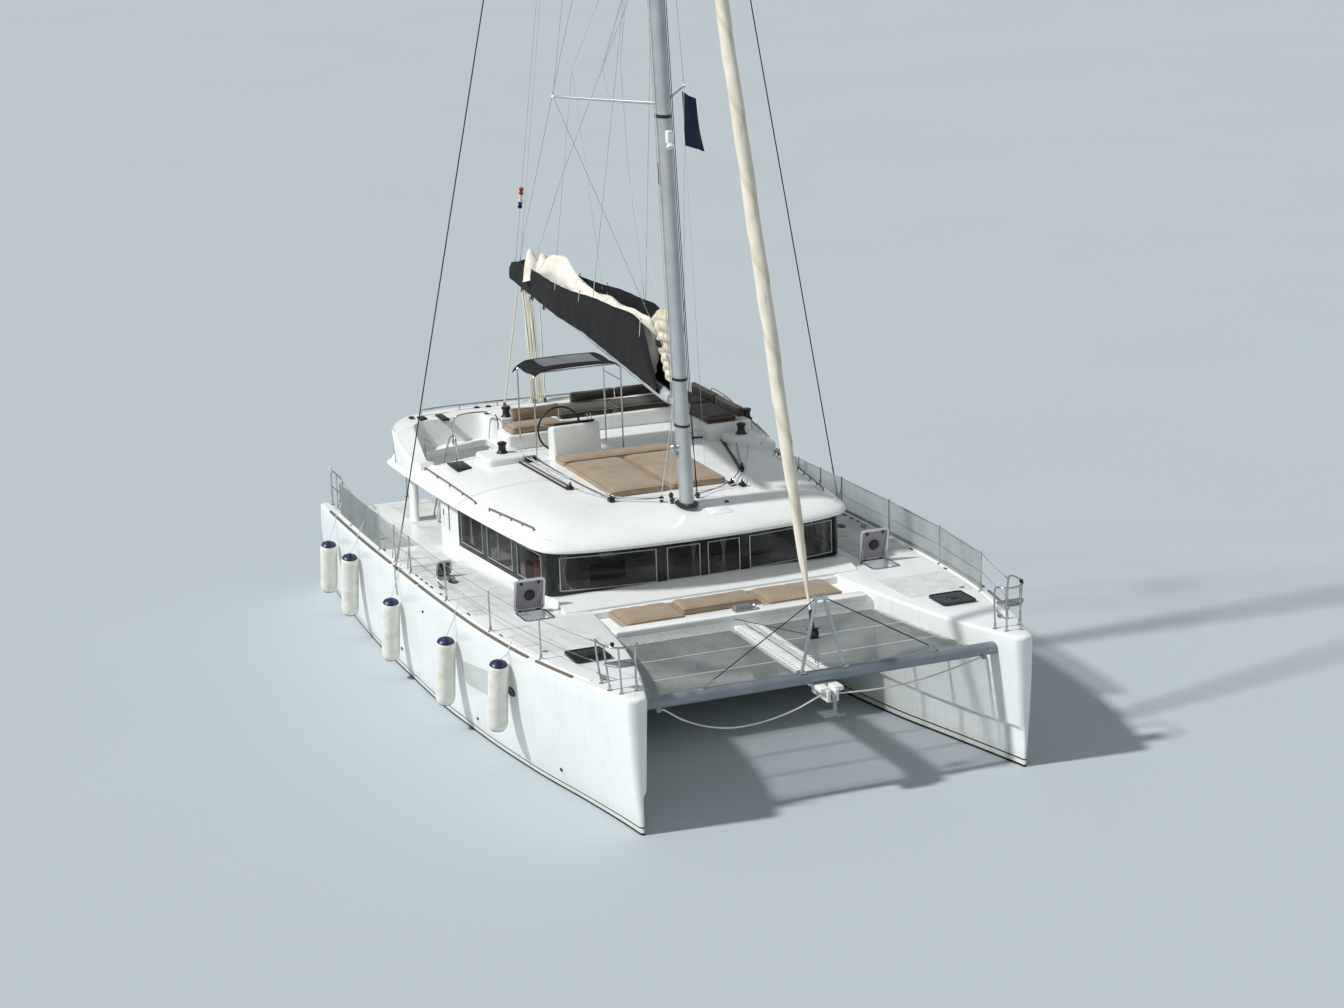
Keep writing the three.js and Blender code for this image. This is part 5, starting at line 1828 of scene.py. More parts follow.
@dataclass
class Flybridge:
    """The coaming, seat mouldings, stairs, hardtop posts and handrails of the flybridge."""

    outer: tuple[tuple[float, float], ...] = (
        (-2.86, -2.86), (-3.10, -2.95), (-3.60, -3.00), (-4.00, -2.99), (-4.28, -2.90), (-4.48, -2.70),
        (-4.59, -2.40), (-4.64, -1.50), (-4.66, 0.0), (-4.64, 1.50), (-4.59, 2.40), (-4.48, 2.70),
        (-4.28, 2.90), (-4.00, 2.99), (-2.80, 2.975), (-1.60, 2.90), (-1.44, 2.86),
    )
    inner: tuple[tuple[float, float], ...] = (
        (-1.44, 2.66), (-2.80, 2.66), (-3.90, 2.62), (-4.10, 2.52), (-4.17, 2.36), (-4.19, 0.0),
        (-4.19, -0.22),
        (-4.10, -0.36), (-3.50, -0.40), (-3.44, -1.36), (-3.78, -1.46), (-3.84, -1.62), (-3.84, -2.52),
        (-3.74, -2.68), (-2.88, -2.72),
    )
    # Columns: y, height of the coaming's top
    crest: tuple[tuple[float, float], ...] = (
        (-3.0, 3.40), (-2.6, 3.475), (-1.9, 3.50), (0.0, 3.47), (2.6, 3.38), (3.0, 3.34)
    )

    def build(self) -> None:
        """Makes the flybridge."""
        self.coaming()
        self.seats()
        self.stairs()
        self.posts()
        self.rails()

    def top(self, x: float, y: float) -> float:
        """The coaming's height, which falls to the roof at both forward ends."""
        crest = eased(self.crest, y, 1)
        start, length = (-3.75, 2.35) if y > 0 else (-3.86, 1.02)
        t = min(max((x - start) / length, 0), 1)
        if abs(y) < 2.55:
            return crest
        return crest + (3.02 - crest) * t * t * (3 - 2 * t)

    def coaming(self) -> None:
        """The white moulding that wraps the aft end."""
        line = smooth_path([(x, y, 0) for x, y in self.outer], 4)
        outline = [(p.x, p.y) for p in line] + rounded(self.inner, 0.10)

        def crown(corner: Vector) -> Vector:
            """Lifts the top to its crest."""
            z = self.top(corner.x, corner.y) if corner.z > 3 else corner.z
            beside_stairs = corner.z > 3 and corner.x > -3.95 and corner.y < -1.3
            return Vector((corner.x - 0.20 * beside_stairs, corner.y, z))

        form = Form()
        form.plate(outline, 2.74, 3.48, GELCOAT, 0.055, 4, shape=crown, angle=45)
        form.piece("flybridge_coaming", slot="gelcoat", shade=Shade.MOULDED)
        vents = Form()
        for x, y, long in ((-4.10, -2.10, 0.42), (-4.22, -2.42, 0.22)):
            vents.box((x - long / 2, y - 0.07, 3.47), (x + long / 2, y + 0.07, 3.512), BLACK_FITTING, 0.02, 3)
        for x, y in ((-4.42, -2.55), (-4.50, -1.35), (-4.48, -1.15), (-3.95, -1.35)):
            vents.lathe([(0, 0), (0.05, 0), (0.05, 0.012), (0.03, 0.022), (0, 0.022)], BLACK_FITTING,
                        Matrix.Translation((x, y, self.top(x, y) - 0.004)))
        vents.piece("coaming_vents", shade=Shade.CRISP)

    def seats(self) -> None:
        """The moulded bases of the lounge and the helm seat, and the flybridge's non-skid sole."""
        form = Form()
        form.plate(rounded(
            [(-4.20, -0.25), (-3.45, -0.25), (-3.45, 1.85), (-1.90, 1.85), (-1.90, 2.66), (-4.20, 2.66)], 0.09
        ),
                   2.95, 3.345, GELCOAT, 0.03, 3, angle=45)
        form.plate(rounded([(-3.42, -1.38), (-2.84, -1.38), (-2.84, -0.32), (-3.42, -0.32)], 0.08),
                   2.95, 3.345, GELCOAT, 0.03, 3, angle=45)
        form.plate(rounded([(-1.86, 2.05), (-1.42, 2.05), (-1.42, 2.62), (-1.86, 2.62)], 0.09),
                   2.95, 3.20, GELCOAT, 0.04, 3, angle=45)
        form.plate(rounded([(-2.72, -2.02), (-2.02, -2.02), (-2.02, -1.32), (-2.72, -1.32)], 0.12),
                   2.95, 3.20, GELCOAT, 0.05, 3, angle=45)
        form.piece("flybridge_seats", slot="gelcoat", shade=Shade.MOULDED)
        sole = Form()
        sole.plate(rounded([(-3.38, -0.28), (-2.25, -0.28), (-2.25, 1.78), (-3.38, 1.78)], 0.1),
                   3.05, 3.086, DECK_NON_SKID, 0.004, 1)
        sole.piece("flybridge_sole", shade=Shade.CRISP)

    def stairs(self) -> None:
        """The open treads from the cockpit up through the stairwell."""
        form = Form()
        for number in range(6):
            x, z = -4.05 + 0.19 * number, 1.36 + 0.285 * number
            form.box((x - 0.13, -2.36, z - 0.035), (x + 0.13, -1.62, z), GELCOAT, 0.012, 2)
            form.box((x - 0.11, -2.31, z - 0.003), (x + 0.11, -1.67, z + 0.006), DECK_NON_SKID, 0.003, 1)
        for y in (-2.39, -1.59):
            form.sweep([Vector((-4.24, y, 1.09)), Vector((-2.98, y, 2.96))],
                       [(-0.012, -0.06), (0.012, -0.06), (0.012, 0.06), (-0.012, 0.06)], BOOM_ALUMINIUM)
        form.piece("flybridge_stairs", shade=Shade.CRISP)

    def posts(self) -> None:
        """The hardtop's posts."""
        for side, sign in SIDES:
            form = Form()

            def place(column: int, row: int) -> Vector:
                """A point of the post, which leans aft and spreads into the roof."""
                share = row / 12
                turn = 2 * math.pi * column / 20
                spread_out = 1 + 0.45 * max(share - 0.72, 0) / 0.28 + 0.25 * max(0.12 - share, 0) / 0.12
                cosine, sine = math.cos(turn), math.sin(turn)
                x = -4.11 + math.copysign(abs(cosine) ** 0.7, cosine) * 0.15 * spread_out
                y = sign * (2.68 + math.copysign(abs(sine) ** 0.7, sine) * 0.058 * spread_out)
                return Vector((x, y, 1.745 + 1.005 * share))

            form.skin(20, 13, place, GELCOAT)
            form.piece(f"hardtop_leg_{side}", [f"hardtop_post_{side}"], slot="gelcoat", shade=Shade.SOFT)

    def rails(self) -> None:
        """The silver handrail along the aft coaming, the side rail and the stairwell's inverted U."""
        form = Form()
        aft = [(-4.50, y, self.top(-4.5, y) + 0.075) for y in spread(-2.35, 2.45, 15)]
        form.tube(smooth_path(aft, 3), 0.016, STAINLESS, 10)
        for x, y, z in (*aft[::2], aft[-1]):
            form.tube([(x, y, z), (x + 0.01, y, z - 0.10)], 0.011, STAINLESS, 8)
        side = [(x, 2.83, self.top(x, 2.83) + 0.085) for x in spread(-4.05, -1.75, 9)]
        form.tube(smooth_path(side, 3), 0.013, STAINLESS, 8)
        for x, y, z in side[::2]:
            form.bar((x, y, z), (x, y, z - 0.11), 0.010, STAINLESS)
        arch = [(-3.80, -2.02, 2.98), (-3.80, -2.02, 3.28), (-3.79, -1.99, 3.50), (-3.77, -1.88, 3.58),
                (-3.70, -1.50, 3.60), (-3.52, -1.36, 3.57), (-3.44, -1.34, 3.46), (-3.43, -1.34, 3.30)]
        form.tube(smooth_path(arch, 5), 0.015, STAINLESS, 10)
        stair = [(-4.22, -2.30, 1.10), (-4.22, -2.30, 1.75), (-4.05, -2.30, 2.05), (-3.30, -2.30, 3.14),
                 (-3.05, -2.30, 3.40),
                 (-2.80, -2.30, 3.42), (-2.78, -2.30, 3.02)]
        form.tube(smooth_path(stair, 5), 0.014, STAINLESS, 10)
        for x, z in ((-3.55, -0.1), (-3.20, -0.1)):
            form.bar((x, -2.60, 2.98), (x, -2.60, 3.30), 0.011, STAINLESS)
        form.bar((-3.55, -2.60, 3.30), (-3.20, -2.60, 3.30), 0.011, STAINLESS)
        form.piece("flybridge_handrails", slot="stainless", shade=Shade.SOFT)


@dataclass
class Cockpits:
    """The bridge between the hulls: the aft cockpit, the forward cockpit and what is fixed in them."""

    def build(self) -> None:
        """Makes both cockpits."""
        bridge = cad_copy("bridgedeck", GELCOAT, 0.02, 3)
        bridge.piece("bridge_moulding", ["bridgedeck"], slot="gelcoat", shade=Shade.CRISP)
        self.front_coaming()
        table = cad_copy("cockpit_table", JOINERY, 0.010, 3)
        table.piece("cockpit_table_top", ["cockpit_table"], shade=Shade.CRISP)
        soles = Form()
        soles.box((-4.48, -1.90, 1.078), (-2.42, 2.20, 1.086), DECK_NON_SKID, 0.003, 1)
        soles.box((2.80, -1.80, 1.779), (3.68, 1.80, 1.786), DECK_NON_SKID, 0.003, 1)
        soles.piece("cockpit_soles", shade=Shade.CRISP)

    def front_coaming(self) -> None:
        """The white shoulder between the windscreen and the forward bench, and the ledge ahead of it."""
        form = Form()
        rows = spread(-2.42, 2.42, 25)
        section = [
            (2.00, 1.86), (2.25, 2.000), (2.34, 2.000), (2.48, 1.975), (2.56, 1.950), (2.61, 1.915),
            (2.62, 1.86), (2.62, 1.80), (2.0, 1.80)
        ]

        def point(column: int, row: int) -> Vector:
            """A point of the shoulder, which draws back round the corners of the cabin."""
            y = rows[row]
            x, z = section[column]
            back = 0.0469 * y * y
            share = (x - 2.0) / 0.62
            if z > 1.99:
                z += 0.02 + 0.06 * (1 - (y / 2.42) ** 2)
            return Vector((x - back * (1 - share) * (1 if x > 2.0 else 0.6), y, z))

        form.skin(len(section), len(rows), point, GELCOAT)
        form.piece("windscreen_shoulder", slot="gelcoat", shade=Shade.MOULDED)
        ledge = Form()
        outline = rounded([(3.50, -2.06), (3.74, -2.06), (3.74, 2.06), (3.50, 2.06)], 0.04)
        ledge.plate(outline, 1.77, 1.875, GELCOAT, 0.025, 3, angle=45)
        ledge.piece("forward_ledge", slot="gelcoat", shade=Shade.MOULDED)


# Soft goods


@dataclass(frozen=True)
class Pad:
    """One cushion of a set.

    Attributes:
        low: the lowest corner of its box.
        high: the highest corner of its box.
        corner: the radius of its corners in plan.
        lean: how far it leans aft, in degrees, about its lower edge.
    """

    low: Point
    high: Point
    corner: float = 0.06
    lean: float = 0.0


@dataclass
class CushionSet:
    """A set of loose cushions of one cloth, puffed by a cloth simulation and then piped.

    Attributes:
        name: the piece's name.
        pads: the cushions.
        finish: their cloth.
        nodes: the CAD nodes that they stand for.
        slot: the record's material slot; not used.
        cap: how far a point may move while the cushions fill.
        fill: how full they are, from 0, slack, to 1, tight; not used.
    """

    name: str
    pads: Sequence[Pad]
    finish: Finish
    nodes: Sequence[str] = ()
    slot: str = "tan_cushion"
    cap: float = 0.022
    fill: float = 0.7

    def build(self) -> None:
        """Makes, fills and pipes the cushions."""
        form = Form()
        seams = [self.pad(form, pad) for pad in self.pads]
        soft = form.mesh_object(self.name, Shade.SOFT)
        rest = [v.co.copy() for v in soft.data.vertices]
        self.inflate(soft, rest)
        tree = KDTree(len(rest))
        for number, point in enumerate(rest):
            tree.insert(point, number)
        tree.balance()
        piping = Form()
        for loops in seams:
            for loop in loops:
                moved = []
                for spot in loop:
                    found, number, _ = tree.find(spot)
                    moved.append(spot + (soft.data.vertices[number].co - found))
                piping.tube(moved, 0.0065, PIPING, 6, closed=True)
        merge(soft, piping)
        enter(soft, self.nodes, "boat", self.slot)

    def pad(self, form: Form, pad: Pad) -> list[list[Vector]]:
        """Adds one cushion's starting shape.

        Args:
            form: where it goes.
            pad: its sizes.

        Returns:
            The lines of its upper and lower seams.
        """
        margin = 0.010
        x0, y0, z0 = (v + margin for v in pad.low)
        x1, y1, z1 = (v - margin for v in pad.high)
        z0 = pad.low[2] + 0.003
        size_x, size_y = x1 - x0, y1 - y0
        reach = min(size_x, size_y) / 2
        middle = Vector(((x0 + x1) / 2, (y0 + y1) / 2, 0))
        spine = Vector((max(size_x / 2 - reach, 0), max(size_y / 2 - reach, 0), 0))
        edge = self.perimeter(size_x, size_y, pad.corner)
        height = z1 - z0
        rows = [(0.0, 0.0), (0.5, 0.0), (0.88, 0.0), (0.985, 0.02), (1.0, 0.18), (1.006, 0.5), (1.0, 0.82),
                (0.985, 0.97), (0.93, 1.0), (0.8, 1.0), (0.6, 1.0), (0.35, 1.0), (0.0, 1.0)]
        lean = Matrix.Rotation(math.radians(-pad.lean), 4, "Y")
        turn = Matrix.Translation((x0, 0, z0)) @ lean @ Matrix.Translation((-x0, 0, -z0))

        def point(column: int, row: int) -> Vector:
            """A point of the cushion's skin."""
            share, rise = rows[row]
            corner = edge[column]
            root = Vector((min(max(corner.x, -spine.x), spine.x), min(max(corner.y, -spine.y), spine.y), 0))
            spot = middle + root.lerp(corner, share)
            crown = 0.02 * (1 - share * share) if rise == 1.0 else 0.0
            return turn @ Vector((spot.x, spot.y, z0 + height * rise + crown - (0.012 if rise > 0.9 else 0)))

        form.skin(len(edge), len(rows), point, self.finish)
        return [[point(column, row) for column in range(len(edge))] for row in (3, 7)]

    @staticmethod
    def perimeter(size_x: float, size_y: float, corner: float) -> list[Vector]:
        """The cushion's rounded outline, with its points about 60 mm apart."""
        half_x, half_y = size_x / 2, size_y / 2
        along_x = max(int((size_x - 2 * corner) / 0.06), 2)
        along_y = max(int((size_y - 2 * corner) / 0.06), 2)
        points: list[Vector] = []
        for quarter, (sx, sy) in enumerate(((1, 1), (-1, 1), (-1, -1), (1, -1))):
            centre = Vector((sx * (half_x - corner), sy * (half_y - corner), 0))
            for t in spread(0, 1, 4):
                angle = math.radians(90 * (quarter + t))
                points.append(centre + corner * Vector((math.cos(angle), math.sin(angle), 0)))
            count = along_x if quarter % 2 == 0 else along_y
            start = points[-1]
            run = size_x - 2 * corner if quarter % 2 == 0 else size_y - 2 * corner
            way = (Vector((-1, 0, 0)), Vector((0, -1, 0)), Vector((1, 0, 0)), Vector((0, 1, 0)))[quarter]
            points += [start + way * run * i / count for i in range(1, count)]
        return points

    def inflate(self, soft: bpy.types.Object, rest: Sequence[Vector]) -> None:
        """Fills the cushions with air in a cloth simulation, and caps how far each point moves."""
        cloth = soft.modifiers.new("air", "CLOTH")
        cloth.settings.use_pressure = True
        cloth.settings.uniform_pressure_force = 4.0
        cloth.settings.quality = 4
        cloth.settings.tension_stiffness = 25
        cloth.settings.compression_stiffness = 25
        cloth.settings.shear_stiffness = 12
        cloth.settings.bending_stiffness = 3.0
        cloth.settings.effector_weights.gravity = 0.0
        cloth.point_cache.frame_start, cloth.point_cache.frame_end = 1, 20
        scene = bpy.context.scene
        for number in range(1, 21):
            scene.frame_set(number)
        graph = bpy.context.evaluated_depsgraph_get()
        filled = [v.co.copy() for v in soft.evaluated_get(graph).data.vertices]
        soft.modifiers.clear()
        scene.frame_set(1)
        for vert, old, new in zip(soft.data.vertices, rest, filled):
            move = new - old
            if move.length > self.cap:
                move *= self.cap / move.length
            if old.z + move.z < min(pad.low[2] for pad in self.pads) + 0.002:
                move.z = min(pad.low[2] for pad in self.pads) + 0.002 - old.z
            vert.co = old + move


def merge(made: bpy.types.Object, form: Form) -> None:
    """Joins a form's mesh into an object, with its finishes in new slots."""
    extra = form.mesh_object("extra")
    bm = bmesh.new()
    bm.from_mesh(made.data)
    before = len(made.data.materials)
    for material in extra.data.materials:
        made.data.materials.append(material)
    count = len(bm.faces)
    bm.from_mesh(extra.data)
    bm.faces.ensure_lookup_table()
    for face in bm.faces[count:]:
        face.material_index += before
    bm.to_mesh(made.data)
    bm.free()
    bpy.data.objects.remove(extra)


@dataclass
class Cushions:
    """Every cushion aboard."""

    def build(self) -> None:
        """Makes the sets."""
        lounge = [
            Pad((-4.12, -0.21, 3.350), (-3.485, 0.815, 3.460)),
            Pad((-4.12, 0.825, 3.350), (-3.485, 1.85, 3.460)),
            Pad((-4.12, 1.86, 3.350), (-3.03, 2.42, 3.460)),
            Pad((-3.02, 1.86, 3.350), (-1.93, 2.42, 3.460)),
        ]
        CushionSet("lounge_seat_cushions", lounge, DARK_FABRIC, ["lounge_cushions"], "dark_cushion").build()
        backs = [
            Pad((-4.20, 0.22, 3.455), (-4.075, 1.04, 3.64), 0.03, 9),
            Pad((-4.20, 1.05, 3.455), (-4.075, 1.88, 3.64), 0.03, 9),
            Pad((-4.20, 1.89, 3.455), (-4.075, 2.40, 3.66), 0.03, 9),
            Pad((-4.06, 2.43, 3.40), (-3.02, 2.54, 3.60), 0.03),
            Pad((-3.01, 2.43, 3.40), (-1.95, 2.54, 3.58), 0.03),
        ]
        CushionSet("lounge_back_cushions", backs, DARK_FABRIC, slot="dark_cushion", cap=0.018).build()
        helm = [Pad((-3.33, -1.30, 3.350), (-2.87, -0.34, 3.470))]
        CushionSet("helm_seat_cushion", helm, TAN_FABRIC, ["helm_seat"]).build()
        helm_back = [Pad((-3.46, -1.12, 3.44), (-3.35, -0.24, 3.67), 0.04, 8)]
        CushionSet("helm_back_cushion", helm_back, TAN_FABRIC, cap=0.018).build()
        sun = [
            Pad((-1.80, -0.95, 3.070), (-1.36, 1.05, 3.190)),
            Pad((-1.35, -0.95, 3.070), (0.80, 0.045, 3.185)),
            Pad((-1.35, 0.055, 3.070), (0.80, 1.05, 3.185)),
        ]
        CushionSet("sunpad_cushions", sun, TAN_FABRIC, ["sunpad"]).build()
        forward = [
            Pad((2.635, -1.80, 1.786), (3.475, -0.795, 1.90)),
            Pad((2.635, -0.785, 1.786), (3.20, 0.50, 1.90)),
            Pad((2.635, 0.51, 1.786), (3.475, 1.80, 1.90)),
        ]
        CushionSet("forward_bench_cushions", forward, TAN_FABRIC, ["forward_cushion"]).build()
        seat = Form()
        seat.box((-5.125, -1.895, 1.085), (-4.555, 1.895, 1.38), GELCOAT, 0.03, 3)
        seat.piece("cockpit_seat_base", ["cockpit_seat"], slot="gelcoat", shade=Shade.CRISP)
        aft = [Pad((-5.12, y, 1.381), (-4.56, y + 0.935, 1.50)) for y in (-1.89, -0.945, 0.005, 0.955)]
        aft += [
            Pad((-5.125, y, 1.505), (-5.00, y + 0.935, 1.80), 0.04, 6) for y in (-1.89, -0.945, 0.005, 0.955)
        ]
        CushionSet("cockpit_cushions", aft, TAN_FABRIC, cap=0.018).build()
        cabin = [
            Pad((-0.34, 1.76, 1.462), (1.09, 2.34, 1.56)), Pad((0.61, 0.56, 1.462), (1.09, 1.74, 1.56)),
            Pad((0.30, 2.20, 1.56), (0.75, 2.33, 2.0), 0.05),
            Pad((-0.20, 2.20, 1.56), (0.24, 2.33, 2.0), 0.05),
        ]
        CushionSet("cabin_settee_cushions", cabin, DARK_FABRIC, slot="dark_cushion").build()
        red = [
            Pad((0.86, -2.32, 1.945), (1.22, -2.20, 2.28), 0.04),
            Pad((0.50, -2.34, 1.945), (0.82, -2.22, 2.20), 0.04)
        ]
        CushionSet("cabin_red_cushions", red, RED_CLOTH, cap=0.015).build()


# Helm and roof


@dataclass
class Helm:
    """The flybridge console with its instruments, and the steering wheel."""

    centre: Point = (-2.31, -0.65, 3.50)
    radius: float = 0.37
    spokes: int = 5

    def build(self) -> None:
        """Makes the console and the wheel."""
        console = cad_copy("helm_console", GELCOAT, 0.045, 4)
        console.box((-2.222, -0.30, 3.30), (-2.19, -0.12, 3.50), BLACK_EDGE, 0.008, 2)
        console.piece("helm_console_moulding", ["helm_console"], slot="gelcoat", shade=Shade.MOULDED)
        panel = Form()
        lean = Matrix.Translation((-2.09, -0.48, 3.613)) @ Matrix.Rotation(math.radians(-28), 4, "Y")
        panel.box((-0.085, -0.36, -0.004), (0.085, 0.36, 0.022), BLACK_EDGE, 0.012, 3, lean)
        # The screen's light grey is painted sky light, taken from the hatch acrylic.
        panel.box((-0.065, -0.13, 0.020), (0.065, 0.13, 0.027), SKYLIT_HATCH_ACRYLIC, 0.004, 1, lean)
        for y in (-0.30, -0.20, 0.20, 0.30):
            dial = lean @ Matrix.Translation((0.0, y, 0.022))
            panel.lathe(
                [(0, 0), (0.043, 0), (0.043, 0.008), (0.036, 0.010), (0.036, 0.006), (0, 0.006)], STAINLESS,
                dial
            )
            panel.box((-0.002, -0.001, 0.006), (0.030, 0.001, 0.008), CLEAR_LENS, 0.0, 1, dial)
        for y in (-0.16, -0.10):
            panel.tube([(-2.23, y, 3.60), (-2.30, y, 3.72)], 0.008, STAINLESS, 8)
            panel.ball((-2.303, y, 3.728), 0.018, BLACK_FITTING)
        panel.piece("helm_instruments", shade=Shade.CRISP)
        wheel = Form()
        x, y, z = self.centre
        rim = [Vector((x, y + self.radius * math.cos(a), z + self.radius * math.sin(a)))
               for a in (2 * math.pi * i / 56 for i in range(56))]
        wheel.tube(rim, 0.0165, BLACK_FITTING, 10, closed=True)
        for i in range(self.spokes):
            angle = math.radians(90 + 360 * i / self.spokes)
            tip = (x, y + self.radius * math.cos(angle), z + self.radius * math.sin(angle))
            root = (x - 0.012, y + 0.04 * math.cos(angle), z + 0.04 * math.sin(angle))
            wheel.tube([root, tip], 0.009, STAINLESS, 8)
        hub = Matrix.Translation(self.centre) @ Matrix.Rotation(math.radians(-90), 4, "Y")
        wheel.lathe([
            (0, 0.035), (0.03, 0.035), (0.055, 0.02), (0.06, -0.015), (0.028, -0.03), (0.028, -0.10),
            (0, -0.10)
        ],
                    STAINLESS, hub)
        wheel.piece(
            "steering_wheel_rim", ["steering_wheel"], body="wheel", slot="stainless", shade=Shade.SOFT
        )


@dataclass
class Bimini:
    """The small black canopy over the helm on its two hoops."""

    hoops: tuple[float, float] = (-2.70, -1.90)
    span: tuple[float, float] = (-1.20, 0.32)
    top: float = 4.605

    def build(self) -> None:
        """Makes the canopy; its frame is the CAD node with a steel finish."""
        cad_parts["bimini_frame"].data.materials.clear()
        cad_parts["bimini_frame"].data.materials.append(STAINLESS.material())
        across, along = 29, 25
        left, right = self.span

        def surface(column: int, row: int, out: float) -> Vector:
            """A point of the cloth, tight over the hoops and drooping past them."""
            v = row / (along - 1)
            u = column / (across - 1)
            x = -3.0 + 1.14 * v
            y = left + (right - left) * u
            side = abs(2 * u - 1)
            z = self.top + 0.035 - 0.03 * side ** 2 - 0.075 * max(side - 0.80, 0) ** 1.2 * 6
            sag = 0.022 * math.sin(math.pi * min(max((x - self.hoops[0]) / 0.8, 0), 1)) ** 2
            over = max(self.hoops[0] - x, 0) + max(x - self.hoops[1], 0) * 2.2
            z -= sag + 0.85 * over ** 1.35 * (1 if x < -2.5 else 0.5)
            z += 0.004 * math.sin(9 * v + 5 * u)
            return Vector((x, y, z + out))

        form = Form()
        ring = [(c, 0.006) for c in range(across)] + [(c, -0.004) for c in reversed(range(across))]
        form.skin(
            len(ring), along, lambda column, row: surface(ring[column][0], row, ring[column][1]), CANVAS
        )
        cloth = form.piece("bimini_canopy", ["bimini_top"], slot="canvas", shade=Shade.SOFT)
        patch = Form()
        inner = list(range(5, across - 5))
        ring = [(c, 0.0085) for c in inner] + [(c, 0.003) for c in reversed(inner)]
        patch.skin(
            len(ring), 13, lambda column, row: surface(ring[column][0], row + 7, ring[column][1]), GREY_CANVAS
        )
        for row in (6, 20):
            patch.tube([surface(c, row, 0.008) for c in range(across)], 0.005, CANVAS, 5)
        panel = patch.piece("bimini_panel", shade=Shade.SOFT)


def winch(form: Form, x: float, y: float, z: float, size: float = 1.0) -> None:
    """Adds a sheet winch: a skirted drum with a self-tailing ring on top."""
    profile = [(0, 0), (0.098, 0), (0.100, 0.012), (0.082, 0.026), (0.066, 0.05), (0.058, 0.10),
               (0.064, 0.135),
               (0.078, 0.150), (0.080, 0.158), (0.066, 0.162), (0.066, 0.166), (0.080, 0.170), (0.078, 0.180),
               (0.045, 0.188), (0.040, 0.196), (0, 0.196)]
    place = Matrix.Translation((x, y, z)) @ Matrix.Scale(size, 4)
    form.lathe(profile, BLACK_FITTING, place, 28)
    for i in range(16):
        turn = place @ Matrix.Rotation(2 * math.pi * i / 16, 4, "Z")
        form.box((0.054, -0.004, 0.06), (0.0615, 0.004, 0.128), BLACK_FITTING, 0.002, 1, turn)
    form.lathe([(0.0, 0.196), (0.018, 0.196), (0.016, 0.2), (0, 0.2)], STAINLESS, place)


def block(form: Form, x: float, y: float, z: float, size: float = 0.06, turn: float = 0.0) -> None:
    """Adds a pulley block: two cheeks round a sheave."""
    heading = Matrix.Rotation(math.radians(turn), 4, "Z")
    place = Matrix.Translation((x, y, z)) @ heading @ Matrix.Rotation(math.radians(90), 4, "X")
    half = size / 2
    for side in (-1, 1):
        form.lathe([(0, 0), (half, 0), (half * 0.92, 0.007), (0, 0.009)], BLACK_FITTING,
                   place @ Matrix.Translation((0, 0, side * 0.011 - 0.004)), 16)
    form.lathe(
        [(0, -0.008), (half * 0.9, -0.008), (half * 0.72, 0), (half * 0.9, 0.008), (0, 0.008)], STAINLESS,
        place, 16
    )


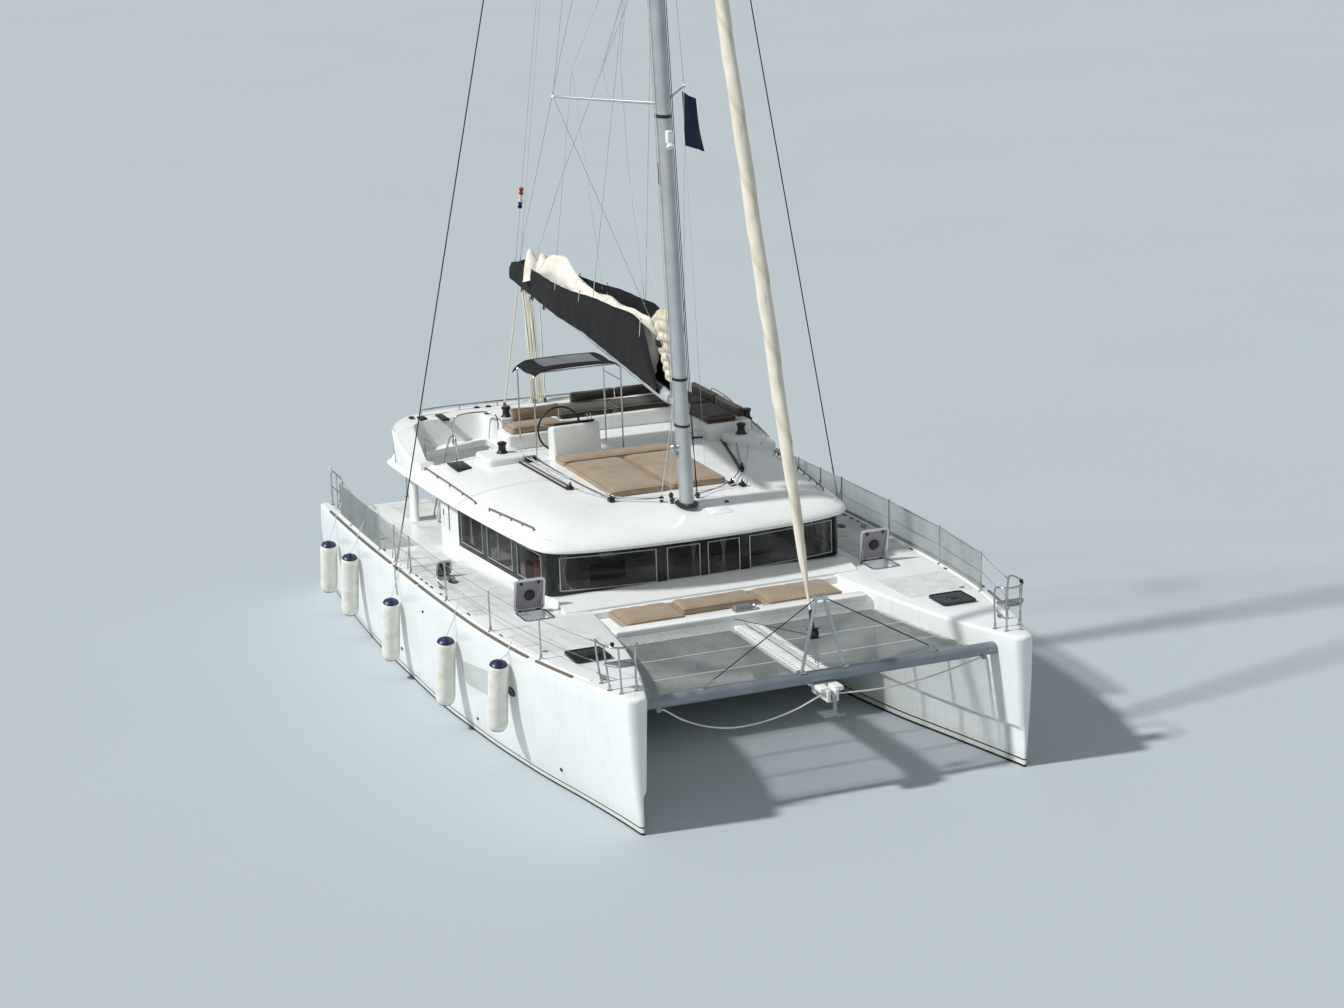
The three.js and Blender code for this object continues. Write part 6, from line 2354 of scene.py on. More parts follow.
@dataclass
class RoofGear:
    """Grab rails, sheet tracks, winches, clutches, organisers and the lines that run between them."""

    roof: Coachroof

    def build(self) -> None:
        """Makes the gear."""
        self.grab_rails()
        self.tracks()
        self.winches()
        self.lines()

    def on_roof(self, x: float, y: float, up: float = 0.0) -> Vector:
        """A point on the roof's surface."""
        return Vector((x, y, self.roof.height(x, y) + up))

    def grab_rails(self) -> None:
        """The dark grab rails along the roof's shoulders."""
        form = Form()
        for start, end in (((-2.95, -2.80), (-0.60, -2.72)), ((-0.09, -2.66), (1.36, -2.44)),
                           ((-1.30, 2.80), (-0.60, 2.72)), ((-0.09, 2.66), (1.36, 2.44))):
            path = [self.on_roof(
                start[0] + (end[0] - start[0]) * t, start[1] + (end[1] - start[1]) * t, 0.045
            )
                    for t in spread(0, 1, 14)]
            path = [self.on_roof(*start, 0.0), *path, self.on_roof(*end, 0.0)]
            form.tube(path, 0.0135, TOE_RAIL, 8)
            for t in (0.25, 0.5, 0.75):
                x, y = start[0] + (end[0] - start[0]) * t, start[1] + (end[1] - start[1]) * t
                form.tube([self.on_roof(x, y, -0.005), self.on_roof(x, y, 0.045)], 0.012, TOE_RAIL, 8)
        form.piece("roof_grab_rails", shade=Shade.SOFT)

    def tracks(self) -> None:
        """The paired starboard tracks with their car, and the two black port tracks."""
        form = Form()
        runs = (
            ((-2.42, -1.49), (-0.02, -1.36), 0.016, BLACK_FITTING),
            ((-2.38, -1.40), (0.02, -1.28), 0.012, TOE_RAIL),
            ((-2.19, 1.62), (-1.99, 2.80), 0.022, BLACK_FITTING),
            ((-2.30, 2.20), (0.26, 1.53), 0.024, BLACK_FITTING),
        )
        for start, end, half, finish in runs:
            path = [self.on_roof(start[0] + (end[0] - start[0]) * t, start[1] + (end[1] - start[1]) * t)
                    for t in spread(0, 1, 15)]
            section = [
                (-half, -0.01), (half, -0.01), (half, 0.018), (half * 0.6, 0.026), (-half * 0.6, 0.026),
                (-half, 0.018)
            ]
            form.sweep(path, section, finish)
        for x, y in ((-0.06, -1.31), (-1.98, 2.66), (0.10, 1.58), (0.94, -1.00), (1.05, 1.18), (0.93, 1.05)):
            z = self.roof.height(x, y)
            form.box(
                (x - 0.07, y - 0.045, z + 0.002), (x + 0.07, y + 0.045, z + 0.05), BLACK_FITTING, 0.012, 2
            )
            block(form, x + 0.02, y, z + 0.085, 0.075)
        for x, y in ((1.42, -0.17), (1.30, -0.30), (1.20, -0.10), (1.34, 0.29), (1.20, 0.24)):
            z = self.roof.height(x, y)
            form.lathe(
                [(0, 0), (0.035, 0), (0.03, 0.012), (0, 0.014)], STAINLESS, Matrix.Translation((x, y, z))
            )
            block(form, x, y, z + 0.055, 0.085, 30)
        hatch = rounded([(1.66, 0.24), (2.02, 0.24), (2.02, 0.60), (1.66, 0.60)], 0.05)
        form.plate(hatch, 0.0, 0.010, GELCOAT, 0.004, 2, shape=lambda c: self.on_roof(c.x, c.y, c.z - 0.002))
        form.box((1.62, 0.62, self.roof.height(1.65, 0.65) - 0.004),
                 (1.68, 0.68, self.roof.height(1.65, 0.65) + 0.02),
                 BLACK_FITTING, 0.006, 2)
        form.piece("roof_tracks_and_blocks", shade=Shade.CRISP)

    def winches(self) -> None:
        """The four winches, the rope clutches and the cup holders beside the helm."""
        form = Form()
        for x, y, z in (
            (-2.37, -1.64, 3.195), (-3.62, -1.12, 3.48), (-1.64, 2.34, 3.195), (-2.32, 2.74, 3.26)
        ):
            winch(form, x, y, z)
        for number in range(4):
            y = -1.18 - 0.055 * number
            z = self.roof.height(-2.02, y)
            form.box((-2.14, y - 0.021, z), (-1.94, y + 0.021, z + 0.065), BLACK_FITTING, 0.010, 2)
            form.box((-2.12, y - 0.012, z + 0.06), (-2.0, y + 0.012, z + 0.082), STAINLESS, 0.006, 2)
        z = self.roof.height(-2.55, -2.30)
        form.box((-2.72, -2.50, z), (-2.22, -2.22, z + 0.03), BLACK_FITTING, 0.012, 2)
        form.piece("winches_and_clutches", shade=Shade.CRISP)

    def lines(self) -> None:
        """The sheets and halyards led aft from the mast's foot, taut between their blocks."""
        form = Form()
        runs = (
            ((1.42, -0.17), (0.94, -1.00), (-0.06, -1.31), (-2.0, -1.28)),
            ((1.30, -0.30), (0.92, -1.06), (-2.0, -1.22)),
            ((1.20, -0.10), (0.96, -0.94), (-2.0, -1.34)),
            ((1.34, 0.29), (0.93, 1.05), (0.10, 1.58), (-1.60, 2.22)),
            ((1.20, 0.24), (1.05, 1.18), (-1.98, 2.66)),
        )
        for number, run in enumerate(runs):
            finish = (FINE_LINE, BLACK_STAY, FINE_LINE, BLACK_STAY, FINE_LINE)[number]
            for start, end in zip(run, run[1:]):
                path = [self.on_roof(start[0] + (end[0] - start[0]) * t, start[1] + (end[1] - start[1]) * t,
                                     0.075 - 0.12 * t * (1 - t)) for t in spread(0, 1, 10)]
                form.tube(path, 0.0075, finish, 6)
        form.piece("roof_lines", shade=Shade.SOFT)


# Foredeck


@dataclass
class Foredeck:
    """The fore beam, striker, catwalk, nets and anchor gear."""

    net_pitch: float = 0.030
    strand: float = 0.0038
    catwalk: float = 0.18

    def build(self) -> None:
        """Makes the foredeck."""
        # The beam's duller, bluer finish carries painted shade.
        beam = cad_copy("crossbeam", SHADED_BEAM_ALUMINIUM, 0.006, 2, 50)
        for sign in (1, -1):
            for y in (0.62, 1.25, 1.88):
                beam.lathe(
                    [(0, 0.09), (0.014, 0.09), (0.012, 0.104), (0, 0.106)], STAINLESS,
                    Matrix.Translation((6.5, sign * y, 1.72))
                )
        beam.piece("fore_beam", ["crossbeam"], slot="aluminium", shade=Shade.CRISP)
        self.striker()
        self.walkway()
        for side, sign in SIDES:
            self.net(side, sign)
        self.anchor_gear()

    def striker(self) -> None:
        """The silver A-frame over the beam with its two black wires."""
        form = Form()
        apex = Vector((6.45, 0, 2.86))
        for sign in (1, -1):
            form.tube([(6.50, 0.33 * sign, 1.79), apex + Vector((0, 0.06 * sign, 0.0))], 0.026, SPAR, 12)
            form.box((6.44, 0.33 * sign - 0.05, 1.80), (6.56, 0.33 * sign + 0.05, 1.83), STAINLESS, 0.006, 2)
            foot, head = Vector((6.50, 1.86 * sign, 1.80)), apex + Vector((0, 0.07 * sign, -0.02))
            form.tube([foot, head], 0.0085, BLACK_STAY, 8)
            ahead = (head - foot).normalized()
            form.tube([foot - ahead * 0.02, foot + ahead * 0.22], 0.016, STAINLESS, 10)
            form.box((6.47, 1.86 * sign - 0.03, 1.795), (6.53, 1.86 * sign + 0.03, 1.83), STAINLESS, 0.006, 2)
        form.box((6.39, -0.10, 2.83), (6.51, 0.10, 2.90), STAINLESS, 0.015, 3)
        form.piece("striker_frame", ["striker"], slot="stainless", shade=Shade.SOFT)

    def walkway(self) -> None:
        """The white catwalk with its scalloped lacing edges, over the long centre beam."""
        beam = cad_copy("centre_beam", GELCOAT, 0.012, 3, 40)
        beam.piece("catwalk_beam", ["centre_beam"], slot="gelcoat", shade=Shade.CRISP)
        trim = Form()
        for sign in (1, -1):
            zigzag = []
            for i in range(0, 52):
                x = 3.86 + 0.05 * i
                y = self.catwalk - 0.03 if i % 2 else self.catwalk + 0.052
                zigzag.append(Vector((x, sign * y, 1.706 if i % 2 else 1.676)))
            trim.tube(zigzag, 0.007, WHITE_ROPE, 6)
            for i in range(26):
                x = 3.885 + 0.1 * i
                trim.lathe([(0, 0), (0.042, 0), (0.036, 0.014), (0, 0.018)], GELCOAT,
                           Matrix.Translation((x, sign * (self.catwalk + 0.005), 1.695)), 12)
        trim.box((3.80, -0.13, 1.699), (6.28, 0.13, 1.706), DECK_NON_SKID, 0.003, 1)
        trim.piece("catwalk_lacing", shade=Shade.SOFT)

    def net_edge(self, x: float) -> float:
        """The net's outboard edge at x, beside the hull."""
        rows = ((3.795, 2.06), (4.70, 2.19), (5.50, 2.34), (6.37, 2.56))
        return eased(rows, x, 1)

    def net(self, side: str, sign: int) -> None:
        """One trampoline: crossing cords inside a webbing hem, laced all round."""
        form = Form()
        aft, fore, inner, z = 3.83, 6.34, 0.245, 1.6675
        thin = self.strand

        def strip(a: Vector, b: Vector, lift: float) -> None:
            """Adds one cord, as a flat four-sided bar."""
            form.tube([a + Vector((0, 0, lift)), b + Vector((0, 0, lift))], thin, NET_CORD, 4)

        for x in spread(aft + 0.02, fore - 0.02, int((fore - aft) / self.net_pitch)):
            strip(Vector((x, sign * inner, z)), Vector((x, sign * (self.net_edge(x) - 0.01), z)), 0.0015)
        for y in spread(inner + 0.02, 2.52, int((2.5 - inner) / self.net_pitch)):
            start = aft
            while self.net_edge(start) < y + 0.01 and start < fore:
                start += 0.02
            if start < fore - 0.1:
                strip(Vector((start, sign * y, z)), Vector((fore, sign * y, z)), -0.0015)
        outline = [Vector((aft, sign * inner, z)),
                   *[Vector((x, sign * self.net_edge(x), z)) for x in spread(aft, fore, 12)],
                   Vector((fore, sign * inner, z))]
        section = [(-0.028, -0.004), (0.028, -0.004), (0.028, 0.005), (-0.028, 0.005)]
        form.sweep(outline, section, RAIL_NET, closed=True)
        for x in (4.66, 5.50):
            form.sweep([Vector((x, sign * inner, z)), Vector((x, sign * self.net_edge(x), z))],
                       [(-0.02, 0.002), (0.02, 0.002), (0.02, 0.006), (-0.02, 0.006)], RAIL_NET)
        net = form.piece(f"net_{side}", [f"trampoline_{side}"], slot="netting", shade=Shade.CRISP)
        lacing = Form()
        self.lace(lacing, [Vector((6.40, sign * y, 1.70)) for y in spread(0.30, 2.42, 23)],
                  [Vector((6.325, sign * y, 1.674)) for y in spread(0.30, 2.42, 23)])
        self.lace(lacing,
                  [Vector((x, sign * (self.net_edge(x) + 0.05), 1.69)) for x in spread(3.9, 6.25, 26)],
                  [Vector((x, sign * (self.net_edge(x) - 0.02), 1.674)) for x in spread(3.9, 6.25, 26)])
        self.lace(lacing, [Vector((3.752, sign * y, 1.70)) for y in spread(0.30, 2.0, 18)],
                  [Vector((3.85, sign * y, 1.674)) for y in spread(0.30, 2.0, 18)])
        lacing.piece(f"net_lacing_{side}", shade=Shade.SOFT)

    @staticmethod
    def lace(form: Form, outside: Sequence[Vector], inside: Sequence[Vector]) -> None:
        """Adds a zigzag line between two rows of points."""
        path: list[Vector] = []
        for number, (a, b) in enumerate(zip(outside, inside)):
            path.append(a if number % 2 else b)
        form.tube(path, 0.0055, WHITE_ROPE, 6)

    def anchor_gear(self) -> None:
        """The anchor in its roller, its chain and the windlass."""
        anchor = cad_copy("anchor", GALVANISED, 0.008, 2, 40)
        anchor.piece("anchor_and_stock", ["anchor"], slot="stainless", shade=Shade.CRISP)
        windlass = cad_copy("windlass", GALVANISED, 0.012, 2, 40)
        windlass.lathe([
            (0, 0), (0.075, 0), (0.078, 0.01), (0.06, 0.025), (0.06, 0.045), (0.078, 0.06), (0.07, 0.075),
            (0, 0.08)
        ],
                       STAINLESS,
                       Matrix.Translation((3.605, 0.15, 1.9)) @ Matrix.Rotation(math.radians(-90), 4, "X"))
        windlass.piece("windlass_and_gypsy", ["windlass"], slot="stainless", shade=Shade.CRISP)
        chain = Form()
        for i in range(84):
            x = 3.72 + 0.033 * i
            z = 1.716
            turn = 0 if i % 2 else 90
            place = Matrix.Translation((x, 0, z)) @ Matrix.Rotation(math.radians(turn), 4, "X")
            link = [
                place @ Vector((0.022 * math.cos(a), 0.011 * math.sin(a), 0))
                for a in (math.pi * k / 4 for k in range(8))
            ]
            chain.tube(link, 0.0045, GALVANISED, 4, closed=True)
        chain.piece("anchor_chain", shade=Shade.SOFT)


@dataclass
class Hatches:
    """The five deck hatches: fixed rims and hinged acrylic lids."""

    def build(self) -> None:
        """Makes every hatch on both sides."""
        for hatch in HATCHES:
            for side, sign in SIDES:
                if sign > 0 and not hatch.port:
                    continue
                self.rim(hatch, side, sign)
                self.lid(hatch, side, sign)

    def rim(self, hatch: Hatch, side: str, sign: int) -> None:
        """The fixed frame in the deck, over its well's coaming."""
        form = Form()
        x0, x1 = hatch.hinge + 0.018, hatch.hinge + hatch.length - 0.018
        y0, y1 = hatch.inboard + 0.018, hatch.inboard + hatch.width - 0.018
        ring = rounded([(x0, y0), (x1, y0), (x1, y1), (x0, y1)], 0.05)
        top = hatch.rim_top()
        path = [Vector((x, y, top)) for x, y in ring]
        form.sweep(path,
                   [
                       (-0.020, -0.06), (0.020, -0.06), (0.020, -0.003), (0.016, 0.0), (-0.016, 0.0),
                       (-0.020, -0.003)
                   ],
                   BOOM_ALUMINIUM, closed=True)
        form.sweep(
            path, [(-0.010, -0.0005), (0.010, -0.0005), (0.008, 0.0045), (-0.008, 0.0045)], BLACK_FITTING,
            closed=True
        )
        DeckFittings.finished(form, f"{hatch.name}_rim_{side}", sign, Shade.CRISP)

    def lid(self, hatch: Hatch, side: str, sign: int) -> None:
        """The hinged lid: an aluminium frame round acrylic, with a vent, latches and stays."""
        form = Form()
        length, width = hatch.length, hatch.width
        axis = Vector((hatch.hinge, hatch.inboard, hatch.rim_top() + 0.0123))
        place = Matrix.Translation(axis) @ Matrix.Rotation(math.radians(-hatch.opened), 4, "Y")
        ring = rounded(
            [
                (0.007, 0.016), (length - 0.016, 0.016), (length - 0.016, width - 0.016),
                (0.007, width - 0.016)
            ], 0.05
        )
        path = [place @ Vector((x, y, 0)) for x, y in ring]
        up = place.to_3x3() @ Vector((0, 0, 1))
        section = [
            (-0.016, -0.006), (0.016, -0.006), (0.016, 0.020), (0.010, 0.026), (-0.010, 0.026),
            (-0.016, 0.020)
        ]
        form.sweep(path, section, BOOM_ALUMINIUM if hatch.opened else DARK_ACRYLIC, up=up, closed=True)
        lens = rounded(
            [
                (0.014, 0.026), (length - 0.026, 0.026), (length - 0.026, width - 0.026),
                (0.014, width - 0.026)
            ], 0.045
        )
        # Raised lids get the acrylic with painted sky light; closed lids keep its own dark.
        acrylic = SKYLIT_HATCH_ACRYLIC if hatch.opened else DARK_ACRYLIC
        form.plate(lens, 0.004, 0.018, acrylic, 0.002, 1, place)
        middle = place @ Matrix.Translation((length / 2 - 0.01, width / 2, 0.0))
        size = min(length, 0.5) * 0.17
        form.lathe(
            [(0, -0.024), (size * 0.8, -0.024), (size, -0.016), (size, 0.003), (0, 0.003)], BLACK_FITTING,
            middle, 24
        )
        form.lathe(
            [(0, 0.017), (size * 1.1, 0.017), (size * 1.05, 0.024), (size * 0.7, 0.030), (0, 0.031)],
            BLACK_FITTING, middle, 24
        )
        latch = max(width * 0.22, 0.075)
        for y in (latch, width - latch):
            form.box(
                (length - 0.088, y - 0.018, -0.022), (length - 0.045, y + 0.018, 0.004), BLACK_FITTING,
                0.006, 2, place
            )
            form.tube(
                [place @ Vector((0, y - 0.035, 0)), place @ Vector((0, y + 0.035, 0))], 0.011,
                BLACK_FITTING, 10
            )
        if hatch.opened:
            for y in (0.052, width - 0.052):
                far = place @ Vector((length * 0.42, y, -0.004))
                form.tube([place @ Vector((max(length * 0.10, 0.052), y, -0.010)), far], 0.006, STAINLESS, 6)
        body = {
            "bow_hatch": f"{side}_bow_lid", "deck_hatch": f"{side}_deck_lid", "small_hatch": "small_lid"
        }[hatch.name]
        if sign < 0:
            form.mirror()
        form.piece(
            f"{hatch.name}_lid_{side}", [f"{hatch.name}_{side}"], body=body, slot="acrylic", shade=Shade.CRISP
        )


# Rig


def mast_x(z: float) -> float:
    """The x of the mast's middle at a height."""
    return 1.6 - math.tan(math.radians(4.5)) * (z - 3.066)


@dataclass
class Mast:
    """The raked mast with its luff groove, spreaders, diamond stays, lamps and halyards."""

    foot: float = 3.05
    top: float = 22.40
    taper: float = 17.5
    spreader: Point = (-0.68, 1.10, 9.20)

    def build(self) -> None:
        """Makes the mast and its fittings."""
        self.spar()
        self.diamonds()
        self.fittings()
        self.halyards()

    def spar(self) -> None:
        """The extrusion: an oval with a groove down its aft face."""
        form = Form()
        heights = [*spread(self.foot, self.taper, 16), *spread(self.taper, self.top, 8)[1:]]

        def point(column: int, row: int) -> Vector:
            """A point of the section at a height."""
            z = heights[row]
            share = max(z - self.taper, 0) / (self.top - self.taper)
            chord, width = 0.170 - 0.055 * share, 0.105 - 0.035 * share
            turn = 2 * math.pi * column / 40
            x, y = chord * math.cos(turn), width * math.sin(turn)
            if x < 0:
                y *= 1 - 0.10 * (x / chord) ** 4
            if column == 20:
                x += 0.022
            return Vector((mast_x(z) + x, y, z))

        form.skin(40, len(heights), point, SPAR)
        form.box((-0.06, -0.045, 0), (0.06, 0.045, 0.10), BLACK_FITTING, 0.01, 2,
                 Matrix.Translation((mast_x(22.4), 0, 22.38)))
        form.piece("mast_extrusion", ["mast"], slot="aluminium", shade=Shade.MOULDED)

    def diamonds(self) -> None:
        """The swept spreaders and the diamond wires round them."""
        x, y, z = self.spreader
        for side, sign in SIDES:
            form = Form()
            root = Vector((mast_x(z) - 0.10, 0.07 * sign, z))
            tip = Vector((x, y * sign, z))

            def section(column: int, row: int) -> Vector:
                """A point of the spreader's flat oval."""
                t = row / 10
                centre = root.lerp(tip, t)
                turn = 2 * math.pi * column / 14
                return centre + Vector(
                    (0.045 * (1 - 0.35 * t) * math.cos(turn), 0, 0.026 * (1 - 0.3 * t) * math.sin(turn))
                )

            form.skin(14, 11, section, SPAR)
            form.ball(tip, 0.036, GELCOAT, (1.4, 0.8, 0.8))
            low, high = Vector((mast_x(5.15), 0.09 * sign, 5.15)), Vector((mast_x(18.8), 0.07 * sign, 18.8))
            for end in (low, high):
                form.tube([end, tip], 0.005, STAINLESS, 6)
                ahead = (tip - end).normalized()
                form.tube([end, end + ahead * 0.26], 0.014, STAINLESS, 8)
            form.piece(
                f"diamond_rigging_{side}", [f"diamond_stay_{side}"], slot="stainless", shade=Shade.SOFT
            )

    def fittings(self) -> None:
        """Collars, the deck lamp, the steaming lamp, cleats, the vane and the mast's foot."""
        form = Form()
        for z, tall in ((9.02, 0.05), (5.02, 0.04), (4.30, 0.035)):
            self.collar(form, z, tall)
        lamp = Matrix.Translation((mast_x(8.72) + 0.20, 0, 8.72))
        form.box((-0.06, -0.05, -0.10), (0.05, 0.05, 0.10), GELCOAT, 0.025, 3, lamp)
        form.lathe([(0, -0.03), (0.05, -0.03), (0.075, 0.03), (0.07, 0.035), (0, 0.03)], CLEAR_LENS,
                   lamp @ Matrix.Translation((0.03, 0, -0.13)) @ Matrix.Rotation(math.radians(150), 4, "Y"))
        form.box((-0.05, -0.035, -0.05), (0.05, 0.035, 0.05), GELCOAT, 0.02, 3,
                 Matrix.Translation((mast_x(12.6) + 0.19, 0, 12.6)))
        for z, y in ((4.1, 0.10), (3.9, -0.10), (4.55, 0.105)):
            sign = math.copysign(1, y)
            form.box((mast_x(z) - 0.01, min(y, y + 0.05 * sign), z - 0.07),
                     (mast_x(z) + 0.01, max(y, y + 0.05 * sign), z + 0.07),
                     STAINLESS, 0.006, 2)
        sideways = Matrix.Rotation(math.radians(90), 4, "X")
        winch_form = Matrix.Translation((mast_x(3.95), -0.085, 3.95)) @ sideways
        form.lathe(
            [(0, 0), (0.075, 0), (0.055, 0.03), (0.05, 0.08), (0.065, 0.11), (0.05, 0.13), (0, 0.13)],
            STAINLESS, winch_form
        )
        form.lathe([(0.0, -0.02), (0.235, -0.02), (0.235, 0.005), (0.20, 0.02), (0.0, 0.02)], BLACK_FITTING,
                   Matrix.Translation((1.6, 0, 3.072)) @ Matrix.Diagonal((1.05, 0.72, 1, 1)), 36)
        form.bar((mast_x(22.4), 0, 22.45), (mast_x(22.4) - 0.02, 0, 22.78), 0.006, STAINLESS)
        form.box((-0.20, -0.002, -0.03), (0.06, 0.002, 0.03), BLACK_FITTING, 0.0, 1,
                 Matrix.Translation((mast_x(22.4) - 0.02, 0, 22.76)))
        form.lathe(
            [(0, 0), (0.035, 0), (0.03, 0.07), (0, 0.075)], CLEAR_LENS,
            Matrix.Translation((mast_x(22.4) + 0.03, 0, 22.48))
        )
        form.piece("mast_fittings", shade=Shade.CRISP)

    @staticmethod
    def collar(form: Form, z: float, tall: float) -> None:
        """Adds a black band round the mast."""
        rows = [(-tall / 2, 0.0), (-tall / 2, 0.008), (tall / 2, 0.008), (tall / 2, 0.0)]

        def point(column: int, row: int) -> Vector:
            """A point of the band."""
            rise, out = rows[row]
            turn = 2 * math.pi * column / 40
            return Vector(
                (mast_x(z) + (0.170 + out) * math.cos(turn), (0.105 + out) * math.sin(turn), z + rise)
            )

        form.skin(40, 4, point, BLACK_FITTING, ends=False)

    def halyards(self) -> None:
        """The lines that run down the mast, close to its faces."""
        form = Form()
        for top_z, x_off, y, foot, finish in (
            (21.6, 0.05, 0.125, (1.34, 0.29, 3.16), BLACK_STAY),
            (21.9, 0.0, -0.125, (1.30, -0.30, 3.16), WHITE_ROPE),
            (21.6, -0.05, -0.13, (1.20, -0.10, 3.16), FINE_LINE),
            (21.6, 0.14, 0.115, (1.42, 0.24, 3.16), BLACK_STAY),
        ):
            form.tube(
                [(mast_x(top_z) + x_off, y * 0.75, top_z), (mast_x(4.6) + x_off, y, 4.6), foot], 0.0065,
                finish, 6
            )
        form.piece("halyards", shade=Shade.SOFT)


@dataclass
class Boom:
    """The boom, the mainsail flaked in its open bag, and the lines that hold them up."""

    pivot: Point = (1.215, 0.0, 4.60)
    rise: float = 6.5
    # Columns: distance along the boom, height of the starboard edge above the axis, half width there
    bag_table: tuple[Row, ...] = (
        (0.42, 0.15, 0.11), (0.62, 0.52, 0.15), (0.80, 0.84, 0.18), (0.95, 1.05, 0.20), (1.20, 1.07, 0.215),
        (2.0, 0.97, 0.235),
        (2.90, 0.86, 0.24), (3.80, 0.70, 0.235), (4.76, 0.57, 0.22), (5.90, 0.47, 0.18), (6.86, 0.35, 0.11),
        (7.38, 0.20, 0.06),
    )
    # Columns: distance along the boom, height of the sail's top above the axis, its half width
    sail_table: tuple[Row, ...] = (
        (0.86, 0.70, 0.08), (1.10, 1.04, 0.13), (1.60, 1.00, 0.15), (2.80, 0.88, 0.16), (3.80, 0.76, 0.15),
        (4.30, 0.86, 0.14), (4.85, 0.98, 0.13), (5.50, 0.84, 0.12), (6.00, 0.60, 0.10), (6.50, 0.40, 0.06),
    )

    # Each lazyjack: its side, its points of x and height from the mast down, and the x where it meets the bag
    lazyjacks: tuple[tuple[int, tuple[tuple[float, float], ...], float], ...] = (
        (1, ((0.75, 12.7), (-3.34, 9.28)), -4.55),
        (1, ((-3.34, 9.28),), -2.47),
        (-1, ((0.80, 11.3), (-0.87, 9.55), (-2.86, 7.66)), -4.70),
        (1, ((0.70, 12.2), (-1.93, 9.43), (-0.87, 7.67)), 0.35),
        (-1, ((0.72, 12.9), (-0.20, 9.74)), -1.66),
        (1, ((0.60, 14.0), (-1.10, 9.63), (-0.93, 7.94)), -0.60),
        (1, ((0.66, 13.2), (0.16, 9.75)), -0.57),
        (-1, ((0.50, 14.6), (-2.80, 9.51), (-4.95, 6.33)), -5.53),
    )
    # Columns: distance along the boom, y of the fall's foot on the aft coaming
    mainsheet: tuple[tuple[float, float], ...] = (
        (7.15, -0.88), (6.95, -0.40), (6.92, -0.37), (6.89, -0.34), (6.86, -0.31), (6.80, -0.30),
        (6.72, -0.29),
        (6.62, -0.28), (6.58, -0.25), (6.55, -0.21), (6.50, -0.18), (6.20, -0.14),
    )
    traveller: tuple[float, float] = (-4.40, 3.50)
    # Columns: distance along the boom, length of the lazyjack's loose tail
    tails: tuple[tuple[float, float], ...] = ((0.92, 0.30), (3.50, 0.16), (4.70, 0.20), (6.30, 0.12))

    def build(self) -> None:
        """Makes the boom, the bag and the lines."""
        self.place = Matrix.Translation(self.pivot) @ Matrix.Rotation(math.radians(self.rise), 4, "Y")
        self.spar()
        self.bag()
        self.sail()
        self.luff()
        self.lines()

    def at(self, along: float, y: float, z: float) -> Vector:
        """A point from its distance along the boom, its offset and its height above the axis."""
        return self.place @ Vector((-along, y, z))

    def spar(self) -> None:
        """The boom's extrusion with its end cap and sheaves."""
        form = cad_copy("boom", BOOM_ALUMINIUM, 0.006, 2, 45)
        cap = self.place @ Matrix.Translation((-7.44, 0, 0))
        form.box((-0.03, -0.08, -0.10), (0.02, 0.08, 0.11), BLACK_FITTING, 0.02, 3, cap)
        for along in (5.9, 6.5, 7.0):
            spot = self.at(along, 0, -0.12)
            form.box(
                (spot.x - 0.04, -0.012, spot.z - 0.05), (spot.x + 0.04, 0.012, spot.z + 0.04), STAINLESS,
                0.008, 2
            )
            block(form, spot.x, 0, spot.z - 0.08, 0.09)
        form.piece("boom_extrusion", ["boom"], body="main_boom", slot="aluminium", shade=Shade.CRISP)

    def bag(self) -> None:
        """The black cloth bag: two tall sides that meet under the sail, open along the top."""
        form = Form()
        count = 60
        places = spread(0.42, 7.38, count)
        levels = 13

        def side(t: float, along: float, sign: int) -> tuple[float, float]:
            """The bag's half width and height at a share of the way up."""
            top, half = eased(self.bag_table, along, 1), eased(self.bag_table, along, 2)
            if sign > 0:
                top += 0.09 * min(max((along - 0.8) / 0.5, 0), 1) * min((7.38 - along) / 1.2, 1)
            low = 0.005 if along < 3.8 else 0.005 - 0.09 * min((along - 3.8) / 1.2, 1)
            z = low + (top - low) * t
            belly = 0.092 + (half - 0.092) * min(t * 1.5, 1) + 0.035 * math.sin(math.pi * t)
            ripple = 0.008 * math.sin(along * 5.1 + 3 * t) * math.sin(math.pi * t)
            ripple += 0.005 * math.sin(along * 13 + 7 * t)
            return sign * (belly + ripple), z

        ring: list[tuple[float, int, float]] = []
        for t in spread(1, 0, levels):
            ring.append((t, -1, 0.0))
        for t in spread(0, 1, levels):
            ring.append((t, 1, 0.0))
        inside = [(t, sign, 0.006) for t, sign, _ in reversed(ring)]
        whole = [*ring, *inside]

        def point(column: int, row: int) -> Vector:
            """A point of the bag's cloth."""
            t, sign, thick = whole[column]
            y, z = side(t, places[row], sign)
            return self.at(places[row], y - sign * thick, z + (0.006 if thick and t == 0 else 0))

        form.skin(len(whole), count, point, CANVAS)
        for sign in (1, -1):
            edge = []
            for along in places:
                y, z = side(1.0, along, sign)
                edge.append(self.at(along, y, z + 0.004))
            form.tube(edge, 0.009, CANVAS, 6)
            for along, tail in self.tails:
                y, z = side(1.0, along, sign)
                out = sign * 0.012
                form.tube([
                    self.at(along, y, z + 0.05), self.at(along, y + out, z),
                    self.at(along + 0.02, y + out * 1.4, z - tail)
                ],
                          0.007, FINE_LINE, 6)
                form.ball(tuple(self.at(along, y, z + 0.05)), 0.018, STAINLESS, (1, 0.5, 1))
        bag = form.piece(
            "mainsail_cover", ["mainsail_bag"], body="main_boom", slot="canvas", shade=Shade.SOFT
        )

    def sail(self) -> None:
        """The mainsail flaked inside the bag, with soft folds and the head's hump near its aft end."""
        form = Form()
        count, sides = 90, 30
        places = spread(0.88, 6.52, count)

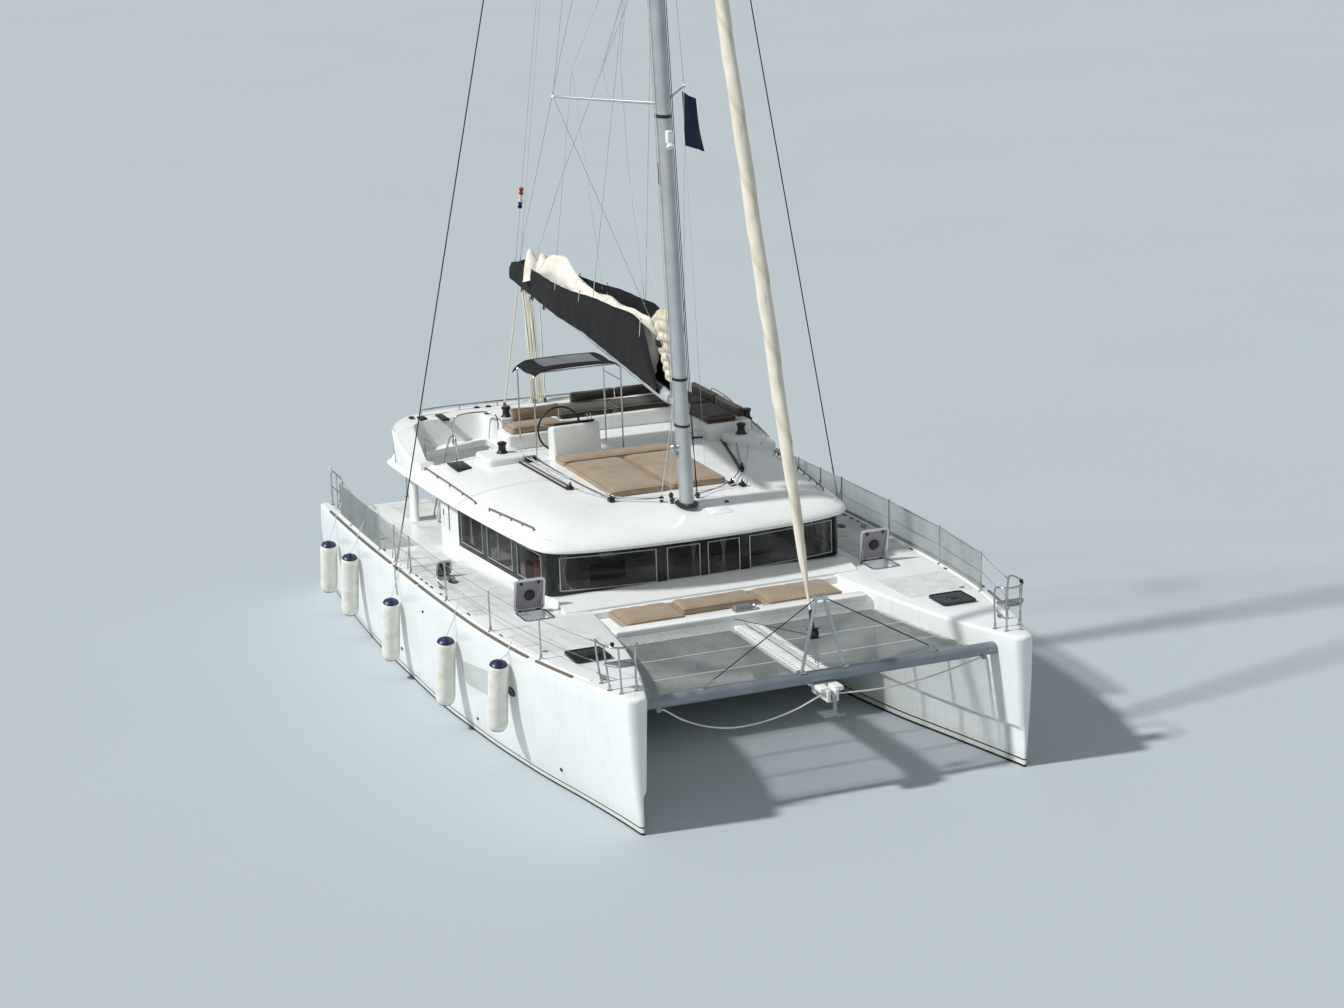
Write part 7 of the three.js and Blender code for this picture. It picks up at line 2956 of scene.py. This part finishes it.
        def point(column: int, row: int) -> Vector:
            """A point of the flaked cloth."""
            along = places[row]
            top, half = eased(self.sail_table, along, 1), eased(self.sail_table, along, 2)
            turn = 2 * math.pi * column / sides
            low = 0.12
            rise, across = (math.sin(turn) + 1) / 2, math.cos(turn)
            fold = 0.016 * math.sin(8 * turn + 2.2 * math.sin(along * 1.7))
            fold += 0.012 * math.sin(along * 6.3 + 2 * turn)
            z = low + (top - low) * rise ** 0.9 + fold * 0.6
            wide = half * (1.05 if rise < 0.75 else 1.05 - 0.55 * (rise - 0.75) / 0.25)
            lean = 0.025 * math.sin(along * 2.3)
            return self.at(along, across * wide + fold + lean * rise, z)

        form.skin(sides, count, point, SAILCLOTH)
        for along, top, lean in ((6.28, 0.74, -0.08), (6.10, 0.70, 0.05)):
            tip = [
                self.at(along - 0.16, lean, 0.24), self.at(along - 0.06, lean * 1.2, 0.50),
                self.at(along + 0.03, lean * 1.3, top)
            ]
            form.tube(smooth_path(tip, 5), 0.05, SAILCLOTH, 10, radii=lambda t: 0.20 * (1 - t) ** 0.8 + 0.016)
        sail = form.piece("flaked_mainsail", body="main_boom", slot="sailcloth", shade=Shade.SOFT)

    def luff(self) -> None:
        """The luff's cream folds: a wedge between the mast and the slanted fore edge of the bag."""
        form = Form()
        folds, mast_gap = 7, 0.185
        shortest, growth = 0.20, 0.42

        def point(column: int, row: int) -> Vector:
            """A point of the stacked folds."""
            share = row / 90
            z = 4.94 + 1.06 * share
            turn = 2 * math.pi * column / 30
            crown = math.sqrt(max(1 - max((share - 0.82) / 0.18, 0) ** 2, 0.02))
            swell = 0.76 + 0.24 * abs(
                math.sin(math.pi * folds * share + 1.1 * math.sin(turn * 2) + 1.5 * math.sin(3 * share))
            )
            fore = mast_x(z) - mast_gap
            reach = shortest + growth * min(share / 0.8, 1)
            depth = reach / 2 * swell * crown * (1 + 0.06 * math.sin(7 * share * math.pi + turn))
            width = (0.105 + 0.065 * min(share / 0.8, 1)) * swell * crown
            x = fore - reach / 2 + depth * math.cos(turn)
            return Vector((x, width * math.sin(turn), z + 0.014 * math.sin(3 * turn)))

        form.skin(30, 91, point, LUFF_CLOTH)
        # The black strap is drawn 0.1 m tall so that it also covers the shadow under it: partly strap, partly
        # painted shadow.
        strap_z, half_width = 5.50, 0.160
        reach = shortest + growth * 0.66
        middle = mast_x(strap_z) - mast_gap - reach / 2
        strap = [
            Vector((middle + (reach / 2 + 0.012) * math.cos(turn), half_width * math.sin(turn), strap_z))
            for turn in spread(0.35 * math.pi, 1.65 * math.pi, 17)
        ]
        form.sweep(
            strap, [(-0.004, -0.05), (0.004, -0.05), (0.004, 0.05), (-0.004, 0.05)], CANVAS,
            up=Vector((0, 0, 1))
        )
        stack = form.piece("luff_folds", ["luff_stack"], slot="sailcloth", shade=Shade.SOFT)

    def hoist(self, z: float) -> Vector:
        """The point of the topping lift at a height."""
        low, high = self.at(7.35, 0, 0.16), Vector((mast_x(22.2) - 0.2, 0, 22.2))
        return low.lerp(high, (z - low.z) / (high.z - low.z))

    def lines(self) -> None:
        """Lazyjacks, topping lift and mainsheet, between the boat and the boom."""
        jacks = Form()
        for sign, fixed, foot in self.lazyjacks:
            path = [Vector((x, sign * (0.1 if z > 10 else 0.2), z)) for x, z in fixed]
            along = (self.pivot[0] - foot) / math.cos(math.radians(self.rise))
            top, half = eased(self.bag_table, along, 1), eased(self.bag_table, along, 2)
            jacks.tube([*path, self.at(along, sign * half, top + 0.03)], 0.0075, FINE_LINE, 5)
        bending(jacks, "lazyjacks")
        lift = Form()
        lift.tube([Vector((mast_x(22.2) - 0.2, 0, 22.2)), self.at(7.35, 0, 0.16)], 0.0065, WHITE_ROPE, 5)
        lift.tube([Vector((mast_x(22.3) - 0.24, 0.04, 22.3)), self.at(7.2, 0.03, 0.14)], 0.0045, FINE_LINE, 5)
        for low, high, cloth in ((6.66, 6.78, FLAG_CLOTH), (6.76, 6.92, SAILCLOTH), (6.90, 7.02, RED_CLOTH)):
            roll = [self.hoist(z) for z in spread(low, high, 5)]
            lift.tube(roll, 0.05, cloth, 10, radii=lambda t: 0.035 + 0.012 * math.sin(9 * t))
        bending(lift, "topping_lift")
        falls = Form()
        for number, (along, foot_y) in enumerate(self.mainsheet):
            spot = Vector((self.traveller[0], foot_y, self.traveller[1]))
            falls.tube(
                [self.at(along, 0.03 * (number % 3 - 1), -0.20), spot], 0.014,
                (SHEET_ROPE, FINE_LINE)[number % 4 == 3], 6
            )
        for y in (-0.88, -0.34, -0.14):
            block(falls, self.traveller[0], y, self.traveller[1] + 0.01, 0.09)
        bending(falls, "mainsheet")


def bending(form: Form, name: str) -> None:
    """Turns lines into an object, with its placement baked into its mesh."""
    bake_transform(form.mesh_object(name, Shade.SOFT))


@dataclass
class Headsail:
    """The headsail rolled on its stay, down to the furling drum."""

    foot: tuple[float, float] = (6.38, 1.72)
    head: tuple[float, float] = (0.142, 21.60)
    # Columns: height, radius of the roll
    table: tuple[Row, ...] = (
        (2.50, 0.016), (2.90, 0.030), (3.30, 0.060), (4.20, 0.082), (5.20, 0.097), (7.00, 0.106),
        (10.0, 0.102),
        (14.0, 0.076), (18.0, 0.05), (20.30, 0.030), (20.6, 0.012),
    )
    pitch: float = 1.15

    def build(self) -> None:
        """Makes the roll and the furling gear."""
        form = Form()
        heights = [*spread(2.5, 4.2, 26), *spread(4.2, 20.6, 150)[1:]]

        def point(column: int, row: int) -> Vector:
            """A point of the roll: a spiral whose edge stands out a little, with loose wrinkles."""
            z = heights[row]
            radius = eased(self.table, z, 1)
            turn = 2 * math.pi * column / 30
            wind = (turn - 2 * math.pi * z / self.pitch) % (2 * math.pi) / (2 * math.pi)
            radius *= 0.93 + 0.13 * wind
            radius += 0.004 * math.sin(2.6 * z + 3 * turn) * min(radius / 0.06, 1)
            return Vector((self.stay_x(z) + radius * math.cos(turn), radius * math.sin(turn), z))

        form.skin(30, len(heights), point, ROLLED_SAIL)
        foot, head = Vector((self.stay_x(1.80), 0, 1.80)), Vector((self.stay_x(21.55), 0, 21.55))
        form.tube([foot, head], 0.0095, STAINLESS, 8)
        lean = Matrix.Rotation(math.atan2(self.head[0] - self.foot[0], self.head[1] - self.foot[1]), 4, "Y")
        drum = Matrix.Translation((self.stay_x(2.18), 0, 2.18)) @ lean
        profile = [(0, 0), (0.09, 0), (0.092, 0.010), (0.058, 0.020), (0.055, 0.12), (0.092, 0.135),
                   (0.09, 0.15), (0.03, 0.16), (0.028, 0.40), (0.018, 0.42), (0, 0.42)]
        form.lathe(profile, BLACK_FITTING, drum, 28)
        form.lathe(
            [(0.056, 0.03), (0.072, 0.035), (0.075, 0.07), (0.072, 0.11), (0.056, 0.118)], BLACK_ROPE, drum,
            28
        )
        for y in (0.035, -0.035):
            form.bar((self.stay_x(1.86), y, 1.86), (self.stay_x(2.20), y, 2.20), 0.009, STAINLESS)
        swivel = Matrix.Translation((self.stay_x(20.62), 0, 20.62)) @ lean
        form.lathe([(0, 0), (0.04, 0), (0.04, 0.16), (0, 0.17)], BLACK_FITTING, swivel)
        roll = form.piece("rolled_headsail", ["furled_genoa"], slot="sailcloth", shade=Shade.SOFT)
        lines = Form()
        lines.tube(
            [Vector((self.stay_x(2.24), -0.06, 2.24)), Vector((3.70, -0.16, 1.80))], 0.006, BLACK_ROPE, 6
        )
        lines.piece("furling_line", shade=Shade.SOFT)

    def stay_x(self, z: float) -> float:
        """The stay's x at a height."""
        (x0, z0), (x1, z1) = self.foot, self.head
        return x0 + (x1 - x0) * (z - z0) / (z1 - z0)


@dataclass
class Shrouds:
    """The black cap shrouds with their silver rigging screws, and the two signal flags."""

    plate: tuple[float, float] = (-1.18, 3.915)
    top: float = 21.60

    def build(self) -> None:
        """Makes the shrouds and the flags."""
        for side, sign in SIDES:
            form = Form()
            x, y = self.plate
            low = Vector((x, y * sign, deck_height(x) + 0.02))
            high = Vector((mast_x(self.top), 0.09 * sign, self.top))
            ahead = (high - low).normalized()
            form.tube([low + ahead * 0.60, high], 0.0105, BLACK_STAY, 8)
            form.tube([low + ahead * 0.02, low + ahead * 0.60], 0.012, STAINLESS, 10)
            form.tube([low + ahead * 0.16, low + ahead * 0.46], 0.021, STAINLESS, 12)
            form.tube([low + ahead * 0.58, low + ahead * 0.74], 0.016, STAINLESS, 10)
            strap = [(x, sign * (DeckFittings.topside(x, z) + 0.006), z) for z in spread(1.40, 1.80, 5)]
            strap += [(x, sign * (y + 0.012), 1.86), (x, sign * (y - 0.010), 1.93)]
            form.sweep(strap, [(-0.026, -0.005), (0.026, -0.005), (0.026, 0.005), (-0.026, 0.005)], STAINLESS,
                       up=Vector((0, sign, 0)))
            form.piece(f"cap_shroud_{side}", [f"shroud_{side}"], slot="stainless", shade=Shade.SOFT)
        line = Form()
        line.tube([(-0.66, 1.05, 9.18), (0.02, 0.98, 3.1)], 0.003, FINE_LINE, 4)
        mast_line = [
            Vector((mast_x(z) - out, -0.06, z))
            for z, out in ((9.15, 0.165), (9.05, 0.22), (6.62, 0.22), (6.52, 0.165))
        ]
        line.tube(mast_line, 0.003, FINE_LINE, 4)
        line.piece("flag_halyard", shade=Shade.SOFT)
        self.flag(
            "courtesy_flag", Vector((-0.65, 1.05, 9.12)), Vector((0.02, 0.98, 3.1)), 0.42, 0.85, (FLAG_CLOTH,)
        )
        self.flag(
            "small_red_flag", Vector((mast_x(8.30) - 0.22, -0.06, 8.30)), mast_line[2], 0.10, 0.34,
            (RED_CLOTH,)
        )

    @staticmethod
    def flag(
        name: str, top: Vector, foot: Vector, width: float, drop: float, cloths: Sequence[Finish]
    ) -> None:
        """Adds a limp flag hanging from a line.

        Args:
            name: the piece's name.
            top: where it is tied on.
            foot: the line's lower end.
            width: the flag's width.
            drop: its height along the line.
            cloths: its cloths, from the top down.
        """
        form = Form()
        ahead = (foot - top).normalized()
        across = Vector((0.30, -0.92, 0)).normalized()
        for number, cloth in enumerate(cloths):
            low, high = number / len(cloths), (number + 1) / len(cloths)

            def point(column: int, row: int) -> Vector:
                """A point of the folded cloth."""
                u = column / 12
                v = low + (high - low) * row / 8
                hang = top + ahead * (drop * v)
                wave = 0.035 * math.sin(u * 9 + v * 3) * u
                flutter = Vector((wave, wave * 0.4, -0.35 * width * u))
                return hang - across * (u * width * (0.65 + 0.35 * v)) + flutter

            form.skin(13, 9, point, cloth, wrap=False, ends=False, solid=False)
        flag = form.piece(name, shade=Shade.SOFT)


# Rails and fenders


@dataclass
class Guardrails:
    """Pulpits with their seats, stanchions, lifelines, pushpits, gates and the netting laced to them."""

    stanchions: tuple[float, ...] = (4.60, 2.90, 1.00, -0.80, -2.50, -4.30)
    height: float = 0.61
    inset: float = 0.15
    wires: tuple[float, float] = (0.595, 0.305)
    net_pitch: float = 0.045
    net_cord: float = 0.0042
    net_aft: float = -5.10
    net_fore: tuple[float, float] = (4.52, -2.45)

    def build(self) -> None:
        """Makes both sides."""
        for (side, sign), fore in zip(SIDES, self.net_fore):
            form = Form()
            self.posts(form)
            self.pulpit(form)
            self.pushpit(form)
            self.lifelines(form)
            if sign < 0:
                form.mirror()
            form.piece(f"guardrails_{side}", [f"guardrail_{side}"], slot="stainless", shade=Shade.SOFT)
            net = Form()
            self.netting(net, self.net_aft, fore)
            if sign < 0:
                net.mirror()
            made = net.piece(f"rail_netting_{side}", slot="netting", shade=Shade.CRISP)

    def line_y(self, x: float) -> float:
        """The rail's y at x."""
        return deck_edge(x) - self.inset

    def foot(self, x: float, y: float | None = None) -> Vector:
        """A point on the deck under the rail."""
        return Vector((x, self.line_y(x) if y is None else y, deck_height(x) + 0.006))

    def base(self, form: Form, spot: Vector) -> None:
        """Adds a stanchion base."""
        form.lathe([(0, 0), (0.042, 0), (0.042, 0.006), (0.021, 0.014), (0.019, 0.075), (0, 0.078)],
                   STAINLESS,
                   Matrix.Translation(spot), 16)

    def posts(self, form: Form) -> None:
        """The stanchions, of which the pair at the gate is braced."""
        for x in self.stanchions:
            spot = self.foot(x)
            self.base(form, spot)
            form.tube([spot, spot + Vector((0, 0.01, self.height))], 0.0125, STAINLESS, 10)
            form.ball(tuple(spot + Vector((0, 0.01, self.height))), 0.015, STAINLESS, (1, 1, 0.7))
        spot = self.foot(-0.80)
        form.tube([spot + Vector((-0.18, 0, 0.01)), spot + Vector((-0.02, 0.008, 0.42))], 0.010, STAINLESS, 8)
        spot = self.foot(-1.62)
        self.base(form, spot)
        form.tube([spot, spot + Vector((0, 0.01, self.height))], 0.0125, STAINLESS, 10)
        form.tube([spot + Vector((-0.20, 0, 0.01)), spot + Vector((-0.02, 0.008, 0.42))], 0.010, STAINLESS, 8)

    def pulpit(self, form: Form) -> None:
        """The bow pulpit: a bent hoop on four legs, with a grey seat inside it."""
        top = deck_height(6.4) + 0.65
        hoop = [(6.08, 3.17, 1.97), (6.03, 3.20, 2.25), (6.02, 3.22, top - 0.10), (6.06, 3.24, top - 0.01),
                (6.30, 3.26, top),
                (6.50, 3.20, top), (6.60, 3.08, top), (6.63, 2.96, top), (6.60, 2.84, top),
                (6.48, 2.79, top - 0.01),
                (6.40, 2.79, top - 0.10), (6.40, 2.79, 2.25), (6.42, 2.79, 1.97)]
        form.tube(smooth_path(hoop, 4), 0.0145, STAINLESS, 10)
        for foot, head in (((6.42, 3.18, 1.972), (6.40, 3.245, top)),
                           ((6.64, 3.09, 1.972), (6.585, 3.10, top)),
                           ((6.62, 2.87, 1.972), (6.61, 2.86, top))):
            form.tube([foot, head], 0.0135, STAINLESS, 10)
        for x, y in ((6.08, 3.17), (6.42, 3.18), (6.64, 3.09), (6.62, 2.87), (6.42, 2.79)):
            self.base(form, Vector((x, y, deck_height(x) + 0.002)))
        seat = rounded([(6.36, 2.80), (6.62, 2.84), (6.64, 3.10), (6.44, 3.25), (6.36, 3.24)], 0.09)
        form.plate(seat, 2.335, 2.362, GALVANISED, 0.010, 3)
        form.tube([(6.41, 3.235, 2.335), (6.60, 3.095, 2.335), (6.61, 2.865, 2.335)], 0.010, STAINLESS, 8)
        lamp = Matrix.Translation((6.52, 3.16, top + 0.015))
        form.lathe([(0, 0), (0.026, 0), (0.03, 0.02), (0.026, 0.05), (0, 0.055)], BLACK_FITTING, lamp, 14)

    def pushpit(self, form: Form) -> None:
        """The stern rail round the boarding steps."""
        top = deck_height(-5.5) + 0.62
        y = 3.62
        rail = [(-5.15, y, 1.74), (-5.15, y, 2.1), (-5.18, y, top - 0.06), (-5.28, y, top),
                (-5.60, y - 0.01, top),
                (-5.86, y - 0.02, top - 0.01), (-5.95, y - 0.02, top - 0.09), (-5.96, y - 0.02, 2.1),
                (-5.96, y - 0.02, 1.73)]
        form.tube(smooth_path(rail, 5), 0.0145, STAINLESS, 10)
        form.tube([(-5.155, y, 2.06), (-5.96, y - 0.02, 2.05)], 0.011, STAINLESS, 8)
        form.tube([(-5.55, y, top), (-5.55, y, 1.735)], 0.012, STAINLESS, 8)
        inner = [(-5.20, 2.28, 1.74), (-5.20, 2.28, top - 0.10), (-5.28, 2.28, top),
                 (-5.72, 2.28, top - 0.02), (-5.82, 2.28, top - 0.12),
                 (-5.84, 2.28, 1.73)]
        form.tube(smooth_path(inner, 5), 0.0145, STAINLESS, 10)
        for x, foot_y in ((-5.15, y), (-5.96, y - 0.02), (-5.55, y), (-5.20, 2.28), (-5.84, 2.28)):
            self.base(form, Vector((x, foot_y, deck_height(x) - 0.002)))
        lamp = Matrix.Translation((-5.90, y, top + 0.015))
        form.lathe([(0, 0), (0.022, 0), (0.026, 0.02), (0.022, 0.05), (0, 0.055)], CLEAR_LENS, lamp, 14)

    def lifelines(self, form: Form) -> None:
        """The two wires, from pulpit to pushpit."""
        for rise in self.wires:
            path = [Vector((6.03, 3.21, deck_height(6.03) + rise))]
            path += [self.foot(x) + Vector((0, 0.01, rise)) for x in self.stanchions]
            path.append(Vector((-5.16, 3.62, deck_height(-5.16) + rise)))
            for a, b in zip(path, path[1:]):
                sag = [a.lerp(b, t) - Vector((0, 0, 0.012 * 4 * t * (1 - t))) for t in spread(0, 1, 5)]
                form.tube(sag, 0.004, STAINLESS, 6)
            first = path[0]
            toward = (path[1] - first).normalized()
            form.tube([first, first + toward * 0.16], 0.009, STAINLESS, 8)

    def netting(self, form: Form, aft: float, fore: float) -> None:
        """Adds the diamond netting between the deck and the upper wire."""
        low, high = 0.035, self.wires[0] - 0.004
        rise = high - low
        count = int((fore - aft) / self.net_pitch)
        for number in range(-int(rise / self.net_pitch), count):
            start = aft + number * self.net_pitch
            for way in (1, -1):
                x0, x1 = (start, start + rise) if way > 0 else (start + rise, start)
                t0, t1 = self.clip(x0, x1, aft, fore)
                if t1 - t0 < 0.05:
                    continue
                ends = []
                for t in (t0, t1):
                    x = x0 + (x1 - x0) * t
                    ends.append(self.foot(x) + Vector((0, 0.012 + 0.002 * way, low + rise * t)))
                form.tube(ends, self.net_cord, RAIL_NET, 4)
        for rise_at in (low, high):
            edge = [self.foot(x) + Vector((0, 0.012, rise_at)) for x in spread(aft, fore, 40)]
            form.tube(edge, 0.006, RAIL_NET, 6)

    @staticmethod
    def clip(x0: float, x1: float, aft: float, fore: float) -> tuple[float, float]:
        """The shares of a slanted cord that lie between two ends."""
        shares = sorted(((aft - x0) / (x1 - x0), (fore - x0) / (x1 - x0)))
        return max(shares[0], 0.0), min(shares[1], 1.0)


@dataclass
class Fenders:
    """The five fenders over the starboard side, each on a short lanyard, with their feet trailing aft."""

    # Columns: x, height of the middle, length, radius
    table: tuple[Row, ...] = (
        (-4.98, 0.893, 0.91, 0.145), (-3.49, 0.973, 1.08, 0.145), (-1.09, 0.866, 1.05, 0.145),
        (1.693, 0.985, 1.09, 0.150), (3.803, 1.215, 1.10, 0.150),
    )
    tilt: float = 10.0

    def build(self) -> None:
        """Makes each fender."""
        for number, (x, middle, length, radius) in enumerate(self.table):
            form = Form()
            y, half = -(deck_edge(x) + radius + 0.008), length / 2
            place = Matrix.Translation((x, y, middle)) @ Matrix.Rotation(math.radians(self.tilt), 4, "Y")
            self.body(form, place, half, radius)
            self.lanyard(form, place @ Vector((0, 0, half + 0.035)))
            form.piece(
                f"fender_body_{number + 1}", [f"fender_{number + 1}"], slot="fender_vinyl", shade=Shade.SOFT
            )

    @staticmethod
    def body(form: Form, place: Matrix, half: float, radius: float) -> None:
        """Adds the inflated body, its moulded rings and its navy ends."""
        body = [(0, 0.02 - half), (radius * 0.70, 0.015 - half), (radius * 0.88, 0.035 - half),
                (radius * 0.97, 0.075 - half),
                (radius, 0.13 - half), (radius, half - 0.11), (radius * 0.97, half - 0.07),
                (radius * 0.88, half - 0.045),
                (radius * 0.80, half - 0.040)]
        form.lathe(body, FENDER_VINYL, place, 28)
        cap = [(radius * 0.82, half - 0.046), (radius * 0.90, half - 0.040), (radius * 0.78, half - 0.010),
               (radius * 0.48, half + 0.012), (radius * 0.27, half + 0.030), (radius * 0.20, half + 0.038),
               (0, half + 0.040)]
        form.lathe(cap, FENDER_CAP, place, 28)
        tip = [(0, -half - 0.038), (radius * 0.20, -half - 0.034), (radius * 0.34, -half - 0.012),
               (radius * 0.72, 0.008 - half),
               (radius * 0.70, 0.03 - half)]
        form.lathe(tip, FENDER_CAP, place, 24)
        for ring in (half - 0.13, half - 0.17, 0.16 - half, 0.20 - half):
            turns = [place @ Vector((radius * 1.003 * math.cos(a), radius * 1.003 * math.sin(a), ring))
                     for a in (2 * math.pi * k / 28 for k in range(28))]
            form.tube(turns, 0.003, FENDER_VINYL, 4, closed=True)

    @staticmethod
    def lanyard(form: Form, eye: Vector) -> None:
        """Adds the doubled lanyard, from the fender's eye over the deck's edge to the lower wire."""
        x, edge, deck = eye.x, deck_edge(eye.x), deck_height(eye.x)
        over = Vector((x, -(edge + 0.012), deck + 0.012))
        wire = Vector((x - 0.03, 0.15 - edge, deck + 0.30))
        for shift in (-0.012, 0.012):
            aside = Vector((shift, 0, 0))
            form.tube([
                eye + aside * 0.5, Vector((x, -(edge + 0.016), deck - 0.06)) + aside, over + aside,
                wire + aside * 0.3
            ],
                      0.0045, FINE_LINE, 6)
        form.ball(tuple(wire), 0.018, FINE_LINE, (1, 0.8, 1.3))


@dataclass
class UnderwaterGear:
    """Keels, rudders, drives and propellers, below the floor but part of the boat."""

    def build(self) -> None:
        """Makes the gear of both hulls."""
        for side, sign in SIDES:
            cad_copy(f"keel_{side}", ANTIFOULING, 0.015, 3, 35).piece(
                f"keel_fin_{side}", [f"keel_{side}"], slot="antifouling", shade=Shade.SOFT)
            cad_copy(f"rudder_{side}", ANTIFOULING, 0.008, 2, 35).piece(
                f"rudder_blade_{side}", [f"rudder_{side}"], body=f"{side}_rudder", slot="antifouling",
                shade=Shade.SOFT)
            cad_copy(f"sail_drive_{side}", ANTIFOULING, 0.006, 2, 35).piece(
                f"drive_leg_{side}", [f"sail_drive_{side}"], slot="antifouling", shade=Shade.SOFT)
            cad_copy(f"propeller_{side}", BRONZE, 0.002, 1, 35).piece(
                f"propeller_blades_{side}", [f"propeller_{side}"], body=f"{side}_propeller",
                slot="stainless", shade=Shade.SOFT)


def main() -> None:
    """Builds the scene and every sub-assembly in order."""
    logging.basicConfig(level=logging.INFO, format="%(name)s %(message)s")
    roof = Coachroof()
    parts = (
        Studio(), MooringBridle(), Hulls(), DeckFittings(), Saloon(), roof, Flybridge(), Cockpits(),
        Cushions(),
        Helm(), Bimini(), RoofGear(roof), Foredeck(), Hatches(), Mast(), Boom(), Headsail(), Shrouds(),
        Guardrails(),
        Fenders(), UnderwaterGear(),
    )
    for part in parts:
        LOG.info("building %s", type(part).__name__)
        part.build()


if __name__ == "__main__":
    main()
